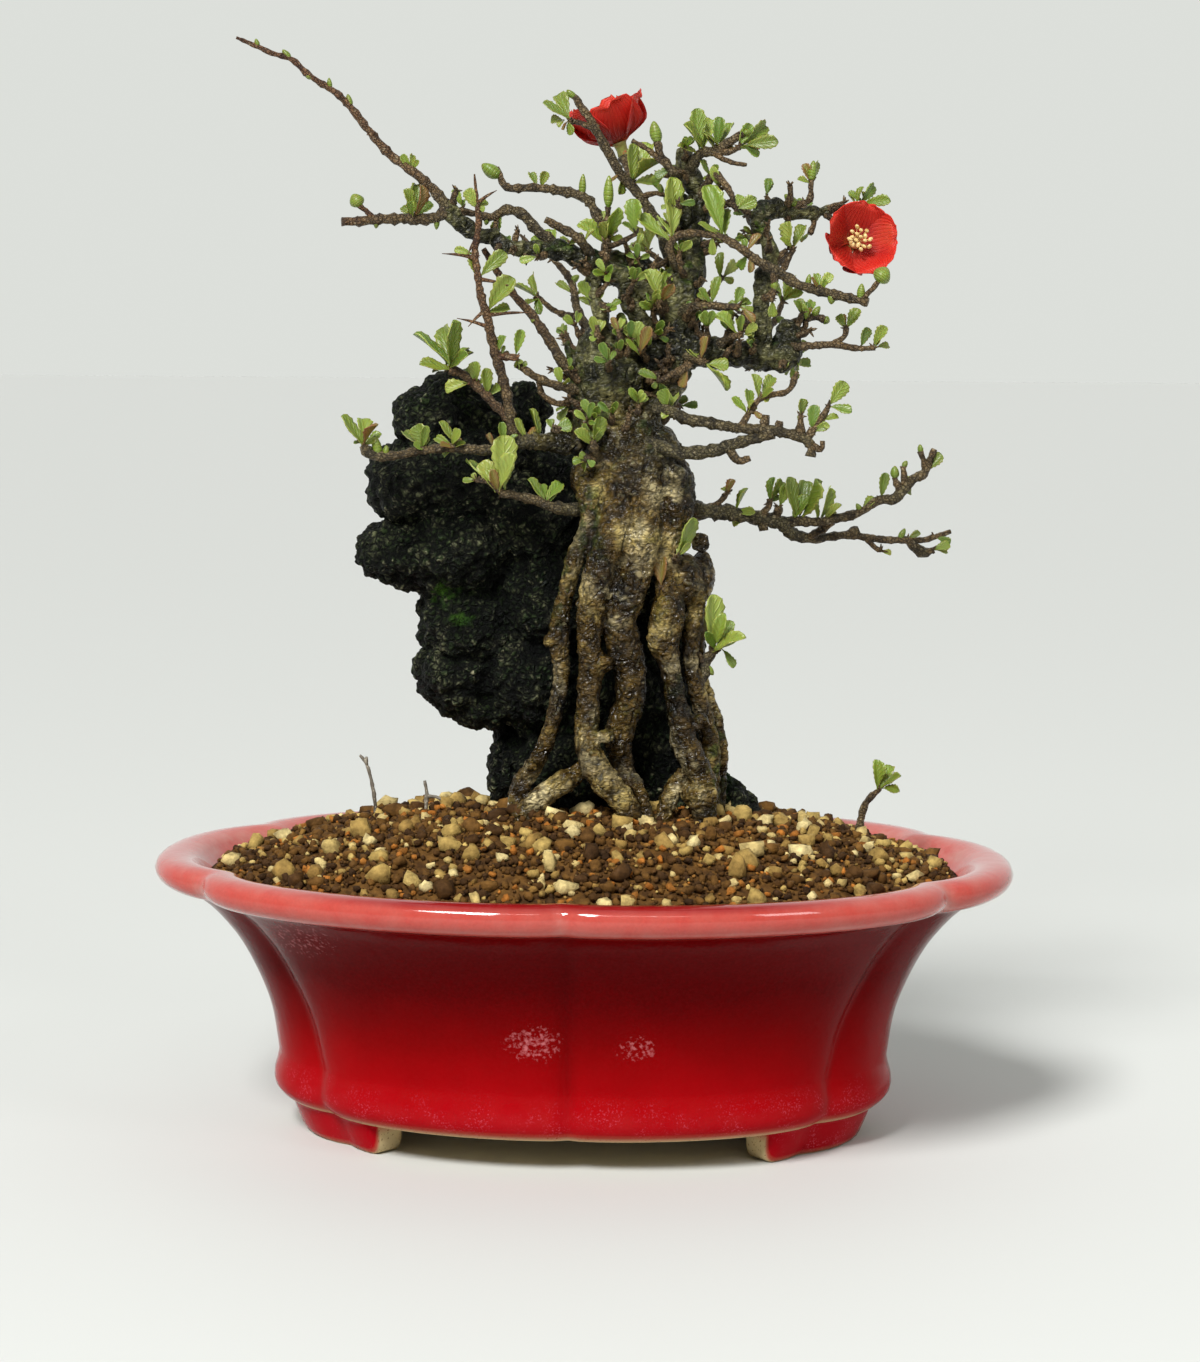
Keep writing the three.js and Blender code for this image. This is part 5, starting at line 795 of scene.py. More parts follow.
def extended(bm: BMesh, edges: list[BMEdge]) -> tuple[list, list]:
    """Extrudes a ring.

    Args:
        bm: The mesh.
        edges: The ring's edges.

    Returns:
        The new ring's points, which keep the stored values of the old ones, and its edges.
    """
    grown = bmesh.ops.extrude_edge_only(bm, edges=edges)["geom"]
    ring = [g for g in grown if isinstance(g, BMVert)]
    known = set(ring)
    rim = [g for g in grown if isinstance(g, BMEdge)
           and g.verts[0] in known and g.verts[1] in known]
    return ring, rim


def mesh_from(bm: BMesh, name: str) -> Mesh:
    """Writes a drawn mesh out and frees it."""
    mesh = bpy.data.meshes.new(name)
    bm.to_mesh(mesh)
    bm.free()
    return mesh


def merge_into(whole: BMesh, part: BMesh) -> None:
    """Adds one mesh to another and frees it; drawing apart and merging is quicker."""
    mesh = mesh_from(part, "part")
    whole.from_mesh(mesh)
    bpy.data.meshes.remove(mesh)


def stored(bm: BMesh, *names: str) -> list[bmesh.types.BMLayerItem]:
    """Adds values to a mesh's points, which its material reads as attributes."""
    for name in names:
        bm.verts.layers.float.new(name)
    return [bm.verts.layers.float[name] for name in names]


def frame_along(point: Vector, along: Vector, side: Vector, radius: float) -> Matrix:
    """Gives the matrix that carries a unit circle to a section of a tube."""
    other = along.cross(side).normalized()
    return axes_at(point, side * radius, other * radius, along * radius)


def tube(bm: BMesh, points: Sequence[Vector], radii: Sequence[float], sides: int) -> list[BMVert]:
    """Extrudes a circle along points, closed at both ends.

    Args:
        bm: Mesh that the tube is added to.
        points: Middle line.
        radii: Half thickness at each point.
        sides: Sides of the section.

    Returns:
        The new vertices.
    """
    alongs = [(points[min(i + 1, len(points) - 1)] - points[max(i - 1, 0)]).normalized()
              for i in range(len(points))]
    side = alongs[0].orthogonal().normalized()
    ring = bmesh.ops.create_circle(bm, cap_ends=True, radius=1, segments=sides)["verts"]
    everything = list(ring)
    place = frame_along(points[0], alongs[0], side, radii[0])
    bmesh.ops.transform(bm, matrix=place, verts=ring)
    edges = loop_of(ring)
    for point, along, radius in zip(points[1:], alongs[1:], radii[1:]):
        side = (side - along * side.dot(along)).normalized()
        ring, edges = extended(bm, edges)
        following = frame_along(point, along, side, radius)
        bmesh.ops.transform(bm, matrix=following @ place.inverted(), verts=ring)
        place = following
        everything += ring
    bmesh.ops.contextual_create(bm, geom=edges)
    return everything


def mesh_of(build: Callable[[BMesh], None], name: str) -> Mesh:
    """Builds a small mesh once, to be placed many times."""
    bm = bmesh.new()
    build(bm)
    bmesh.ops.recalc_face_normals(bm, faces=bm.faces)
    return mesh_from(bm, name)


def ball_shape(name: str, subdivisions: int, radius: float) -> Mesh:
    """Makes a ball to be placed many times."""
    def build(bm: BMesh) -> None:
        """Draws the ball."""
        bmesh.ops.create_icosphere(bm, subdivisions=subdivisions, radius=radius)
    return mesh_of(build, name)


def stamp(bm: BMesh, template: Mesh, matrix: Matrix) -> list[BMVert]:
    """Adds a copy of a template to a mesh.

    Args:
        bm: Mesh that gets the copy.
        template: The shape to place.
        matrix: Where it goes.

    Returns:
        The new vertices.
    """
    before = len(bm.verts)
    bm.from_mesh(template)
    bm.verts.ensure_lookup_table()
    fresh = [bm.verts[i] for i in range(before, len(bm.verts))]
    for vert in fresh:
        vert.co = matrix @ vert.co
    return fresh


def pointing(place: Vector, along: Vector, facing: Vector, size: Vector) -> Matrix:
    """Gives the matrix that lays a template's Y along one way and its Z along another."""
    along = along.normalized()
    facing = (facing - along * facing.dot(along)).normalized()
    return axes_at(place, along.cross(facing) * size.x, along * size.y, facing * size.z)


def finish_piece(
    name: str,
    bm: BMesh,
    material: Material,
    nodes: Sequence[str],
    smooth: bool = True,
) -> bpy.types.Object:
    """Turns a mesh drawn in millimetres into a finished piece on the part's body.

    Args:
        name: The piece's name.
        bm: The mesh, which is freed.
        material: Its material.
        nodes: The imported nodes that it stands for.
        smooth: Whether its faces are shaded smooth.

    Returns:
        The new object.
    """
    bmesh.ops.scale(bm, vec=(MM, MM, MM), verts=bm.verts)
    for face in bm.faces:
        face.smooth = smooth
    mesh = mesh_from(bm, name)
    mesh.materials.append(material)
    piece = placed(name, mesh)
    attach(piece, "root")
    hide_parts(*nodes)
    mesh.calc_loop_triangles()
    log.info("%s: %d triangles for %s", name, len(mesh.loop_triangles), ", ".join(nodes))
    return piece


def discard(holder: bpy.types.Object) -> None:
    """Removes an object and its mesh."""
    mesh = holder.data
    bpy.data.objects.remove(holder)
    bpy.data.meshes.remove(mesh)


def applied(holder: bpy.types.Object) -> BMesh:
    """Takes an object's mesh with its modifiers applied, and removes the object.

    Args:
        holder: The object.

    Returns:
        The mesh that its modifiers make.
    """
    depsgraph = bpy.context.evaluated_depsgraph_get()
    result = bpy.data.meshes.new_from_object(holder.evaluated_get(depsgraph))
    discard(holder)
    bm = bmesh.new()
    bm.from_mesh(result)
    bpy.data.meshes.remove(result)
    return bm


def fused(bm: BMesh, voxel: float) -> BMesh:
    """Melts overlapping closed shapes into one skin.

    Args:
        bm: The shapes, which are freed.
        voxel: Width of the skin's faces in millimetres.

    Returns:
        The single skin.
    """
    holder = placed("melt", mesh_from(bm, "melt"))
    remesh = holder.modifiers.new("melt", "REMESH")
    remesh.mode = "VOXEL"
    remesh.voxel_size = voxel
    return applied(holder)


def layered(point: Vector, size: float, octaves: int) -> float:
    """Gives layered noise about zero, with features of about one size in millimetres."""
    return noise.fractal(point / size, 1.0, 2.0, octaves, noise_basis="PERLIN_ORIGINAL")


def knobs(point: Vector, size: float) -> float:
    """Gives rounded bumps of about one size, from 0 in the gaps to 1 on top."""
    nearest = noise.voronoi(point / size)[0][0]
    return max(0.0, 1.0 - nearest * nearest * 1.6)


# Materials


def fill(tree: bpy.types.NodeTree, socket: Socket, given: Socket | float | Colour) -> None:
    """Links a socket to its source, or sets the socket's own value."""
    if isinstance(given, Socket):
        tree.links.new(given, socket)
    else:
        socket.default_value = given


class Paint:
    """A material being put together round one Principled shader."""

    def __init__(self, name: str, **settings: float | Colour) -> None:
        """Starts a material.

        Args:
            name: The material's name.
            **settings: Values set on the shader's own sockets, with _ for each space.
        """
        self.material = bpy.data.materials.new(name)
        self.material.use_nodes = True
        self.tree = self.material.node_tree
        self.shader = self.tree.nodes["Principled BSDF"]
        for socket, value in settings.items():
            self.shader.inputs[socket.replace("_", " ")].default_value = value

    def node(self, kind: str, **settings: object) -> bpy.types.Node:
        """Adds a node and sets its properties."""
        made = self.tree.nodes.new(kind)
        for key, value in settings.items():
            setattr(made, key, value)
        return made

    def group(self, tree: bpy.types.NodeTree, **values: float) -> bpy.types.Node:
        """Places a shared effect with values of its own."""
        made = self.node("ShaderNodeGroup", node_tree=tree)
        for socket, value in values.items():
            made.inputs[socket].default_value = value
        return made

    def attribute(self, name: str) -> Socket:
        """Reads a value stored on the piece's points."""
        return self.node("ShaderNodeAttribute", attribute_name=name).outputs["Fac"]

    def mottle(self, scale: float, contrast: float) -> Socket:
        """Gives soft blotches from 0 to 1."""
        return self.group(EFFECTS.mottle, Scale=scale, Contrast=contrast).outputs[0]

    def specks(self, scale: float, threshold: float, softness: float) -> Socket:
        """Gives a mask of scattered specks."""
        return self.group(EFFECTS.specks, Scale=scale, Threshold=threshold, Softness=softness).outputs[0]

    def crackle(self, scale: float, stretch: float, wander: float, width: float) -> Socket:
        """Gives flat cells, 1 on a cell and 0 in the furrows between them."""
        made = self.group(EFFECTS.crackle, Scale=scale, Stretch=stretch, Wander=wander, Width=width)
        return made.outputs[0]

    def relief(self, broad: float, fine: float, fine_share: float) -> Socket:
        """Gives a height of broad and fine relief."""
        made = self.group(EFFECTS.relief, **{"Broad": broad, "Fine": fine, "Fine Share": fine_share})
        return made.outputs[0]

    def ramp(self, source: Socket, stops: Stops) -> Socket:
        """Turns a value into a colour.

        Args:
            source: The value.
            stops: Places from 0 to 1, each with a colour.

        Returns:
            The colour's socket.
        """
        made = self.node("ShaderNodeValToRGB")
        elements = made.color_ramp.elements
        while len(elements) < len(stops):
            elements.new(0.5)
        for element, (place, colour) in zip(elements, stops):
            element.position = place
            element.color = colour
        self.tree.links.new(source, made.inputs["Fac"])
        return made.outputs["Color"]

    def between(self, source: Socket, low: Colour, high: Colour) -> Socket:
        """Turns a value into a colour from one at 0 to another at 1."""
        return self.ramp(source, ((0.0, low), (1.0, high)))

    def mix(
        self,
        share: Socket | float,
        under: Socket | Colour,
        over: Socket | Colour,
        blend: str = "MIX",
    ) -> Socket:
        """Lays one colour over another.

        Args:
            share: How much of the upper colour shows, from 0 to 1.
            under: The lower colour.
            over: The upper colour.
            blend: How the two are blended.

        Returns:
            The colour's socket.
        """
        made = self.node("ShaderNodeMix", data_type="RGBA", blend_type=blend)
        for index, given in ((0, share), (6, under), (7, over)):
            fill(self.tree, made.inputs[index], given)
        return made.outputs[2]

    def shaded(self, colour: Socket, shade: Socket) -> Socket:
        """Darkens or lightens a colour by another."""
        return self.mix(1.0, colour, shade, "MULTIPLY")

    def maths(self, operation: str, first: Socket, second: Socket | float = 0.0) -> Socket:
        """Works out one value from one or two."""
        made = self.node("ShaderNodeMath", operation=operation)
        for socket, given in zip(made.inputs, (first, second)):
            fill(self.tree, socket, given)
        return made.outputs[0]

    def times(self, first: Socket, second: Socket | float) -> Socket:
        """Multiplies two values."""
        return self.maths("MULTIPLY", first, second)

    def plus(self, first: Socket, second: Socket | float) -> Socket:
        """Adds two values."""
        return self.maths("ADD", first, second)

    def most(self, first: Socket, second: Socket | float) -> Socket:
        """Takes the greater of two values."""
        return self.maths("MAXIMUM", first, second)

    def spread(self, source: Socket, low: float, high: float) -> Socket:
        """Stretches a value from 0 to 1 over a range of its own."""
        made = self.node("ShaderNodeMapRange")
        made.inputs["To Min"].default_value = low
        made.inputs["To Max"].default_value = high
        self.tree.links.new(source, made.inputs["Value"])
        return made.outputs["Result"]

    def feed(self, socket: str, source: Socket) -> None:
        """Feeds one of the shader's sockets."""
        self.tree.links.new(source, self.shader.inputs[socket])

    def bump(self, height: Socket, depth: float) -> None:
        """Feeds the shader's normal from a height, with the relief's depth in millimetres."""
        made = self.node("ShaderNodeBump")
        made.inputs["Strength"].default_value = 1.0
        made.inputs["Distance"].default_value = depth * MM
        self.tree.links.new(height, made.inputs["Height"])
        self.tree.links.new(made.outputs["Normal"], self.shader.inputs["Normal"])


class Effects:
    """The shader groups that several finishes share, each built once."""

    def __init__(self) -> None:
        """Builds every group."""
        self.mottle = self._mottle()
        self.specks = self._specks()
        self.relief = self._relief()
        self.crackle = self._crackle()

    @staticmethod
    def _start(name: str, inputs: dict[str, float], outputs: Sequence[str]) -> tuple:
        """Starts a group with named sockets.

        Args:
            name: The group's name.
            inputs: Input names with their usual values.
            outputs: Output names.

        Returns:
            The tree, its input node and its output node.
        """
        tree = bpy.data.node_groups.new(name, "ShaderNodeTree")
        for socket, value in inputs.items():
            made = tree.interface.new_socket(name=socket, in_out="INPUT", socket_type="NodeSocketFloat")
            made.default_value = value
        for socket in outputs:
            tree.interface.new_socket(name=socket, in_out="OUTPUT", socket_type="NodeSocketFloat")
        return tree, tree.nodes.new("NodeGroupInput"), tree.nodes.new("NodeGroupOutput")

    @staticmethod
    def _maths(tree: bpy.types.NodeTree, operation: str, *sources: Socket | float) -> bpy.types.Node:
        """Adds a sum, with its inputs linked or set in order."""
        made = tree.nodes.new("ShaderNodeMath")
        made.operation = operation
        for socket, source in zip(made.inputs, sources):
            fill(tree, socket, source)
        return made

    @staticmethod
    def _step(tree: bpy.types.NodeTree, value: Socket, low: Socket | float, high: Socket) -> Socket:
        """Adds a soft step, which runs from 0 at low to 1 at high."""
        made = tree.nodes.new("ShaderNodeMapRange")
        made.interpolation_type = "SMOOTHSTEP"
        for name, given in (("Value", value), ("From Min", low), ("From Max", high)):
            fill(tree, made.inputs[name], given)
        return made.outputs["Result"]

    @staticmethod
    def _noise(tree: bpy.types.NodeTree, scale: Socket, detail: float) -> Socket:
        """Adds noise on the piece's own coordinates.

        Args:
            tree: The group that gets it.
            scale: Where its scale comes from.
            detail: Its octaves.

        Returns:
            The noise's socket.
        """
        place = tree.nodes.new("ShaderNodeTexCoord")
        made = tree.nodes.new("ShaderNodeTexNoise")
        made.inputs["Detail"].default_value = detail
        made.inputs["Roughness"].default_value = 0.6
        tree.links.new(place.outputs["Object"], made.inputs["Vector"])
        tree.links.new(scale, made.inputs["Scale"])
        return made.outputs[0]

    def _mottle(self) -> bpy.types.NodeTree:
        """Soft blotches, spread about their middle by Contrast."""
        tree, given, out = self._start("soft_mottle", {"Scale": 100.0, "Contrast": 2.0}, ["Value"])
        cloud = self._noise(tree, given.outputs["Scale"], 5)
        shifted = self._maths(tree, "SUBTRACT", cloud, 0.5)
        spread = self._maths(tree, "MULTIPLY_ADD", shifted.outputs[0], given.outputs["Contrast"], 0.5)
        spread.use_clamp = True
        tree.links.new(spread.outputs[0], out.inputs["Value"])
        return tree

    def _specks(self) -> bpy.types.NodeTree:
        """Scattered specks: a mask that is 1 where noise passes a threshold."""
        tree, given, out = self._start(
            "scattered_specks", {"Scale": 800.0, "Threshold": 0.6, "Softness": 0.05}, ["Mask"])
        cloud = self._noise(tree, given.outputs["Scale"], 2)
        start = given.outputs["Threshold"]
        end = self._maths(tree, "ADD", start, given.outputs["Softness"])
        tree.links.new(self._step(tree, cloud, start, end.outputs[0]), out.inputs["Mask"])
        return tree

    def _relief(self) -> bpy.types.NodeTree:
        """Broad and fine relief, added by Fine Share."""
        tree, given, out = self._start(
            "surface_relief", {"Broad": 300.0, "Fine": 1500.0, "Fine Share": 0.4}, ["Height"])
        broad = self._noise(tree, given.outputs["Broad"], 4)
        fine = self._noise(tree, given.outputs["Fine"], 3)
        joined = self._maths(tree, "MULTIPLY_ADD", fine, given.outputs["Fine Share"], broad)
        tree.links.new(joined.outputs[0], out.inputs["Height"])
        return tree

    def _crackle(self) -> bpy.types.NodeTree:
        """A network of furrows round flat cells: Height is 0 in a furrow and 1 on a cell."""
        tree, given, out = self._start(
            "crackled_skin", {"Scale": 500.0, "Stretch": 1.0, "Wander": 0.5, "Width": 0.2}, ["Height"])
        place = tree.nodes.new("ShaderNodeTexCoord")
        squash = tree.nodes.new("ShaderNodeCombineXYZ")
        squash.inputs[0].default_value = squash.inputs[1].default_value = 1
        tree.links.new(given.outputs["Stretch"], squash.inputs[2])
        pulled, sized, bent = (tree.nodes.new("ShaderNodeVectorMath") for _ in range(3))
        pulled.operation, sized.operation, bent.operation = "MULTIPLY", "SCALE", "MULTIPLY_ADD"
        tree.links.new(place.outputs["Object"], pulled.inputs[0])
        tree.links.new(squash.outputs[0], pulled.inputs[1])
        tree.links.new(pulled.outputs[0], sized.inputs[0])
        tree.links.new(given.outputs["Scale"], sized.inputs["Scale"])
        cloud = tree.nodes.new("ShaderNodeTexNoise")
        cloud.inputs["Scale"].default_value = 0.8
        tree.links.new(sized.outputs[0], cloud.inputs["Vector"])
        tree.links.new(cloud.outputs["Color"], bent.inputs[0])
        tree.links.new(given.outputs["Wander"], bent.inputs[1])
        tree.links.new(sized.outputs[0], bent.inputs[2])
        cells = tree.nodes.new("ShaderNodeTexVoronoi")
        cells.feature = "DISTANCE_TO_EDGE"
        cells.inputs["Scale"].default_value = 1
        tree.links.new(bent.outputs[0], cells.inputs["Vector"])
        height = self._step(tree, cells.outputs["Distance"], 0.0, given.outputs["Width"])
        tree.links.new(height, out.inputs["Height"])
        return tree


EFFECTS = Effects()


@dataclass(frozen=True)
class Glaze:
    """Glossy crimson glaze, pink where it thins over an edge, with painted shade that darkens the wall up
    under the rim and in the creases, and worn places with a painted sheen.
    """

    # dark is painted shade for the creases; up the wall the body runs from belt, bright and middle to deep,
    # painted shade under the rim.
    dark: Colour = (0.05, 0.0002, 0.0002, 1)
    deep: Colour = (0.085, 0.0002, 0.0003, 1)
    middle: Colour = (0.18, 0.0005, 0.0008, 1)
    bright: Colour = (0.28, 0.0008, 0.002, 1)
    belt: Colour = (0.33, 0.0018, 0.006, 1)
    rim: Colour = (0.47, 0.05, 0.036, 1)
    pool: Colour = (0.22, 0.001, 0.003, 1)
    thin: Colour = (0.45, 0.22, 0.18, 1)
    speck: Colour = (0.6, 0.09, 0.14, 1)
    # wear_and_sheen: colour of worn glaze and of a painted sheen.
    wear_and_sheen: Colour = (0.56, 0.17, 0.18, 1)
    clay: Colour = (0.56, 0.44, 0.24, 1)
    grit: Colour = (0.24, 0.15, 0.07, 1)

    def material(self) -> Material:
        """Makes the material, which reads every value stored on the pot's points."""
        paint = Paint("crimson_glaze", Specular_IOR_Level=0.03, Coat_Roughness=0.06)
        tall, roll, thin, pool, wear_and_sheen_mask, crease, bare = (
            paint.attribute(name) for name in ("tall", "roll", "thin", "pool", "wear_and_sheen", "crease", "bare"))
        # Painted shade: the wall darkens with height towards the rim.
        height = paint.plus(tall, paint.spread(paint.mottle(40, 1.2), -0.08, 0.08))
        body = paint.ramp(height, ((0.12, self.belt), (0.28, self.bright), (0.44, self.middle),
                                   (0.64, self.deep), (1.0, self.deep)))
        # Painted shade down the creases of the long sides.
        body = paint.mix(paint.times(crease, 0.35), body, self.dark)
        fine = paint.mottle(1300, 2.4)
        body = paint.mix(paint.times(fine, 0.16), body, self.belt)
        colour = paint.mix(paint.times(roll, paint.spread(fine, 0.8, 1)), body, self.rim)
        colour = paint.mix(paint.times(pool, 0.95), colour, self.pool)
        veil = paint.times(thin, paint.spread(paint.mottle(150, 2.6), 0.15, 0.85))
        veil = paint.times(veil, paint.spread(roll, 0.03, 1))
        veil = paint.times(veil, paint.spread(pool, 1, 0.1))
        colour = paint.mix(veil, colour, self.thin)
        low = paint.most(paint.spread(height, 0.5, -1.4), paint.times(thin, 0.35))
        sown = paint.times(paint.specks(1900, 0.55, 0.1), paint.times(low, paint.specks(130, 0.44, 0.2)))
        colour = paint.mix(sown, colour, self.speck)
        # Worn places on the front, one of them a painted sheen, broken up by mottle.
        wear_and_sheen_level = paint.plus(paint.times(wear_and_sheen_mask, 0.5), paint.times(paint.mottle(850, 3.4), 0.5))
        wear_and_sheen = paint.most(paint.spread(wear_and_sheen_level, -1.3, 0.7), 0.0)
        colour = paint.mix(wear_and_sheen, colour, self.wear_and_sheen)
        clay = paint.mix(paint.specks(1400, 0.62, 0.05), self.clay, self.grit)
        paint.feed("Base Color", paint.mix(bare, colour, clay))
        rough = paint.most(paint.spread(paint.mottle(260, 2), 0.08, 0.2), paint.times(wear_and_sheen, 0.5))
        paint.feed("Roughness", paint.most(rough, paint.times(bare, 0.85)))
        paint.feed("Coat Weight", paint.times(roll, 0.8))
        paint.bump(paint.relief(90, 1500, 0.07), 0.3)
        return paint.material


@dataclass(frozen=True)
class Grain:
    """A crumbly soil grain, its tone taken from the draw stored on each grain."""

    name: str
    tones: Stops
    depth: float = 0.35
    dull: Colour = (0.45, 0.42, 0.4, 1)
    lit: Colour = (1.25, 1.22, 1.18, 1)

    def material(self) -> Material:
        """Makes the material, which reads each grain's tint attribute."""
        paint = Paint(self.name, Specular_IOR_Level=0.2)
        tone = paint.ramp(paint.attribute("tint"), self.tones)
        blotch = paint.mottle(420, 2.6)
        paint.feed("Base Color", paint.shaded(tone, paint.between(blotch, self.dull, self.lit)))
        paint.feed("Roughness", paint.spread(blotch, 0.95, 0.55))
        paint.bump(paint.relief(900, 3200, 0.7), self.depth)
        return paint.material


@dataclass(frozen=True)
class Bark:
    """Wet old bark: dark brown to olive, with cream patches that are partly painted highlights, moss and
    lichen flecks, and furrows darkened with painted shade.

    Attributes:
        young: Tones of the roots' brown bark.
        old: Tones of the trunk's and the limbs' olive bark.
        cream: Of the pale patches, which are partly painted highlights.
        lichen: Of the flecks.
        moss: Tones of the green film, dark and light.
    """

    young: Stops = ((0.0, (0.007, 0.004, 0.001, 1)), (0.35, (0.045, 0.026, 0.006, 1)),
                    (0.65, (0.115, 0.07, 0.016, 1)), (1.0, (0.4, 0.3, 0.1, 1)))
    old: Stops = ((0.0, (0.004, 0.004, 0.0015, 1)), (0.45, (0.03, 0.03, 0.009, 1)),
                  (1.0, (0.2, 0.19, 0.075, 1)))
    cream: Colour = (0.58, 0.48, 0.25, 1)
    lichen: Colour = (0.26, 0.24, 0.13, 1)
    moss: tuple[Colour, Colour] = ((0.012, 0.028, 0.004, 1), (0.09, 0.13, 0.015, 1))

    def material(self) -> Material:
        """Makes the material, which reads the wood's old, moss, pale and crack attributes."""
        paint = Paint("wet_bark", Specular_IOR_Level=0.28)
        old, mossy, pale, crack = (paint.attribute(name) for name in ("old", "moss", "pale", "crack"))
        cloud = paint.mottle(72, 3.4)
        colour = paint.mix(old, paint.ramp(cloud, self.young), paint.ramp(cloud, self.old))
        # Cream patches, partly painted highlights.
        colour = paint.mix(paint.times(paint.specks(170, 0.46, 0.12), pale), colour, self.cream)
        lichen = paint.times(paint.specks(700, 0.6, 0.06), paint.spread(old, 0.35, 0.7))
        colour = paint.mix(lichen, colour, self.lichen)
        moss = paint.times(paint.specks(330, 0.44, 0.16), mossy)
        colour = paint.mix(moss, colour, paint.between(cloud, *self.moss))
        # Painted shade: the furrows of the crackle and the cracks darken the bark.
        skin = paint.spread(paint.crackle(330, 2.6, 1.4, 0.1), 0.62, 1)
        folds = paint.spread(paint.crackle(140, 1.7, 1.8, 0.16), 0.5, 1)
        deep = paint.times(paint.times(skin, folds), paint.spread(crack, 1, 0.1))
        paint.feed("Base Color", paint.shaded(colour, deep))
        dry = paint.most(paint.spread(paint.mottle(120, 3), 0.12, 0.5), paint.spread(old, 0.05, 0.42))
        paint.feed("Roughness", paint.most(dry, paint.times(moss, 0.9)))
        paint.bump(paint.plus(paint.relief(200, 1000, 0.14), paint.times(deep, 0.6)), 1.1)
        return paint.material


@dataclass(frozen=True)
class Stone:
    """Near-black crumbly lava with a little bright moss, painted shade in its hollows and between its lumps,
    and pale crumbs that are partly painted highlights.

    Attributes:
        pit: Tones of the hollows, dark and light, as painted shade.
        knob: Tones of the knobs.
        crumb: Of the pale crumbs, partly painted highlights.
        tinge: Tones of the green film.
        moss: Tones of the moss cushions.
        shade: Between the lumps and on them.
    """

    pit: tuple[Colour, Colour] = ((0.0006, 0.0014, 0.0006, 1), (0.005, 0.009, 0.004, 1))
    knob: Stops = ((0.0, (0.01, 0.023, 0.009, 1)), (0.5, (0.05, 0.075, 0.03, 1)), (1.0, (0.36, 0.36, 0.2, 1)))
    crumb: Colour = (0.5, 0.47, 0.3, 1)
    tinge: tuple[Colour, Colour] = ((0.008, 0.02, 0.003, 1), (0.05, 0.085, 0.012, 1))
    moss: tuple[Colour, Colour] = ((0.008, 0.03, 0.003, 1), (0.05, 0.12, 0.01, 1))
    shade: tuple[Colour, Colour] = ((0.06, 0.06, 0.07, 1), (1.3, 1.3, 1.25, 1))

    def material(self) -> Material:
        """Makes the material, which reads the rock's high, green and moss attributes."""
        paint = Paint("lava_rock", Specular_IOR_Level=0.16)
        high, green, mossy = (paint.attribute(name) for name in ("high", "green", "moss"))
        cloud = paint.mottle(150, 2.6)
        patchy = paint.mottle(90, 3)
        # Painted shade: the hollows, low on the high attribute, take the near-black pit tones.
        colour = paint.mix(high, paint.between(cloud, *self.pit), paint.ramp(cloud, self.knob))
        # Pale crumbs on the knob tops, partly painted highlights.
        crumbs = paint.times(paint.specks(560, 0.55, 0.06), paint.times(patchy, high))
        colour = paint.mix(crumbs, colour, self.crumb)
        colour = paint.mix(paint.times(green, patchy), colour, paint.between(cloud, *self.tinge))
        # Painted shade between the lumps.
        lumps = paint.crackle(520, 1.0, 1.6, 0.42)
        colour = paint.shaded(colour, paint.between(lumps, *self.shade))
        moss = paint.times(paint.specks(420, 0.36, 0.2), mossy)
        paint.feed("Base Color", paint.mix(moss, colour, paint.between(cloud, *self.moss)))
        paint.feed("Roughness", paint.most(paint.spread(cloud, 0.45, 0.8), moss))
        paint.bump(paint.plus(paint.relief(800, 2600, 0.6), paint.times(lumps, 0.7)), 2.3)
        return paint.material


@dataclass(frozen=True)
class Shoot:
    """Bark of thin shoots: red-brown where young, dark brown-grey and flecked where old."""

    name: str = "shoot_bark"
    young: tuple[Colour, Colour] = ((0.025, 0.014, 0.005, 1), (0.22, 0.14, 0.06, 1))
    old: tuple[Colour, Colour] = ((0.01, 0.008, 0.003, 1), (0.15, 0.125, 0.055, 1))
    fleck: Colour = (0.34, 0.28, 0.17, 1)
    ribs: tuple[Colour, Colour] = ((0.3, 0.28, 0.25, 1), (1.0, 1.0, 1.0, 1))

    def material(self) -> Material:
        """Makes the material, which reads the shoot's old attribute."""
        paint = Paint(self.name, Specular_IOR_Level=0.35)
        cloud = paint.mottle(300, 2.6)
        young, old = (paint.between(cloud, *pair) for pair in (self.young, self.old))
        colour = paint.mix(paint.attribute("old"), young, old)
        colour = paint.mix(paint.times(paint.specks(1000, 0.6, 0.06), 0.5), colour, self.fleck)
        ribs = paint.crackle(900, 1.2, 1.0, 0.2)
        paint.feed("Base Color", paint.shaded(colour, paint.between(ribs, *self.ribs)))
        paint.feed("Roughness", paint.spread(cloud, 0.6, 0.34))
        paint.bump(paint.plus(paint.relief(900, 3500, 0.5), paint.times(ribs, 0.4)), 0.55)
        return paint.material


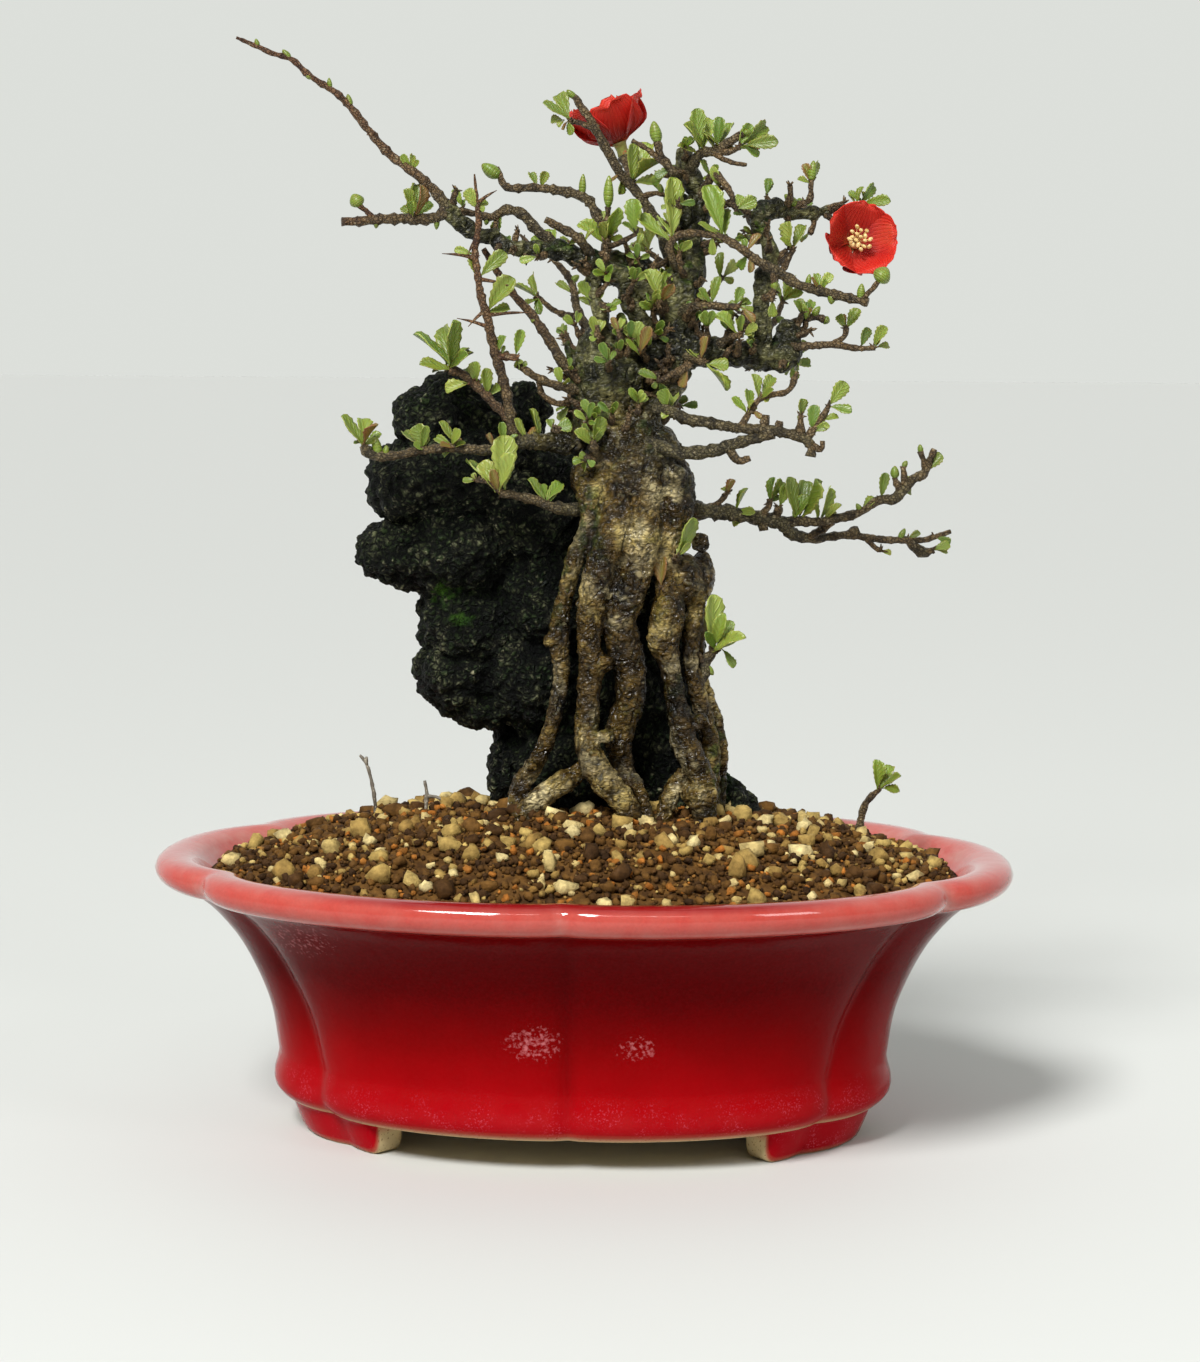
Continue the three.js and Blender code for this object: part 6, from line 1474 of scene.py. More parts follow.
@dataclass(frozen=True)
class Foliage:
    """Thin, glossy spring leaf: yellow-green, paler along its veins, flushed red where it is new."""

    fresh: Colour = (0.18, 0.26, 0.02, 1)
    deep: Colour = (0.05, 0.12, 0.008, 1)
    pale: Colour = (0.36, 0.42, 0.08, 1)
    flush: Colour = (0.2, 0.09, 0.025, 1)
    rib_count: float = 42.0
    rib_slant: float = 13.0
    midrib: float = 9.0

    def material(self) -> Material:
        """Makes the material, which reads the leaves' tint, flushed, across and along attributes."""
        paint = Paint("quince_leaf", Specular_IOR_Level=0.5, Subsurface_Weight=0.12, Subsurface_Scale=0.0008,
                      Coat_Weight=0.15, Coat_Roughness=0.3)
        colour = paint.ramp(paint.attribute("tint"), ((0.0, self.deep), (0.6, self.fresh), (1.0, self.pale)))
        across = paint.attribute("across")
        along = paint.attribute("along")
        run, slope = paint.times(along, self.rib_count), paint.times(across, self.rib_slant)
        slant = paint.maths("SUBTRACT", run, slope)
        ribs = paint.maths("POWER", paint.spread(paint.maths("SINE", slant), 0.5, 1.0), 7.0)
        midrib = paint.spread(paint.times(across, self.midrib), 1.0, 0.0)
        veins = paint.most(paint.times(ribs, 0.3), midrib)
        colour = paint.mix(paint.times(veins, 0.28), colour, self.pale)
        blotch = paint.mottle(330, 2.0)
        colour = paint.mix(paint.times(blotch, 0.3), colour, self.deep)
        edge = paint.maths("POWER", across, 6.0)
        colour = paint.mix(paint.times(edge, 0.6), colour, self.pale)
        flushed = paint.times(paint.attribute("flushed"), paint.spread(across, 0.55, 1.0))
        paint.feed("Base Color", paint.mix(flushed, colour, self.flush))
        paint.feed("Roughness", paint.spread(blotch, 0.34, 0.52))
        paint.bump(paint.most(ribs, midrib), 0.12)
        return paint.material


@dataclass(frozen=True)
class PetalSkin:
    """Satin red petal, deeper near its claw, with faint lengthwise veins."""

    length: Stops = ((0.0, (0.3, 0.04, 0.01, 1)), (0.25, (0.19, 0.0015, 0.0015, 1)),
                     (0.7, (0.4, 0.007, 0.004, 1)), (1.0, (0.56, 0.026, 0.013, 1)))
    vein: Colour = (0.35, 0.004, 0.008, 1)
    bloom: Colour = (0.75, 0.07, 0.03, 1)
    vein_count: float = 46.0

    def material(self) -> Material:
        """Makes the material, which reads the petals' along and across attributes."""
        paint = Paint("quince_petal", Specular_IOR_Level=0.3, Subsurface_Weight=0.15, Subsurface_Scale=0.001)
        colour = paint.ramp(paint.attribute("along"), self.length)
        wave = paint.maths("SINE", paint.times(paint.attribute("across"), self.vein_count))
        lines = paint.maths("POWER", paint.spread(wave, 0.5, 1.0), 3.0)
        colour = paint.mix(paint.times(lines, 0.22), colour, self.vein)
        blotch = paint.mottle(240, 2.0)
        paint.feed("Base Color", paint.mix(paint.times(blotch, 0.25), colour, self.bloom))
        paint.feed("Roughness", paint.spread(blotch, 0.4, 0.6))
        paint.bump(lines, 0.1)
        return paint.material


@dataclass(frozen=True)
class Speckled:
    """A small finish of one colour broken up by blotches and specks."""

    name: str
    dark: Colour
    light: Colour
    speck: Colour
    scale: float = 300.0
    rough: tuple[float, float] = (0.4, 0.65)
    depth: float = 0.3

    def material(self) -> Material:
        """Makes the material."""
        paint = Paint(self.name, Specular_IOR_Level=0.4)
        blotch = paint.mottle(self.scale, 2.4)
        colour = paint.between(blotch, self.dark, self.light)
        paint.feed("Base Color", paint.mix(paint.specks(self.scale * 3, 0.6, 0.08), colour, self.speck))
        paint.feed("Roughness", paint.spread(blotch, *self.rough))
        paint.bump(paint.relief(self.scale * 2, 3200, 0.5), self.depth)
        return paint.material


# Sub-assemblies

Grit = tuple[Vector, float]


def eased(value: float, low: float, high: float) -> float:
    """Runs smoothly from 0 at low to 1 at high."""
    share = min(1.0, max(0.0, (value - low) / (high - low)))
    return share * share * (3 - 2 * share)


@dataclass(frozen=True)
class LobedOutline:
    """The pot's oval plan, pinched in at six notches.

    Attributes:
        notches: The direction in degrees and the depth of each notch, as a share of the plan.
        spread: How wide a notch is, in radians.
        fullness: The power of the oval: 2 is an ellipse, more is fuller.
        swing: How far the corners turn towards the ends at the foot.
        swing_top: Height above which they don't.
        crease: Depth of the crease down the middle of a long side, as a share of the plan.
        crease_width: Its width, in radians.
    """

    notches: tuple[Row, ...] = ((30, 0.05), (90, 0.028), (150, 0.05), (210, 0.05), (270, 0.028), (330, 0.05))
    spread: float = 0.11
    fullness: float = 2.1
    swing: float = math.radians(7)
    swing_top: float = 50.0
    crease: float = 0.012
    crease_width: float = 0.03

    def pinch(self, angle: float) -> float:
        """Gives how deep the plan is pinched at an angle, from 0 to about 0.05."""
        depth = 0.0
        for degrees, cut in self.notches:
            apart = abs(math.remainder(angle - math.radians(degrees), math.tau))
            depth += cut * math.exp(-math.sqrt(apart * apart + 0.0001) / self.spread)
        return depth + self.crease * self.creased(angle)

    def creased(self, angle: float) -> float:
        """Gives 1 on the crease down the middle of a long side, running to 0 beside it."""
        return math.exp(-(math.remainder(angle - math.pi / 2, math.pi) / self.crease_width) ** 2)

    def point(self, angle: float, half_length: float, half_width: float, z: float,
              notch_share: float = 1) -> Vector:
        """Gives a point of the plan.

        Args:
            angle: Direction from the middle.
            half_length: Half the length without notches.
            half_width: Half the width without notches.
            z: Height.
            notch_share: How much of the notches' depth is used.

        Returns:
            The point in millimetres.
        """
        swung = angle + self.swing * max(0.0, 1 - z / self.swing_top) * math.sin(2 * angle)
        x, y = math.cos(swung), math.sin(swung)
        power = self.fullness
        reach = (1 - self.pinch(angle) * notch_share) / (abs(x) ** power + abs(y) ** power) ** (1 / power)
        return Vector((half_length * x * reach, half_width * y * reach, z))


OUTLINE = LobedOutline()
HOLE_PLACE = 34.0


@dataclass
class Pot:
    """The glazed pot: lobed wall, rolled rim, belt, four bracket feet and two drain holes.

    Attributes:
        segments: Faces round it.
        waver: How far the hand-made wall wavers, as a share of its size.
        hole_radius: Of a drain hole.
        hole_segments: Faces round a drain hole.
        belt_length: Half length of the belt, which the feet follow.
        belt_width: Half width of the belt.
        foot_thickness: Of a foot.
        foot_top: Height at which a foot meets the wall.
        rim_height: Height of the rim.
        ring_step: Spacing of the rings along the profile.
        straight_beyond: Length past which a run of the profile gets no ring between.
        roll_rise: Heights between which the rolled rim's colour sets in.
        crease_rise: Heights between which the crease's painted shade sets in.
        notch_depths: Depths of a notch between which its glaze thins.
        notch_rise: Heights between which it does.
        pool_lengths: Half lengths between which the glaze has pooled.
        pool_rise: Heights between which it has.
        pool_fade: Distances across between which the pooled glaze fades.
        profile: Half length, half width, height, thin glaze and bare clay, from the floor to the inside.
        wear_and_sheen_spots: Worn places and a painted sheen on the front: across, height, half width, half
            height and strength.
        foot_steps: Direction in degrees and height of the underside along a foot.
        foot_section: Share of the way up, share of the belt, set in by the thickness or not, thin
            glaze and bare clay, round a foot's section.
    """

    segments: int = 288
    waver: float = 0.0012
    hole_radius: float = 7.0
    hole_segments: int = 40
    belt_length: float = 83.4
    belt_width: float = 57.8
    foot_thickness: float = 8.5
    foot_top: float = 10.6
    rim_height: float = 74.6
    ring_step: float = 1.6
    straight_beyond: float = 15.0
    roll_rise: Row = (65.2, 67.6)
    crease_rise: Row = (8, 26)
    notch_depths: Row = (0.022, 0.044)
    notch_rise: Row = (62, 66)
    pool_lengths: Row = (112.8, 114.9)
    pool_rise: Row = (71, 72.6)
    pool_fade: Row = (40, 85)
    profile: list[Row] = field(default_factory=lambda: [
        [20, 14, 8.6, 0, 1], [60, 40, 8.6, 0, 1], [78.6, 54.4, 8.6, 0, 1], [79.6, 55.2, 8.9, 0, 0.8],
        [81.6, 56.6, 10.2, 0.5, 0.1], [83.2, 57.7, 12.2, 0.8, 0], [83.5, 57.9, 13.9, 0.9, 0],
        [83.3, 57.7, 16, 0.8, 0], [82.6, 57.3, 18.4, 0.6, 0], [82.2, 57.1, 20.4, 0.2, 0],
        [82.4, 57.3, 23, 0, 0], [84.1, 58.8, 33, 0, 0], [87.4, 61.5, 42, 0, 0], [92.7, 65.9, 52, 0, 0],
        [99.2, 71.6, 60, 0, 0], [104.4, 76.2, 64.4, 0, 0], [107.6, 78.8, 66, 0.1, 0],
        [111.4, 81.6, 66.7, 0.5, 0], [114.2, 83.8, 68.6, 0.3, 0], [115.1, 84.6, 71, 0.2, 0],
        [114.4, 84.2, 72.8, 0.3, 0], [112.6, 82.7, 74.1, 0.55, 0], [110, 80.4, 74.6, 0.5, 0],
        [107, 77.8, 74.4, 0.6, 0], [104.4, 75.2, 73.3, 0.95, 0], [102.4, 73.1, 71.2, 0.7, 0],
        [100.2, 71, 68.6, 0.1, 0], [92.5, 64.3, 60, 0, 0], [85, 58, 50, 0, 0.5], [76.5, 51.4, 30, 0, 1],
        [71, 46.5, 15.4, 0, 1], [69.6, 45.2, 15, 0, 1], [40, 28, 15, 0, 1], [16, 12, 15, 0, 1]])
    wear_and_sheen_spots: list[Row] = field(default_factory=lambda: [
        [-12, 35, 12, 8, 1], [14.2, 34, 9, 6, 0.85], [-72, 60, 18, 10, 0.7]])
    foot_steps: list[Row] = field(default_factory=lambda: [
        [5.9, 8.8], [6.1, 5], [6.6, 1.6], [7.3, 0.4], [8.6, 0], [13, 0], [18, 0], [22, 0], [26, 0], [30, 0],
        [34, 0], [37, 0], [38.8, 0], [40, 0.3], [41, 1.2], [41.7, 3], [42.1, 5.5], [42.4, 8.8]])
    foot_section: list[Row] = field(default_factory=lambda: [
        [1, 0.95, 0, 0, 0], [0.72, 0.94, 0, 0, 0], [0.4, 0.925, 0, 0, 0], [0.16, 0.912, 0, 0.3, 0],
        [0.05, 0.904, 0, 0.6, 0.2], [0, 0.893, 0, 0.2, 1], [0, 0.915, 1, 0, 1], [0.06, 0.908, 1, 0, 1],
        [0.5, 0.915, 1, 0, 1], [1, 0.935, 1, 0, 1]])

    def drawn_rings(self) -> list[list[float]]:
        """Runs a smooth line through the profile, ring by ring."""
        rings: list[list[float]] = []
        rows = self.profile
        for i in range(len(rows) - 1):
            before, start = rows[max(i - 1, 0)], rows[i]
            end, after = rows[i + 1], rows[min(i + 2, len(rows) - 1)]
            reach = math.dist(start[:3], end[:3])
            count = 1 if reach > self.straight_beyond else max(1, round(reach / self.ring_step))
            for k in range(count):
                t = k / count
                rings.append([
                    0.5 * (2 * b + (c - a) * t + (2 * a - 5 * b + 4 * c - d) * t * t
                           + (3 * b - a - 3 * c + d) * t ** 3) if count > 1 else b
                    for a, b, c, d in zip(before, start, end, after)])
        rings.append(list(rows[-1]))
        return rings

    def body(self) -> BMesh:
        """Builds the lobed wall, floor and rim as one closed skin."""
        bm = bmesh.new()
        thin, bare, pool, turn = stored(bm, "thin", "bare", "pool", "turn")
        ring = bmesh.ops.create_circle(bm, cap_ends=True, radius=1, segments=self.segments)["verts"]
        for vert in ring:
            vert[turn] = math.atan2(vert.co.y, vert.co.x)
        edges = loop_of(ring)
        for index, (length, width, z, glaze, clay) in enumerate(self.drawn_rings()):
            if index:
                ring, edges = extended(bm, edges)
            for vert in ring:
                angle = vert[turn]
                way = Vector((math.cos(angle) * 2, math.sin(angle) * 2, z / 30))
                waver = 1 + self.waver * noise.noise(way)
                vert.co = OUTLINE.point(angle, length * waver, width * waver, z, min(1.0, length / 70))
                notched = eased(OUTLINE.pinch(angle), *self.notch_depths) * eased(z, *self.notch_rise)
                vert[thin] = max(glaze, 0.8 * notched * (1 - clay))
                vert[bare] = clay
                vert[pool] = (1 - eased(length, *self.pool_lengths)) * eased(z, *self.pool_rise)
        bmesh.ops.contextual_create(bm, geom=edges)
        bm.verts.layers.float.remove(turn)
        return bm

    def foot(self) -> BMesh:
        """Builds one bracket foot round a side notch by drawing its section along the outline."""
        bm = bmesh.new()
        thin, bare = stored(bm, "thin", "bare")
        order = bm.verts.layers.int.new("order")
        ring = bmesh.ops.create_circle(bm, cap_ends=True, radius=1, segments=len(self.foot_section))["verts"]
        for i, vert in enumerate(sorted(ring, key=lambda v: math.atan2(v.co.y, v.co.x))):
            vert[order] = i
        edges = loop_of(ring)
        for step, (degrees, ground) in enumerate(self.foot_steps):
            if step:
                ring, edges = extended(bm, edges)
            angle = math.radians(degrees)
            for vert in ring:
                rise, share, inner, glaze, clay = self.foot_section[vert[order]]
                set_in = self.foot_thickness * inner
                length, width = (size * share - set_in for size in (self.belt_length, self.belt_width))
                vert.co = OUTLINE.point(angle, length, width, ground + (self.foot_top - ground) * rise)
                vert[thin] = glaze
                vert[bare] = clay
        bmesh.ops.contextual_create(bm, geom=edges)
        bm.verts.layers.int.remove(order)
        return bm

    def build(self) -> bpy.types.Object:
        """Joins body and feet, cuts the drain holes and glazes the pot."""
        whole = self.body()
        for flip_x, flip_y in ((1, 1), (-1, 1), (-1, -1), (1, -1)):
            part = self.foot()
            bmesh.ops.scale(part, vec=(flip_x, flip_y, 1), verts=part.verts)
            merge_into(whole, part)
        bmesh.ops.recalc_face_normals(whole, faces=whole.faces)
        whole = self.drained(whole)
        tall, roll, wear_and_sheen, crease = stored(whole, "tall", "roll", "wear_and_sheen", "crease")
        pool = whole.verts.layers.float["pool"]
        for vert in whole.verts:
            angle = math.atan2(vert.co.y, vert.co.x)
            # Painted shade down the creases.
            vert[crease] = OUTLINE.creased(angle) * eased(vert.co.z, *self.crease_rise)
            # tall drives the painted shade that darkens the wall towards the rim.
            vert[tall] = min(1.0, max(0.0, vert.co.z / self.rim_height))
            vert[roll] = eased(vert.co.z, *self.roll_rise)
            along = vert.co.dot(VIEW.across)
            vert[pool] *= 1 - 0.85 * eased(abs(along), *self.pool_fade)
            # Worn places and a painted sheen on the front.
            if vert.co.dot(VIEW.to_viewer) > 0:
                vert[wear_and_sheen] = max(
                    strength * (1 - eased(math.hypot((along - u) / wide, (vert.co.z - z) / high), 0.3, 1))
                    for u, z, wide, high, strength in self.wear_and_sheen_spots)
        return finish_piece("pot_glazed", whole, Glaze().material(), ["pot"])

    def drained(self, bm: BMesh) -> BMesh:
        """Cuts the two drain holes through the floor.

        Args:
            bm: The pot without holes, which is freed.

        Returns:
            The pot with its holes.
        """
        holder = placed("wall", mesh_from(bm, "wall"))
        drill = bmesh.new()
        for x in (-HOLE_PLACE, HOLE_PLACE):
            bmesh.ops.create_cone(drill, cap_ends=True, segments=self.hole_segments, radius1=self.hole_radius,
                                  radius2=self.hole_radius, depth=14, matrix=Matrix.Translation((x, 0, 12)))
        cutter = placed("drill", mesh_from(drill, "drill"))
        cut = holder.modifiers.new("drain", "BOOLEAN")
        cut.operation = "DIFFERENCE"
        cut.solver = "EXACT"
        cut.use_self = True
        cut.object = cutter
        drilled = applied(holder)
        discard(cutter)
        return drilled


@dataclass
class DrainScreen:
    """A square of plastic netting that lies over a drain hole, inside the pot."""

    name: str
    x: float
    size: float = 22.0
    cells: int = 6
    bar: float = 1.1
    thickness: float = 1.2
    bottom: float = 15.3

    def build(self) -> bpy.types.Object:
        """Builds the netting by insetting a grid's cells and taking them out."""
        bm = bmesh.new()
        bmesh.ops.create_grid(bm, x_segments=self.cells, y_segments=self.cells, size=self.size / 2)
        bars = set(bmesh.ops.inset_individual(bm, faces=bm.faces[:], thickness=self.bar / 2)["faces"])
        bmesh.ops.delete(bm, geom=[face for face in bm.faces if face not in bars], context="FACES")
        made = bmesh.ops.extrude_face_region(bm, geom=bm.faces[:])["geom"]
        upper = [g for g in made if isinstance(g, BMVert)]
        bmesh.ops.translate(bm, vec=(0, 0, self.thickness), verts=upper)
        bmesh.ops.translate(bm, vec=(self.x, 0, self.bottom), verts=bm.verts)
        bmesh.ops.recalc_face_normals(bm, faces=bm.faces)
        plastic = Speckled("netting", (0.012, 0.013, 0.014, 1), (0.03, 0.032, 0.034, 1),
                           (0.07, 0.06, 0.05, 1))
        return finish_piece(f"{self.name}_netting", bm, plastic.material(), [self.name],
                            smooth=False)


class GrainForm(Enum):
    """The forms of grain."""

    LUMP = "lump"
    CRUMB = "crumb"


@dataclass(frozen=True)
class GrainSize:
    """One size of grain in the soil.

    Attributes:
        name: Its name.
        form: Its form.
        count: How many lie on the mound.
        sizes: Least and greatest half size.
        spacing: Share of two grains' half sizes that keeps them apart.
        lean: How much rather they lie near the rim, from 0 to 1.
        sunk: Share of the half size that lies below the surface.
        tints: Rows of a chance, added up, with the least and greatest tint drawn there.
    """

    name: str
    form: GrainForm
    count: int
    sizes: Row
    spacing: float
    lean: float
    sunk: float
    tints: tuple[Row, ...]

    def tint(self, draw: random.Random) -> float:
        """Draws one grain's tint."""
        kind = draw.random()
        return next(draw.uniform(low, high) for chance, low, high in self.tints if kind < chance)


@dataclass
class SoilBed:
    """The mound of soil that fills the pot, with loose grains pressed into its top.

    Attributes:
        edge: Height of its edge.
        rise: How much higher its middle stands.
        shoulder: How flat its top is.
        half_length: Half its length at the edge.
        half_width: Half its width there.
        walls: Half length, half width and height down the pot's inner wall.
        segments: Faces round it.
        rings: Rings over its top.
        ripple: Size and height of the mound's unevenness.
        crumb_size: Size of the crumbs on its surface.
        crumb_height: Their height.
        crumb_sunk: How far they lie below it.
        rock_place: Middle and half sizes of the oval under the rock that is left free of grains.
        grain_sizes: From coarse pumice and dark crumbs to fine, nearly all dark grit.
        tones: Colours of the grains, from dark crumbs to cream pumice.
        seed: Of every draw.
    """

    edge: float = 69.6
    rise: float = 16.4
    shoulder: float = 2.8
    half_length: float = 100.4
    half_width: float = 70.9
    walls: list[Row] = field(default_factory=lambda: [
        [70.2, 45.7, 16.6], [75.7, 50.6, 30], [84.2, 57.2, 50], [91.7, 63.5, 60], [100.4, 70.9, 69.3]])
    segments: int = 216
    rings: int = 62
    ripple: Row = (11, 1.5)
    crumb_size: float = 2.6
    crumb_height: float = 1.2
    crumb_sunk: float = 0.9
    rock_place: Row = (12, 17, 33, 17)
    grain_sizes: tuple[GrainSize, ...] = (
        GrainSize("coarse", GrainForm.LUMP, 440, (1.4, 3.5), 0.85, 0.3, 0.35,
                  ((0.52, 0.66, 1.0), (1, 0.1, 0.36))),
        GrainSize("medium", GrainForm.LUMP, 2300, (0.9, 1.6), 0.7, 0.1, 0.3,
                  ((0.72, 0.04, 0.36), (0.84, 0.42, 0.54), (1, 0.6, 0.95))),
        GrainSize("fine", GrainForm.CRUMB, 5200, (0.45, 0.85), 0.6, 0.0, 0.2,
                  ((0.88, 0.06, 0.36), (1, 0.42, 0.85))))
    tones: Stops = (
        (0.0, (0.024, 0.01, 0.002, 1)), (0.18, (0.075, 0.033, 0.006, 1)), (0.36, (0.17, 0.082, 0.015, 1)),
        (0.5, (0.42, 0.15, 0.02, 1)), (0.64, (0.26, 0.15, 0.035, 1)), (0.82, (0.5, 0.36, 0.11, 1)),
        (1.0, (0.74, 0.62, 0.3, 1)))
    seed: int = 11

    def height(self, x: float, y: float) -> float:
        """Gives the mound's height over a point."""
        share = self.share(x, y)
        lift = 1 - min(1.0, share) ** self.shoulder
        size, tall = self.ripple
        ripple = layered(Vector((x, y, 3)), size, 3) * tall * min(1.0, 4 * (1 - share) + 0.15)
        return self.edge + self.rise * lift + ripple

    def share(self, x: float, y: float) -> float:
        """Gives how far out a point lies, from 0 in the middle to 1 at the pot's wall."""
        angle = math.atan2(y / self.half_width, x / self.half_length)
        wall = OUTLINE.point(angle, self.half_length, self.half_width, self.edge)
        return math.hypot(x, y) / max(1e-6, math.hypot(wall.x, wall.y))

    def bed(self) -> BMesh:
        """Builds the mound as one closed skin that follows the pot's inner wall."""
        bm = bmesh.new()
        turn, = stored(bm, "turn")
        ring = bmesh.ops.create_circle(bm, cap_ends=True, radius=1, segments=self.segments)["verts"]
        for vert in ring:
            vert[turn] = math.atan2(vert.co.y, vert.co.x)
        edges = loop_of(ring)
        rows = [(length, width, z, 1.0) for length, width, z in self.walls]
        rows += [(self.half_length, self.half_width, None, 1 - k / (self.rings + 1))
                 for k in range(1, self.rings + 1)]
        for index, (length, width, z, share) in enumerate(rows):
            if index:
                ring, edges = extended(bm, edges)
            for vert in ring:
                point = OUTLINE.point(vert[turn], length * share, width * share, z or self.edge, share)
                vert.co = (point.x, point.y, self.height(point.x, point.y) if z is None else z)
        bmesh.ops.contextual_create(bm, geom=edges)
        bmesh.ops.recalc_face_normals(bm, faces=bm.faces)
        bm.verts.layers.float.remove(turn)
        tint, = stored(bm, "tint")
        for vert in bm.verts:
            if vert.co.z > self.edge:
                bumps = knobs(vert.co + Vector((0, 0, 40)), self.crumb_size)
                vert.co.z += self.crumb_height * bumps - self.crumb_sunk
                # The bed's tint is darkest in the gaps between its crumbs and lighter on their tops: painted
                # shade in the gaps.
                vert[tint] = 0.1 + 0.25 * bumps
        return bm

    @staticmethod
    def grain_shape(seed: int) -> Mesh:
        """Makes one lumpy grain of a few dozen faces.

        Args:
            seed: Of its dents.

        Returns:
            The grain.
        """
        def build(bm: BMesh) -> None:
            """Draws a cube, cuts its faces once and rounds it unevenly.

            Args:
                bm: Mesh that gets the grain.
            """
            bmesh.ops.create_cube(bm, size=1.2)
            bmesh.ops.subdivide_edges(bm, edges=bm.edges[:], cuts=1, use_grid_fill=True)
            for vert in bm.verts:
                way = vert.co.normalized()
                dent = noise.noise(way * 1.9 + Vector((seed * 7.3, 0, 0)))
                vert.co = vert.co.lerp(way, 0.5) * (1 + 0.6 * dent)
        return mesh_of(build, f"grain_{seed}")

    @staticmethod
    def crumb_shape(seed: int) -> Mesh:
        """Makes one crumb of twenty faces.

        Args:
            seed: Of its dents.

        Returns:
            The crumb.
        """
        def build(bm: BMesh) -> None:
            """Draws a coarse ball and dents it."""
            bmesh.ops.create_icosphere(bm, subdivisions=1, radius=1)
            for vert in bm.verts:
                vert.co *= 1 + 0.45 * noise.noise(vert.co * 1.3 + Vector((seed * 5.1, 2, 0)))
        return mesh_of(build, f"crumb_{seed}")

    def scattered(self, grain: GrainSize, draw: random.Random) -> list[Grit]:
        """Draws places for one size of grain, none closer than its spacing.

        Args:
            grain: The size of grain.
            draw: Seeded source.

        Returns:
            Each grain's place and half size.
        """
        least, most = grain.sizes
        sown: list[Grit] = []
        cells: dict[tuple[int, int], list[Grit]] = {}
        for _ in range(grain.count * 6):
            if len(sown) == grain.count:
                break
            size = least + (most - least) * draw.random() ** 1.6
            share = (draw.random() ** (0.5 - 0.28 * grain.lean)) * (1 - (size + 0.4) / self.half_width)
            spot = OUTLINE.point(draw.uniform(-math.pi, math.pi), self.half_length * share,
                                 self.half_width * share, self.edge, share)
            across, deep, long, wide = self.rock_place
            if ((spot.x - across) / long) ** 2 + ((spot.y - deep) / wide) ** 2 < 0.75:
                continue
            spot.z = self.height(spot.x, spot.y)
            column, row = int(spot.x // 8), int(spot.y // 8)
            near = [g for i in (-1, 0, 1) for j in (-1, 0, 1) for g in cells.get((column + i, row + j), [])]
            if any((spot - other).length < (size + reach) * grain.spacing for other, reach in near):
                continue
            cells.setdefault((column, row), []).append((spot, size))
            sown.append((spot, size))
        return sown

    @staticmethod
    def grains(grain: GrainSize, shapes: list[Mesh], places: list[Grit], draw: random.Random) -> BMesh:
        """Presses grains of one size into the mound.

        Args:
            grain: The size of grain.
            shapes: Shapes to choose from.
            places: Each grain's place and half size.
            draw: Seeded source.

        Returns:
            One mesh of all the grains.
        """
        bm = bmesh.new()
        tint, = stored(bm, "tint")
        for spot, size in places:
            turn = draw.uniform(0, math.tau)
            turned = Matrix.Rotation(turn, 4, Vector((draw.uniform(-1, 1), draw.uniform(-1, 1), 1)))
            long, wide = draw.uniform(0.85, 1.3), draw.uniform(0.6, 1.0)
            squashed = Matrix.Diagonal((size * long, size * wide, size * 0.8, 1))
            place = Matrix.Translation(spot + Vector((0, 0, size * (0.7 - grain.sunk)))) @ turned @ squashed
            own = grain.tint(draw)
            for vert in stamp(bm, draw.choice(shapes), place):
                vert[tint] = own
        return bm

    def build(self) -> list[bpy.types.Object]:
        """Builds the mound and its three sizes of grain."""
        draw = draws(self.seed)
        bed_finish = Grain("soil_bed", self.tones).material()
        finish = Grain("soil_grain", self.tones).material()
        shapes = {GrainForm.LUMP: [self.grain_shape(seed) for seed in range(9)],
                  GrainForm.CRUMB: [self.crumb_shape(seed) for seed in range(7)]}
        places = [self.scattered(grain, draw) for grain in self.grain_sizes]
        pieces = [finish_piece("soil_bed", self.bed(), bed_finish, ["soil"])]
        for grain, spots in zip(self.grain_sizes, places):
            grains = self.grains(grain, shapes[grain.form], spots, draw)
            pieces.append(finish_piece(f"soil_{grain.name}_grains", grains, finish, ["soil"]))
        return pieces


def lump_matrix(row: Row) -> Matrix:
    """Gives the matrix that carries a unit ball to a lump of the tables."""
    u, z, depth, wide, tall, deep = row
    return axes_at(VIEW.at(u, z, depth), VIEW.across * wide, VIEW.to_viewer * deep, Vector((0, 0, tall)))


def seen_reach(point: Vector, spots: Sequence[Row]) -> float:
    """Tells how far a point lies from a table's spots, seen from the front.

    Args:
        point: The point.
        spots: Each spot's place across, height, half width and half height.

    Returns:
        The distance to the nearest spot's middle, which is 1 at the spot's edge.
    """
    along = point.dot(VIEW.across)
    return min(math.hypot((along - u) / wide, (point.z - z) / tall) for u, z, wide, tall in spots)


def smoothed(bm: BMesh) -> None:
    """Takes the steps out of a melted skin and works out its normals."""
    bmesh.ops.smooth_vert(bm, verts=bm.verts, factor=0.5, use_axis_x=True, use_axis_y=True, use_axis_z=True)
    bm.normal_update()


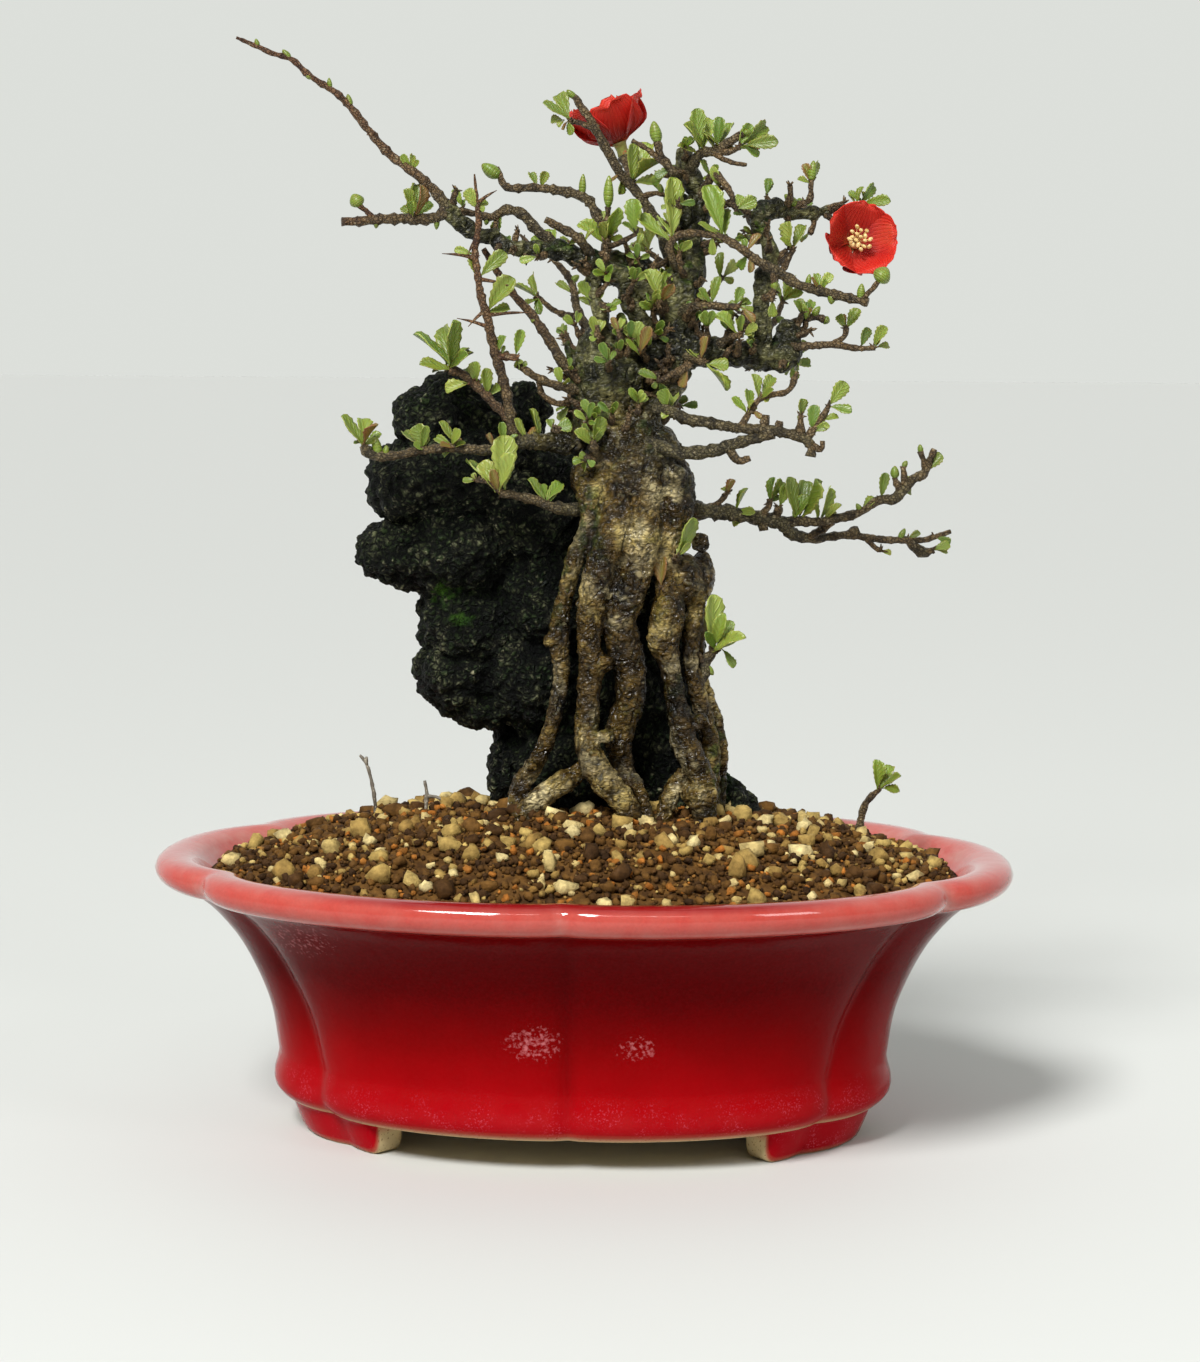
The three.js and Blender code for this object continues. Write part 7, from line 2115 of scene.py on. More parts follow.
@dataclass
class Rock:
    """The upright lump of dark lava that the roots hold."""

    voxel: float = 0.78
    lump_size: float = 6.2
    lump_height: float = 1.9
    crumb_size: float = 1.9
    crumb_height: float = 1.1
    moss_spots: list[Row] = field(default_factory=lambda: [
        [-37, 143.7, 4.6, 3], [-32.6, 137.8, 3.4, 2], [37.5, 95.5, 4.5, 6]])

    def build(self) -> bpy.types.Object:
        """Melts the lumps together and roughens them into knobs and crumbs."""
        ball = ball_shape("ball", 4, 1)
        bm = bmesh.new()
        for row in ROCK_LUMPS:
            stamp(bm, ball, lump_matrix(row))
        bm = fused(bm, self.voxel)
        smoothed(bm)
        high, green, moss = stored(bm, "high", "green", "moss")
        moved = []
        for vert in bm.verts:
            point = vert.co
            broad = layered(point + Vector((31, 0, 0)), 13, 2)
            lumps = knobs(point, self.lump_size)
            mid = knobs(point + Vector((9, 4, 2)), self.lump_size * 0.5)
            crumbs = knobs(point + Vector((3, 8, 5)), self.crumb_size)
            lift = 1.1 * broad + self.lump_height * (lumps - 0.6) + 0.55 * self.lump_height * (mid - 0.5)
            lift += self.crumb_height * (crumbs - 0.5)
            moved.append(point + vert.normal * lift)
            # high runs from 0 in the hollows to 1 on the knob tops, for the painted shade and painted
            # highlights of the rock's material.
            vert[high] = min(1.0, max(0.0, 1.25 * lumps * (0.3 + 0.7 * mid) * crumbs + 0.15 * broad))
            top = eased(point.z, 168, 196)
            growth = layered(point + Vector((0, 0, 90)), 16, 2) + 0.35 * vert.normal.z
            vert[green] = (0.25 + 0.2 * top) * eased(growth, -0.1, 0.35)
            reach = seen_reach(point, self.moss_spots)
            vert[moss] = 1 - eased(reach + 0.5 * layered(point, 3, 2), 0.6, 1.1)
        for vert, place in zip(bm.verts, moved):
            vert.co = place
        return finish_piece("rock_lava", bm, Stone().material(), ["rock"])


def nearest_on(lines: Sequence[Sequence[Vector]], point: Vector) -> tuple[Vector, Vector, float]:
    """Finds where a stalk leaves its stem.

    Args:
        lines: Middle lines of the stems.
        point: Where the stalk should start.

    Returns:
        The nearest point on any line, the way the line runs there, and the distance.
    """
    best = (point, Vector((0, 0, 1)), math.inf)
    for line in lines:
        for start, end in zip(line, line[1:]):
            along = end - start
            share = min(1.0, max(0.0, (point - start).dot(along) / max(1e-9, along.length_squared)))
            foot = start + along * share
            reach = (foot - point).length
            if reach < best[2]:
                best = (foot, along.normalized(), reach)
    return best


def knobby(points: Sequence[Vector], radii: Sequence[float], amount: float,
           draw: random.Random) -> list[float]:
    """Swells a stem at its joints and varies it a little between them.

    Args:
        points: Middle line.
        radii: Half thickness.
        amount: Height of a joint as a share of the radius.
        draw: Seeded source.

    Returns:
        The new half thicknesses.
    """
    swollen: list[float] = []
    run = 0.0
    joint = draw.uniform(1, 3)
    spacing = draw.uniform(2.8, 5.2)
    for i, (point, radius) in enumerate(zip(points, radii)):
        run += (point - points[i - 1]).length if i else 0
        if run > joint + spacing / 2:
            joint += spacing
            spacing = draw.uniform(2.8, 5.2)
        swell = math.exp(-((run - joint) / 0.75) ** 2)
        swollen.append(radius * (1 + amount * swell + 0.07 * noise.noise(point / 1.8)))
    return swollen


def nearness(point: Vector, spots: Sequence[Row]) -> float:
    """Gives 1 in the middle of a table's spots, seen from the front, running to 0 outside them."""
    return 1 - eased(seen_reach(point, spots), 0.3, 1.1)


@dataclass(frozen=True)
class LeafShape:
    """One spoon-shaped quince leaf with a scalloped edge, one unit long, drawn along +Y.

    Attributes:
        seed: Of its twist, fold and arch.
        columns: Faces across.
        rows: Faces along.
        stalk: The stalk's share of the length.
        fold: How steeply the halves rise from the midrib.
        arch: How far the tip bends back.
        notch: Depth of the scallops, as a share of the width.
        thickness: Of the blade.
    """

    seed: int
    columns: int = 4
    rows: int = 13
    stalk: float = 0.13
    fold: float = 0.34
    arch: float = 0.2
    notch: float = 0.16
    thickness: float = 0.035

    def half_width(self, share: float) -> float:
        """Gives the half width at a share of the length, as a share of the greatest."""
        if share < self.stalk:
            return 0.1
        t = (share - self.stalk) / (1 - self.stalk)
        return max(0.1 * (1 - t), (t ** 0.75) * math.sqrt(max(0.0, 1 - t ** 4.2)) / 0.72)

    def build(self, bm: BMesh) -> None:
        """Shapes a grid into the blade and gives it its thickness.

        Args:
            bm: Mesh that gets the leaf.
        """
        draw = draws(self.seed)
        across, along = stored(bm, "across", "along")
        bmesh.ops.create_grid(bm, x_segments=self.columns, y_segments=self.rows, size=1)
        twist = draw.uniform(-0.5, 0.5)
        fold = self.fold * draw.uniform(0.5, 1.4)
        arch = self.arch * draw.uniform(0.2, 1.6)
        for vert in bm.verts:
            aside, share = vert.co.x, (vert.co.y + 1) / 2
            row = round(share * self.rows)
            length = 0.5 - 0.5 * math.cos(math.pi * share) if share > 0.5 else share
            length = 0.985 * (0.35 * length + 0.65 * share)
            scalloped = row % 2 and length > self.stalk * 1.6
            cut = 1 - self.notch * abs(aside) ** 3 if scalloped else 1
            width = 0.5 * self.half_width(length) * cut
            ripple = 0.03 * math.sin(9 * length + 5 * twist) * aside * aside
            x = aside * width
            z = fold * abs(aside) * width + ripple - arch * length * length
            angle = twist * length
            vert.co = (x * math.cos(angle) - z * math.sin(angle) * 0.4, length, z + x * math.sin(angle))
            vert[across] = abs(aside)
            vert[along] = share
        bmesh.ops.solidify(bm, geom=bm.faces[:], thickness=self.thickness)


@dataclass
class Shapes:
    """The small shapes that are placed many times over the tree."""

    leaves: list[Mesh] = field(default_factory=list)
    bud: Mesh | None = None
    scale: Mesh | None = None

    def build(self) -> None:
        """Builds every shape once."""
        self.leaves = [mesh_of(LeafShape(seed).build, f"leaf_{seed}") for seed in range(3, 10)]
        self.bud = mesh_of(self.draw_bud, "bud")
        self.scale = mesh_of(self.draw_scale, "bud_scale")

    @staticmethod
    def draw_bud(bm: BMesh) -> None:
        """Draws a round bud along +Y, from 0 to 1, with furrows between its scales.

        Args:
            bm: Mesh that gets the bud.
        """
        bmesh.ops.create_uvsphere(bm, u_segments=12, v_segments=9, radius=0.5)
        for vert in bm.verts:
            share = vert.co.z + 0.5
            angle = math.atan2(vert.co.y, vert.co.x)
            furrow = 1 - 0.1 * abs(math.sin(1.5 * angle + 2.2 * share)) ** 4
            taper = 1.12 - 0.42 * share * share
            vert.co = (vert.co.x * furrow * taper, share, vert.co.y * furrow * taper)
        across, along = stored(bm, "across", "along")
        for vert in bm.verts:
            vert[across] = 0.6
            vert[along] = vert.co.y

    @staticmethod
    def draw_scale(bm: BMesh) -> None:
        """Draws one small pointed bud scale along +Y."""
        bmesh.ops.create_icosphere(bm, subdivisions=1, radius=0.5)
        for vert in bm.verts:
            share = vert.co.y + 0.5
            wide, thick = 1.1 - 0.8 * share, 1.1 - 0.7 * share
            vert.co = (vert.co.x * wide, share * 1.25 - 0.1, vert.co.z * 0.7 * thick)


@dataclass
class Wood:
    """Roots, trunk and main limbs, grown together into one skin.

    Attributes:
        voxel: Width of the skin's faces.
        step: Spacing of the sections along a root or limb.
        seed: Of the joints along them.
        age_from: Height below which the bark is young and brown.
        age_to: Height above which it is old and olive.
        ringed: Middle and reach of the healed cut, as a table point and a distance.
        ring_gap: Spacing of the rings round the cut.
        spur_count: How many spurs stand on the upper wood.
        spurs_above: Height above which they stand.
        spur_seed: Of the spurs.
        leafy_share: Share of them that bear leaves.
        knobs: Small lumps, as BURLS gives them.
        cream_and_highlight_spots: Cream patches, partly painted highlights: across, up, half width and half
            height.
        olive_spots: Green patches, given alike.
    """

    voxel: float = 0.66
    step: float = 1.4
    seed: int = 19
    age_from: float = 176.0
    age_to: float = 200.0
    ringed: Row = (26.4, 147, 8, 9)
    ring_gap: float = 1.7
    spur_count: int = 190
    spurs_above: float = 187.0
    spur_seed: int = 71
    leafy_share: float = 0.28
    knobs: list[Row] = field(default_factory=lambda: [
        [19.6, 132.4, 12, 2.6, 2.4, 2.6], [5.6, 127.6, 14, 2.4, 2.2, 2.4], [-8.6, 133.5, 12, 2, 2.2, 2],
        [24, 178, 12, 3, 2.6, 3], [13, 187, 12, 2.6, 2.2, 2.6], [31, 160, 6, 2.4, 2.6, 2.4],
        [6, 108, 16, 2.2, 2, 2.2], [-14, 100, 13, 2, 1.8, 2], [31, 112, 11, 2.2, 2.4, 2.2]])
    cream_and_highlight_spots: list[Row] = field(default_factory=lambda: [
        [3.5, 185, 6.5, 7], [8.5, 143.4, 5, 8], [20.8, 173.8, 6, 8], [13.3, 161.9, 4.5, 5],
        [3, 108, 5, 9], [-12, 92, 4, 6], [27, 92, 6, 6]])
    olive_spots: list[Row] = field(default_factory=lambda: [
        [1.1, 165.5, 4.5, 14], [-6, 148, 4, 10], [36, 100, 4, 16], [2, 192, 8, 5]])

    def skin(self) -> BMesh:
        """Draws every root and limb and melts them together."""
        draw = draws(self.seed)
        bm = bmesh.new()
        for rows, sides, knots in ((ROOTS, 14, 0.09), (TRUNK, 18, 0.04), (MAIN_LIMBS, 14, 0.14)):
            for row in rows:
                points = [VIEW.at(u, z, depth) for u, z, depth, _ in row]
                line, radii = flowing(points, [thick / 2 for *_, thick in row], self.step)
                part = bmesh.new()
                tube(part, line, knobby(line, radii, knots, draw), sides)
                merge_into(bm, part)
        ball = ball_shape("burl", 3, 1)
        for row in (*BURLS, *self.knobs):
            stamp(bm, ball, lump_matrix(row))
        bmesh.ops.recalc_face_normals(bm, faces=bm.faces)
        return fused(bm, self.voxel)

    def build(self, shapes: Shapes, finishes: Finishes) -> bpy.types.Object:
        """Melts the wood together, then wrinkles, ages and greens its bark.

        Args:
            shapes: The leaves and bud scales.
            finishes: The shared materials.

        Returns:
            The piece of trunk, roots and limbs.
        """
        bm = self.skin()
        smoothed(bm)
        old, moss, pale, crack = stored(bm, "old", "moss", "pale", "crack")
        u, z, depth, reach = self.ringed
        ring_middle = VIEW.at(u, z, depth)
        moved = []
        for vert in bm.verts:
            point = vert.co
            age = eased(point.z + 14 * layered(point, 30, 2), self.age_from, self.age_to)
            across = layered(Vector((point.x, point.y, point.z * 2.3)), 3.6, 2)
            upright = Vector((point.x * 1.5, point.y * 1.5, point.z * 0.45))
            along = layered(upright + Vector((0, 3, 0)), 4.2, 2)
            furrow = 1 - eased(abs(across), 0.0, 0.13)
            seam = 1 - eased(abs(along), 0.0, 0.1)
            lift = 0.12 + (1 - age) * (0.35 * across - 0.3 * furrow - 0.3 * seam + 0.25 * along)
            lift += age * (0.3 + 0.9 * along + 0.45 * across - 0.4 * seam)
            away = (point - ring_middle).length
            near = (1 - eased(away, reach * 0.6, reach)) * (1 - age)
            ring = 0.28 * math.sin(math.tau * away / self.ring_gap)
            lift += near * (ring - 2.2 * (1 - eased(away, 0.8, 2.4)))
            moved.append(point + vert.normal * lift)
            vert[old] = age
            # crack marks the furrows and the cut's rim, which the bark darkens with painted shade.
            vert[crack] = min(1.0, max(furrow * 0.8, seam) + near * (1 - eased(away, 1.2, 2.4)))
            green = layered(point + Vector((0, 0, 60)), 15, 3) + 0.3 * vert.normal.z - 0.1
            vert[moss] = max(eased(green, 0.12, 0.4) * (0.25 + 0.75 * age),
                             0.75 * nearness(point, self.olive_spots))
            # pale marks cream patches, which are partly painted highlights.
            cream = eased(layered(point + Vector((55, 0, 0)), 18, 2), 0.0, 0.3)
            vert[pale] = max(0.35 * cream, nearness(point, self.cream_and_highlight_spots)) * (1 - age)
        for vert, place in zip(bm.verts, moved):
            vert.co = place
        spots = [(v.co.copy(), v.normal.copy()) for v in bm.verts if v.co.z > self.spurs_above]
        skin = finish_piece("wood_trunk_and_roots", bm, Bark().material(), ["trunk_and_roots"])
        self.spurs(spots, shapes, finishes)
        return skin

    def spurs(self, spots: list, shapes: Shapes, finishes: Finishes) -> None:
        """Sets short knobby spurs and small leaves over the upper wood.

        Args:
            spots: Places on the wood with their outward directions.
            shapes: The leaves and bud scales.
            finishes: The shared materials.
        """
        draw = draws(self.spur_seed)
        wood, green = bmesh.new(), bmesh.new()
        tint, flush = stored(green, "tint", "flushed")
        for spot, out in draw.sample(spots, min(len(spots), self.spur_count)):
            lean = Vector((draw.uniform(-0.5, 0.5), draw.uniform(-0.5, 0.5), draw.uniform(-0.1, 0.9)))
            way = (out + lean).normalized()
            length = draw.uniform(1.6, 5.2)
            bend = spot + way * length * 0.5 + VIEW.across * draw.uniform(-0.6, 0.6)
            tip = spot + way * length + Vector((0, 0, draw.uniform(0, 1.2)))
            part = bmesh.new()
            line, radii = flowing([spot - out * 0.6, bend, tip], [draw.uniform(0.9, 1.2), 0.75, 0.6], 0.7)
            tube(part, line, knobby(line, radii, 0.3, draw), 8)
            merge_into(wood, part)
            for _ in range(4):
                side = astray(draw, 1) + way
                size = draw.uniform(0.8, 1.4)
                place = pointing(tip, side, way + side * 0.01, Vector((size, size * 1.6, size)))
                stamp(wood, shapes.scale, place)
            if draw.random() < self.leafy_share:
                for _ in range(draw.randint(2, 4)):
                    aim = way * 0.7 + astray(draw, 0.9) + Vector((0, 0, 0.5))
                    size = draw.uniform(2.8, 5.6)
                    place = pointing(tip, aim, VIEW.to_viewer, Vector((size * 0.5, size, size)))
                    tone = draw.uniform(0.1, 0.9)
                    for vert in stamp(green, draw.choice(shapes.leaves), place):
                        vert[tint], vert[flush] = tone, 0.0
        finish_piece("wood_spurs", wood, finishes[Dress.SHOOT], ["trunk_and_roots"])
        finish_piece("wood_spur_leaves", green, finishes[Dress.LEAF], ["trunk_and_roots"])


@dataclass
class LeafyBranch:
    """One branch of the tables: its wood with thorns and bud scales, and its leaves and buds.

    Attributes:
        name: The branch's name in the tables.
        table: Its points.
        seed: Of its small irregularities.
        shapes: The shapes that are placed on it.
        leans: How far each leaf of a tuft leans to the front, as a share of its length, in turn.
        spacing: Between the leaves of a tuft, along the stem.
        rooted_within: How near a side stem starts to the stem that it is joined to.
        flushed: Share of the leaves that are flushed red.
        young: Branches with the red-brown bark of the year.
        stout: Half thickness past which a stem gets more sides.
    """

    name: str
    table: Branch
    seed: int
    shapes: Shapes
    leans: tuple[float, ...] = (0.1, -0.5, 0.55, -0.15, 0.35)
    spacing: float = 0.8
    rooted_within: float = 2.4
    flushed: float = 0.08
    young: tuple[str, ...] = ("whip", "thorny", "straight_shoot")
    stout: float = 1.2

    def __post_init__(self) -> None:
        """Draws the stems' lines, each side stem rooted on the one it leaves."""
        self.draw = draws(self.seed)
        self.lines: list[list[Vector]] = []
        self.radii: list[list[float]] = []
        for rows in self.table.stems:
            points = [VIEW.at(u, z, depth) for u, z, depth, _ in rows]
            if self.lines:
                foot, _, reach = nearest_on(self.lines, points[0])
                if reach < self.rooted_within:
                    points[0] = foot
            line, radii = flowing(points, [thick / 2 for *_, thick in rows], 0.9)
            self.lines.append(line)
            self.radii.append(radii)

    def nodes(self) -> list[str]:
        """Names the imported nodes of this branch."""
        whole = f"spray_{self.name}"
        return [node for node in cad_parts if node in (whole, self.name)
                or (node.startswith(whole + "_") and node[len(whole) + 1:].isdigit())]

    def wood(self) -> BMesh:
        """Draws stems, thorns and bud scales."""
        bm = bmesh.new()
        for line, radii in zip(self.lines, self.radii):
            thick = max(radii)
            sides = 10 if thick > self.stout else 8
            part = bmesh.new()
            age, = stored(part, "old")
            swollen = knobby(line, radii, 0.3 if thick < 1.6 else 0.16, self.draw)
            for i, vert in enumerate(tube(part, line, swollen, sides)):
                radius = radii[i // sides]
                vert[age] = eased(radius, 0.65, 1.7)
                away = vert.co - line[i // sides]
                vert.co += away * (0.3 * noise.noise(vert.co / 0.9) + 0.18 * noise.noise(vert.co / 2.2))
            merge_into(bm, part)
        for u, z, depth, tip_u, tip_z in self.table.thorns:
            root = nearest_on(self.lines, VIEW.at(u, z, depth))[0]
            tip = VIEW.at(tip_u, tip_z, depth + 1)
            middle = root.lerp(tip, 0.5) + Vector((0, 0, 0.25))
            line, radii = flowing([root, middle, tip], [0.62, 0.42, 0.1], 0.8)
            part = bmesh.new()
            tube(part, line, radii, 7)
            merge_into(bm, part)
        for base, *_ in self.table.tufts:
            foot, along, _ = nearest_on(self.lines, VIEW.at(*base))
            for _ in range(5):
                out = astray(self.draw, 1) + Vector((0, 0, 0.5))
                size = self.draw.uniform(0.8, 1.3)
                place = pointing(foot, out, along + out * 0.01, Vector((size, size * 1.5, size)))
                stamp(bm, self.shapes.scale, place)
        return bm

    def greenery(self) -> BMesh:
        """Draws the leaves of each tuft and the green buds."""
        bm = bmesh.new()
        tint, flush = stored(bm, "tint", "flushed")
        for base, *leaves in self.table.tufts:
            u, z, depth = base
            foot, along, _ = nearest_on(self.lines, VIEW.at(u, z, depth))
            mood = self.draw.uniform(0.25, 0.75)
            for i, (tip_u, tip_z, width) in enumerate(leaves):
                length = math.hypot(tip_u - u, tip_z - z)
                lean = length * (self.leans[i % len(self.leans)] + 0.2 * (self.draw.random() - 0.5))
                root = foot + along * ((i - (len(leaves) - 1) / 2) * self.spacing)
                tip = VIEW.at(tip_u, tip_z, depth + lean)
                self.leaf(bm, root, tip, width, mood, (tint, flush))
                if self.draw.random() < self.table.companions:
                    turn = self.draw.choice((-1, 1)) * self.draw.uniform(0.6, 1.1)
                    aside = Matrix.Rotation(turn, 3, VIEW.to_viewer)
                    small = aside @ (tip - root) * self.draw.uniform(0.5, 0.75)
                    small += VIEW.to_viewer * (length * self.draw.uniform(-0.4, 0.5))
                    self.leaf(bm, root, root + small, width * 0.7, mood, (tint, flush))
        for u, z, depth, tip_u, tip_z, thick in self.table.buds:
            root = nearest_on(self.lines, VIEW.at(u, z, depth))[0]
            tip = VIEW.at(tip_u, tip_z, depth)
            way = tip - root
            place = pointing(root, way, VIEW.to_viewer, Vector((thick, way.length * 1.02, thick)))
            tone = self.draw.uniform(0.35, 0.6)
            for vert in stamp(bm, self.shapes.bud, place):
                vert[tint] = tone
                vert[flush] = 0.5 * self.draw.random() * (vert.co - root).length / way.length
        return bm

    def leaf(self, bm: BMesh, root: Vector, tip: Vector, width: float, mood: float,
             layers: Sequence[bmesh.types.BMLayerItem]) -> None:
        """Places one leaf.

        Args:
            bm: Mesh that gets the leaf.
            root: Where its stalk leaves the stem.
            tip: Its far end.
            width: Its width.
            mood: Tint of its tuft.
            layers: The tint and flushed layers.
        """
        way = tip - root
        facing = VIEW.to_viewer * 0.7 + Vector((0, 0, 0.55)) + VIEW.across * self.draw.uniform(-0.5, 0.5)
        facing += astray(self.draw, 0.35)
        length = way.length
        wide = max(width * 1.15, 0.44 * length)
        place = pointing(root, way, facing, Vector((wide, length * 1.03, length)))
        tone = min(1.0, max(0.0, mood + self.draw.uniform(-0.22, 0.22)))
        red = 1.0 if self.draw.random() < self.flushed else self.draw.uniform(0, 0.25)
        tint, flush = layers
        for vert in stamp(bm, self.draw.choice(self.shapes.leaves), place):
            vert[tint], vert[flush] = tone, red

    def build(self, finishes: Finishes) -> list[bpy.types.Object]:
        """Builds the branch's wood and its greenery.

        Args:
            finishes: The shared materials.

        Returns:
            The new pieces.
        """
        nodes = self.nodes()
        dry = self.name.startswith("dry")
        dress = Dress.DRY if dry else Dress.YOUNG if self.name in self.young else Dress.SHOOT
        bark, slot = finishes[dress], Slot.DRY if dry else Slot.SHOOT
        pieces = [finish_piece(f"{self.name}_stems", self.wood(), bark, nodes)]
        if not dry:
            green = self.greenery()
            pieces.append(finish_piece(f"{self.name}_leaves", green, finishes[Dress.LEAF], nodes))
        return pieces


@dataclass
class Bloom:
    """A single five-petalled flower round a crown of stamens.

    Attributes:
        name: The flower's name.
        place: Its middle, as a table point.
        facing: The way it faces: across, up and to the viewer.
        cup: How deep its petals are cupped.
        turn: How far it is turned about its middle.
        seed: Of its small irregularities.
        radius: From its middle to the edge of a petal.
        petals: How many petals.
        stamens: How many stamens.
        petal_cells: Faces across and along a petal.
        petal_thickness: Of a petal.
        crown_reach: From the seat to the outermost anther.
        stamen_turn: Angle from one stamen to the next, in radians.
    """

    name: str
    place: Row
    facing: Row
    cup: float
    turn: float
    seed: int
    radius: float
    petals: int = 5
    stamens: int = 17
    petal_cells: int = 16
    petal_thickness: float = 0.28
    crown_reach: float = 3.4
    stamen_turn: float = 2.4

    def __post_init__(self) -> None:
        """Works out the flower's own three directions."""
        across, up, front = self.facing
        self.middle = VIEW.at(*self.place)
        self.outward = (VIEW.across * across + VIEW.to_viewer * front + Vector((0, 0, up))).normalized()
        out = self.outward
        self.sideways = Vector((out.y, out.z, out.x)).cross(out).normalized()
        self.upward = out.cross(self.sideways)
        self.draw = draws(self.seed)

    def spot(self, radial: Vector, aside: Vector, out: float, side: float, high: float) -> Vector:
        """Gives a point from shares of the radius outwards, sideways and along the facing."""
        return self.middle + (radial * out + aside * side + self.outward * high) * self.radius

    def petal(self, angle: float, order: int) -> BMesh:
        """Shapes a grid into one round petal, cupped and ruffled.

        Args:
            angle: Its direction round the flower.
            order: Which petal it is, which sets how it overlaps the next.

        Returns:
            The petal's mesh.
        """
        bm = bmesh.new()
        across, along = stored(bm, "across", "along")
        bmesh.ops.create_grid(bm, x_segments=self.petal_cells, y_segments=self.petal_cells, size=1)
        radial = self.sideways * math.cos(angle) + self.upward * math.sin(angle)
        aside = self.outward.cross(radial)
        phase = self.draw.uniform(0, 6)
        cup = self.cup * self.draw.uniform(0.94, 1.06)
        for vert in bm.verts:
            side, share = vert.co.x, (vert.co.y + 1) / 2
            run = 1 - (1 - share) ** 1.25
            round_off = math.sqrt(max(0.0, 1 - max(0.0, (run - 0.35) / 0.65) ** 2.6))
            width = (0.1 + 0.64 * eased(run, 0.02, 0.5)) * max(0.3, round_off)
            edge = max(abs(side), run) ** 4
            out = 0.1 + 0.9 * run - 0.09 * abs(side) ** 2 * run - 0.03 * math.cos(3 * side) * edge
            height = cup * (0.05 + 0.25 * run + 0.62 * run * run) + 0.1 * side * side * run
            height += 0.05 * edge * math.sin(5 * side + phase) - 0.16 * eased(run, 0.86, 1.0) * cup
            height += 0.012 * (order % 2) + 0.07 * side * run
            vert.co = self.spot(radial, aside, out, side * width, height)
            vert[across] = side
            vert[along] = run
        bmesh.ops.solidify(bm, geom=bm.faces[:], thickness=self.petal_thickness)
        return bm

    def crown(self) -> BMesh:
        """Draws the ochre seat, the filaments and the anthers."""
        bm = bmesh.new()
        anther, = stored(bm, "anther")
        seat = self.middle + self.outward * 1.2
        part = bmesh.new()
        tube(part, [seat, seat + self.outward * 0.6, seat + self.outward * 1.3], [1.7, 1.6, 0.9], 12)
        merge_into(bm, part)
        head = ball_shape("anther", 2, 0.5)
        for k in range(self.stamens):
            reach = self.crown_reach * math.sqrt((k + 0.5) / self.stamens)
            angle = k * self.stamen_turn
            tip = seat + (self.sideways * math.cos(angle) + self.upward * math.sin(angle)) * reach
            tip += self.outward * self.draw.uniform(3.2, 4.8)
            middle = seat.lerp(tip, 0.5) + self.outward * 0.5
            part = bmesh.new()
            line, radii = flowing([seat, middle, tip], [0.16, 0.14, 0.13], 1.0)
            tube(part, line, radii, 6)
            merge_into(bm, part)
            way = astray(self.draw, 1) + self.outward
            place = pointing(tip, way, self.sideways + way * 0.01, Vector((1.2, 1.6, 1.0)))
            for vert in stamp(bm, head, place):
                vert[anther] = 1.0
        return bm

    def calyx(self) -> BMesh:
        """Draws the green tube under the petals, swollen over the stalk."""
        bm = bmesh.new()
        base = self.middle - self.outward * 5.2
        section = ((0.0, 0.9), (0.7, 1.5), (2.0, 1.75), (3.6, 1.5), (5.0, 1.7), (5.8, 2.1))
        tube(bm, [base + self.outward * high for high, _ in section], [radius for _, radius in section], 14)
        return bm

    def build(self, finishes: Finishes) -> list[bpy.types.Object]:
        """Builds petals, crown and calyx.

        Args:
            finishes: The shared materials.

        Returns:
            The new pieces.
        """
        whole = bmesh.new()
        for k in range(self.petals):
            merge_into(whole, self.petal(math.tau * k / self.petals + self.turn, k))
        bmesh.ops.recalc_face_normals(whole, faces=whole.faces)
        name, petals, stamens = self.name, [f"{self.name}_petals"], [f"{self.name}_stamens"]
        return [
            finish_piece(f"{name}_petal_cup", whole, finishes[Dress.PETAL], petals),
            finish_piece(f"{name}_calyx", self.calyx(), finishes[Dress.CALYX], petals),
            finish_piece(f"{name}_crown", self.crown(), finishes[Dress.STAMEN], stamens),
        ]


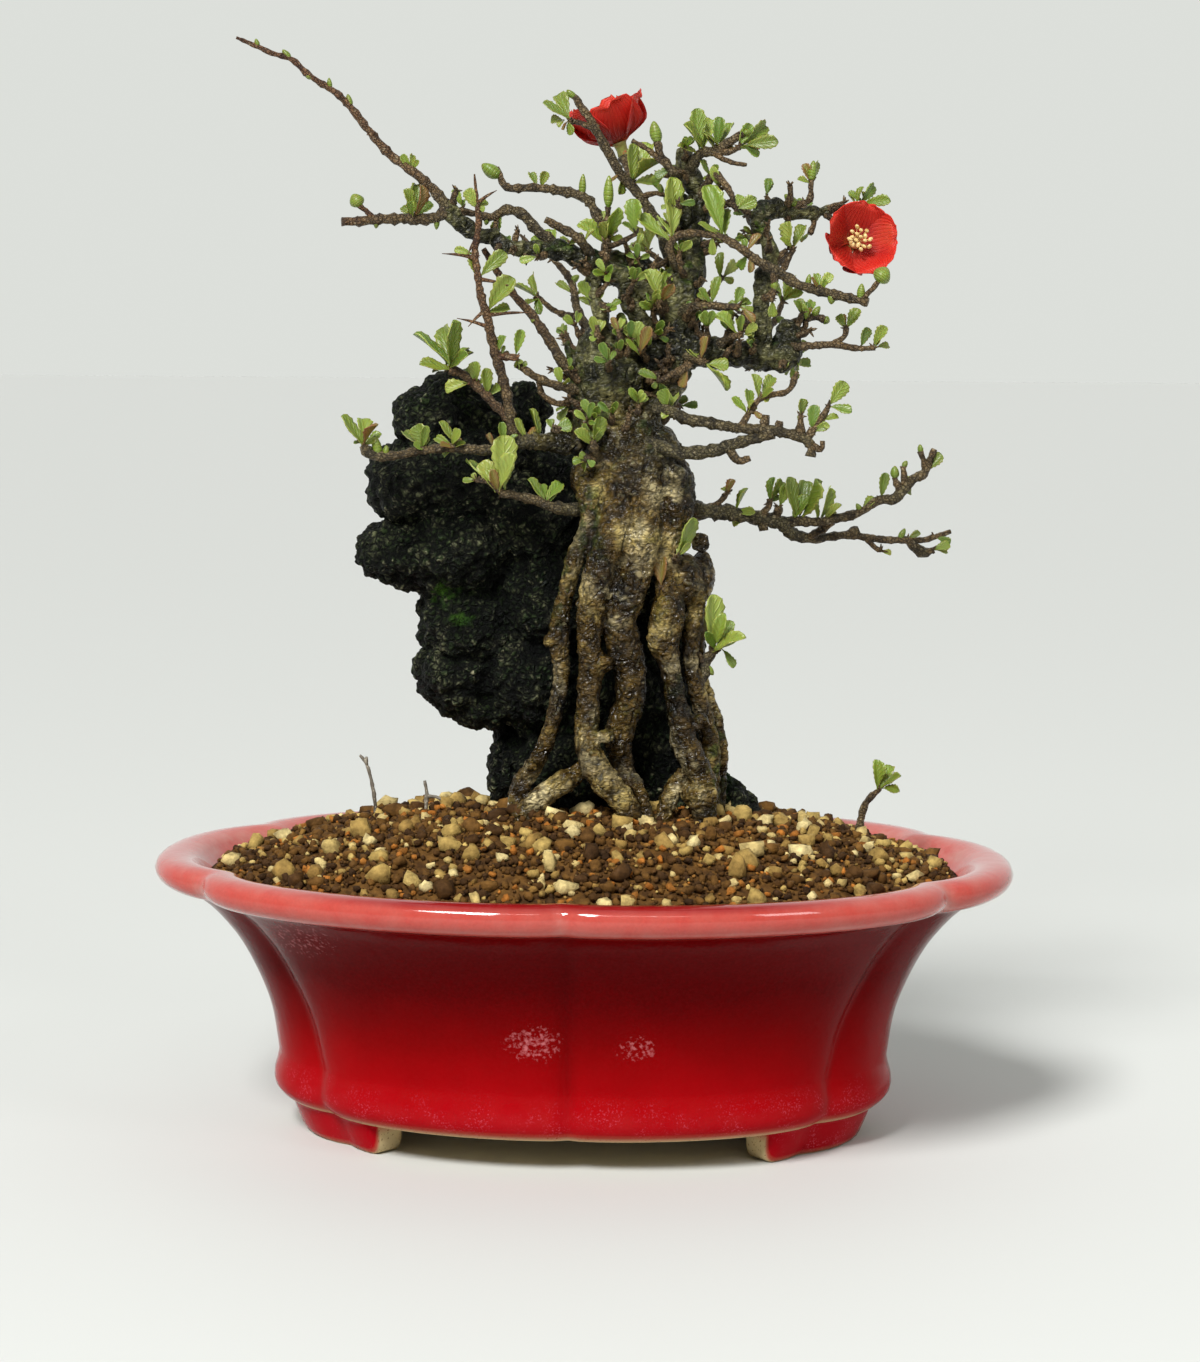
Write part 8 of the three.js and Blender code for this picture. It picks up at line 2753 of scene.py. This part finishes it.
@dataclass
class Studio:
    """Pale floor, soft lamps and the camera.

    Attributes:
        floor_half: Half the floor's side, in metres.
        floor_colour: Of the floor.
        backdrop: The room as the camera sees it.
        front_light: The room's light from in front.
        back_light: Its light from behind.
        fade: Where the one passes into the other, from front to back.
        key_strength: Of the broad key light.
        key_spread: How wide it looks, in degrees, which softens its shadows.
        key_way: The direction it shines in.
        lamps: Name, place, aim, width and height, and power of each soft lamp, in metres and watts.
    """

    floor_half: float = 7.0
    floor_colour: Colour = (0.58, 0.59, 0.565, 1)
    backdrop: Colour = (0.72, 0.74, 0.705, 1)
    front_light: Colour = (0.12, 0.12, 0.115, 1)
    back_light: Colour = (0.8, 0.82, 0.8, 1)
    fade: Row = (-0.6, 0.9)
    key_strength: float = 3.4
    key_spread: float = 18
    key_way: Row = (0.38, 0.85, -1)
    lamps: tuple[tuple[str, Row, Row, Row, float], ...] = (
        ("fill", (0.75, -0.75, 0.75), (0, 0, 0.12), (0.3, 0.3), 2.5),
        ("glint", (-0.25, -0.9, 0.75), (0, 0, 0.15), (0.14, 0.14), 3.0),
        ("strip", (-0.1, -1.2, 1.2), (0, 0, 0.07), (1.1, 0.03), 3.5))

    def key(self) -> None:
        """Hangs the broad key light, which falls evenly over everything."""
        data = bpy.data.lights.new("key", "SUN")
        data.energy = self.key_strength
        data.angle = math.radians(self.key_spread)
        placed("key", data).rotation_euler = Vector(self.key_way).to_track_quat("-Z", "Y").to_euler()

    @staticmethod
    def lamp(name: str, place: Row, aim: Row, size: Row, watts: float) -> None:
        """Hangs one soft rectangular lamp.

        Args:
            name: Its name.
            place: Where it hangs, in metres.
            aim: What it points at.
            size: Its width and height.
            watts: Its power.
        """
        data = bpy.data.lights.new(name, "AREA")
        data.shape = "RECTANGLE"
        data.size, data.size_y = size
        data.energy = watts
        lamp = placed(name, data)
        lamp.rotation_euler = (Vector(aim) - Vector(place)).to_track_quat("-Z", "Y").to_euler()
        lamp.location = place

    def surroundings(self) -> None:
        """Paints the room: a pale backdrop, light from behind and above, dim in front."""
        world = bpy.data.worlds.new("studio")
        world.use_nodes = True
        bpy.context.scene.world = world
        tree = world.node_tree
        room = tree.nodes["Background"]
        coordinates = tree.nodes.new("ShaderNodeTexCoord")
        split = tree.nodes.new("ShaderNodeSeparateXYZ")
        depth = tree.nodes.new("ShaderNodeMapRange")
        depth.inputs["From Min"].default_value, depth.inputs["From Max"].default_value = self.fade
        depth.interpolation_type = "SMOOTHSTEP"
        room_light = tree.nodes.new("ShaderNodeMix")
        room_light.data_type = "RGBA"
        room_light.inputs[6].default_value = self.front_light
        room_light.inputs[7].default_value = self.back_light
        tree.links.new(coordinates.outputs["Generated"], split.inputs[0])
        tree.links.new(split.outputs["Y"], depth.inputs["Value"])
        tree.links.new(depth.outputs["Result"], room_light.inputs[0])
        tree.links.new(room_light.outputs[2], room.inputs["Color"])
        pale = tree.nodes.new("ShaderNodeBackground")
        pale.inputs["Color"].default_value = self.backdrop
        path = tree.nodes.new("ShaderNodeLightPath")
        either = tree.nodes.new("ShaderNodeMixShader")
        tree.links.new(path.outputs["Is Camera Ray"], either.inputs[0])
        tree.links.new(room.outputs[0], either.inputs[1])
        tree.links.new(pale.outputs[0], either.inputs[2])
        tree.links.new(either.outputs[0], tree.nodes["World Output"].inputs["Surface"])

    def build(self) -> None:
        """Lays the floor, hangs the lamps and places the camera."""
        bm = bmesh.new()
        bmesh.ops.create_grid(bm, x_segments=1, y_segments=1, size=self.floor_half)
        floor = placed("studio_floor", mesh_from(bm, "studio_floor"))
        paint = Paint("studio_floor", Base_Color=self.floor_colour, Roughness=0.7)
        floor.data.materials.append(paint.material)
        self.surroundings()
        bpy.context.scene.view_settings.view_transform = "Standard"
        self.key()
        for lamp in self.lamps:
            self.lamp(*lamp)
        VIEW.place_camera()


def tree_finishes() -> Finishes:
    """Makes the finishes of the branches, flowers and twigs."""
    return {
        Dress.SHOOT: Shoot().material(),
        Dress.YOUNG: Shoot("young_shoot_bark", ((0.05, 0.016, 0.007, 1), (0.24, 0.12, 0.05, 1))).material(),
        Dress.LEAF: Foliage().material(),
        Dress.PETAL: PetalSkin().material(),
        Dress.DRY: Speckled(
            "dry_twig", (0.05, 0.04, 0.03, 1), (0.28, 0.24, 0.18, 1), (0.4, 0.36, 0.28, 1)).material(),
        Dress.STAMEN: Speckled(
            "stamen", (0.55, 0.3, 0.06, 1), (0.85, 0.68, 0.32, 1), (0.9, 0.8, 0.5, 1), 900).material(),
        Dress.CALYX: Speckled(
            "calyx", (0.2, 0.1, 0.03, 1), (0.3, 0.34, 0.07, 1), (0.45, 0.12, 0.05, 1)).material(),
    }


def main() -> None:
    """Builds every sub-assembly in order."""
    logging.basicConfig(level=logging.INFO, format="%(message)s")
    Studio().build()
    Pot().build()
    for side, x in (("left", -HOLE_PLACE), ("right", HOLE_PLACE)):
        DrainScreen(f"drain_screen_{side}", x).build()
    SoilBed().build()
    Rock().build()
    finishes = tree_finishes()
    shapes = Shapes()
    shapes.build()
    Wood().build(shapes, finishes)
    for seed, (name, table) in enumerate({**BRANCHES, **SOIL_GROWTH}.items(), start=FIRST_BRANCH_SEED):
        LeafyBranch(name, table, seed, shapes).build(finishes)
    Bloom("bloom_open", place=(70.3, 239.0, -9.4), facing=(0.3, 0.26, 1), cup=0.9, turn=0.3, seed=31,
          radius=10.1).build(finishes)
    Bloom("bloom_side", place=(8.8, 264.6, -17), facing=(-0.36, 0.9, 0.05), cup=1.35, turn=0.9, seed=47,
          radius=10.8).build(finishes)


if __name__ == "__main__":
    main()
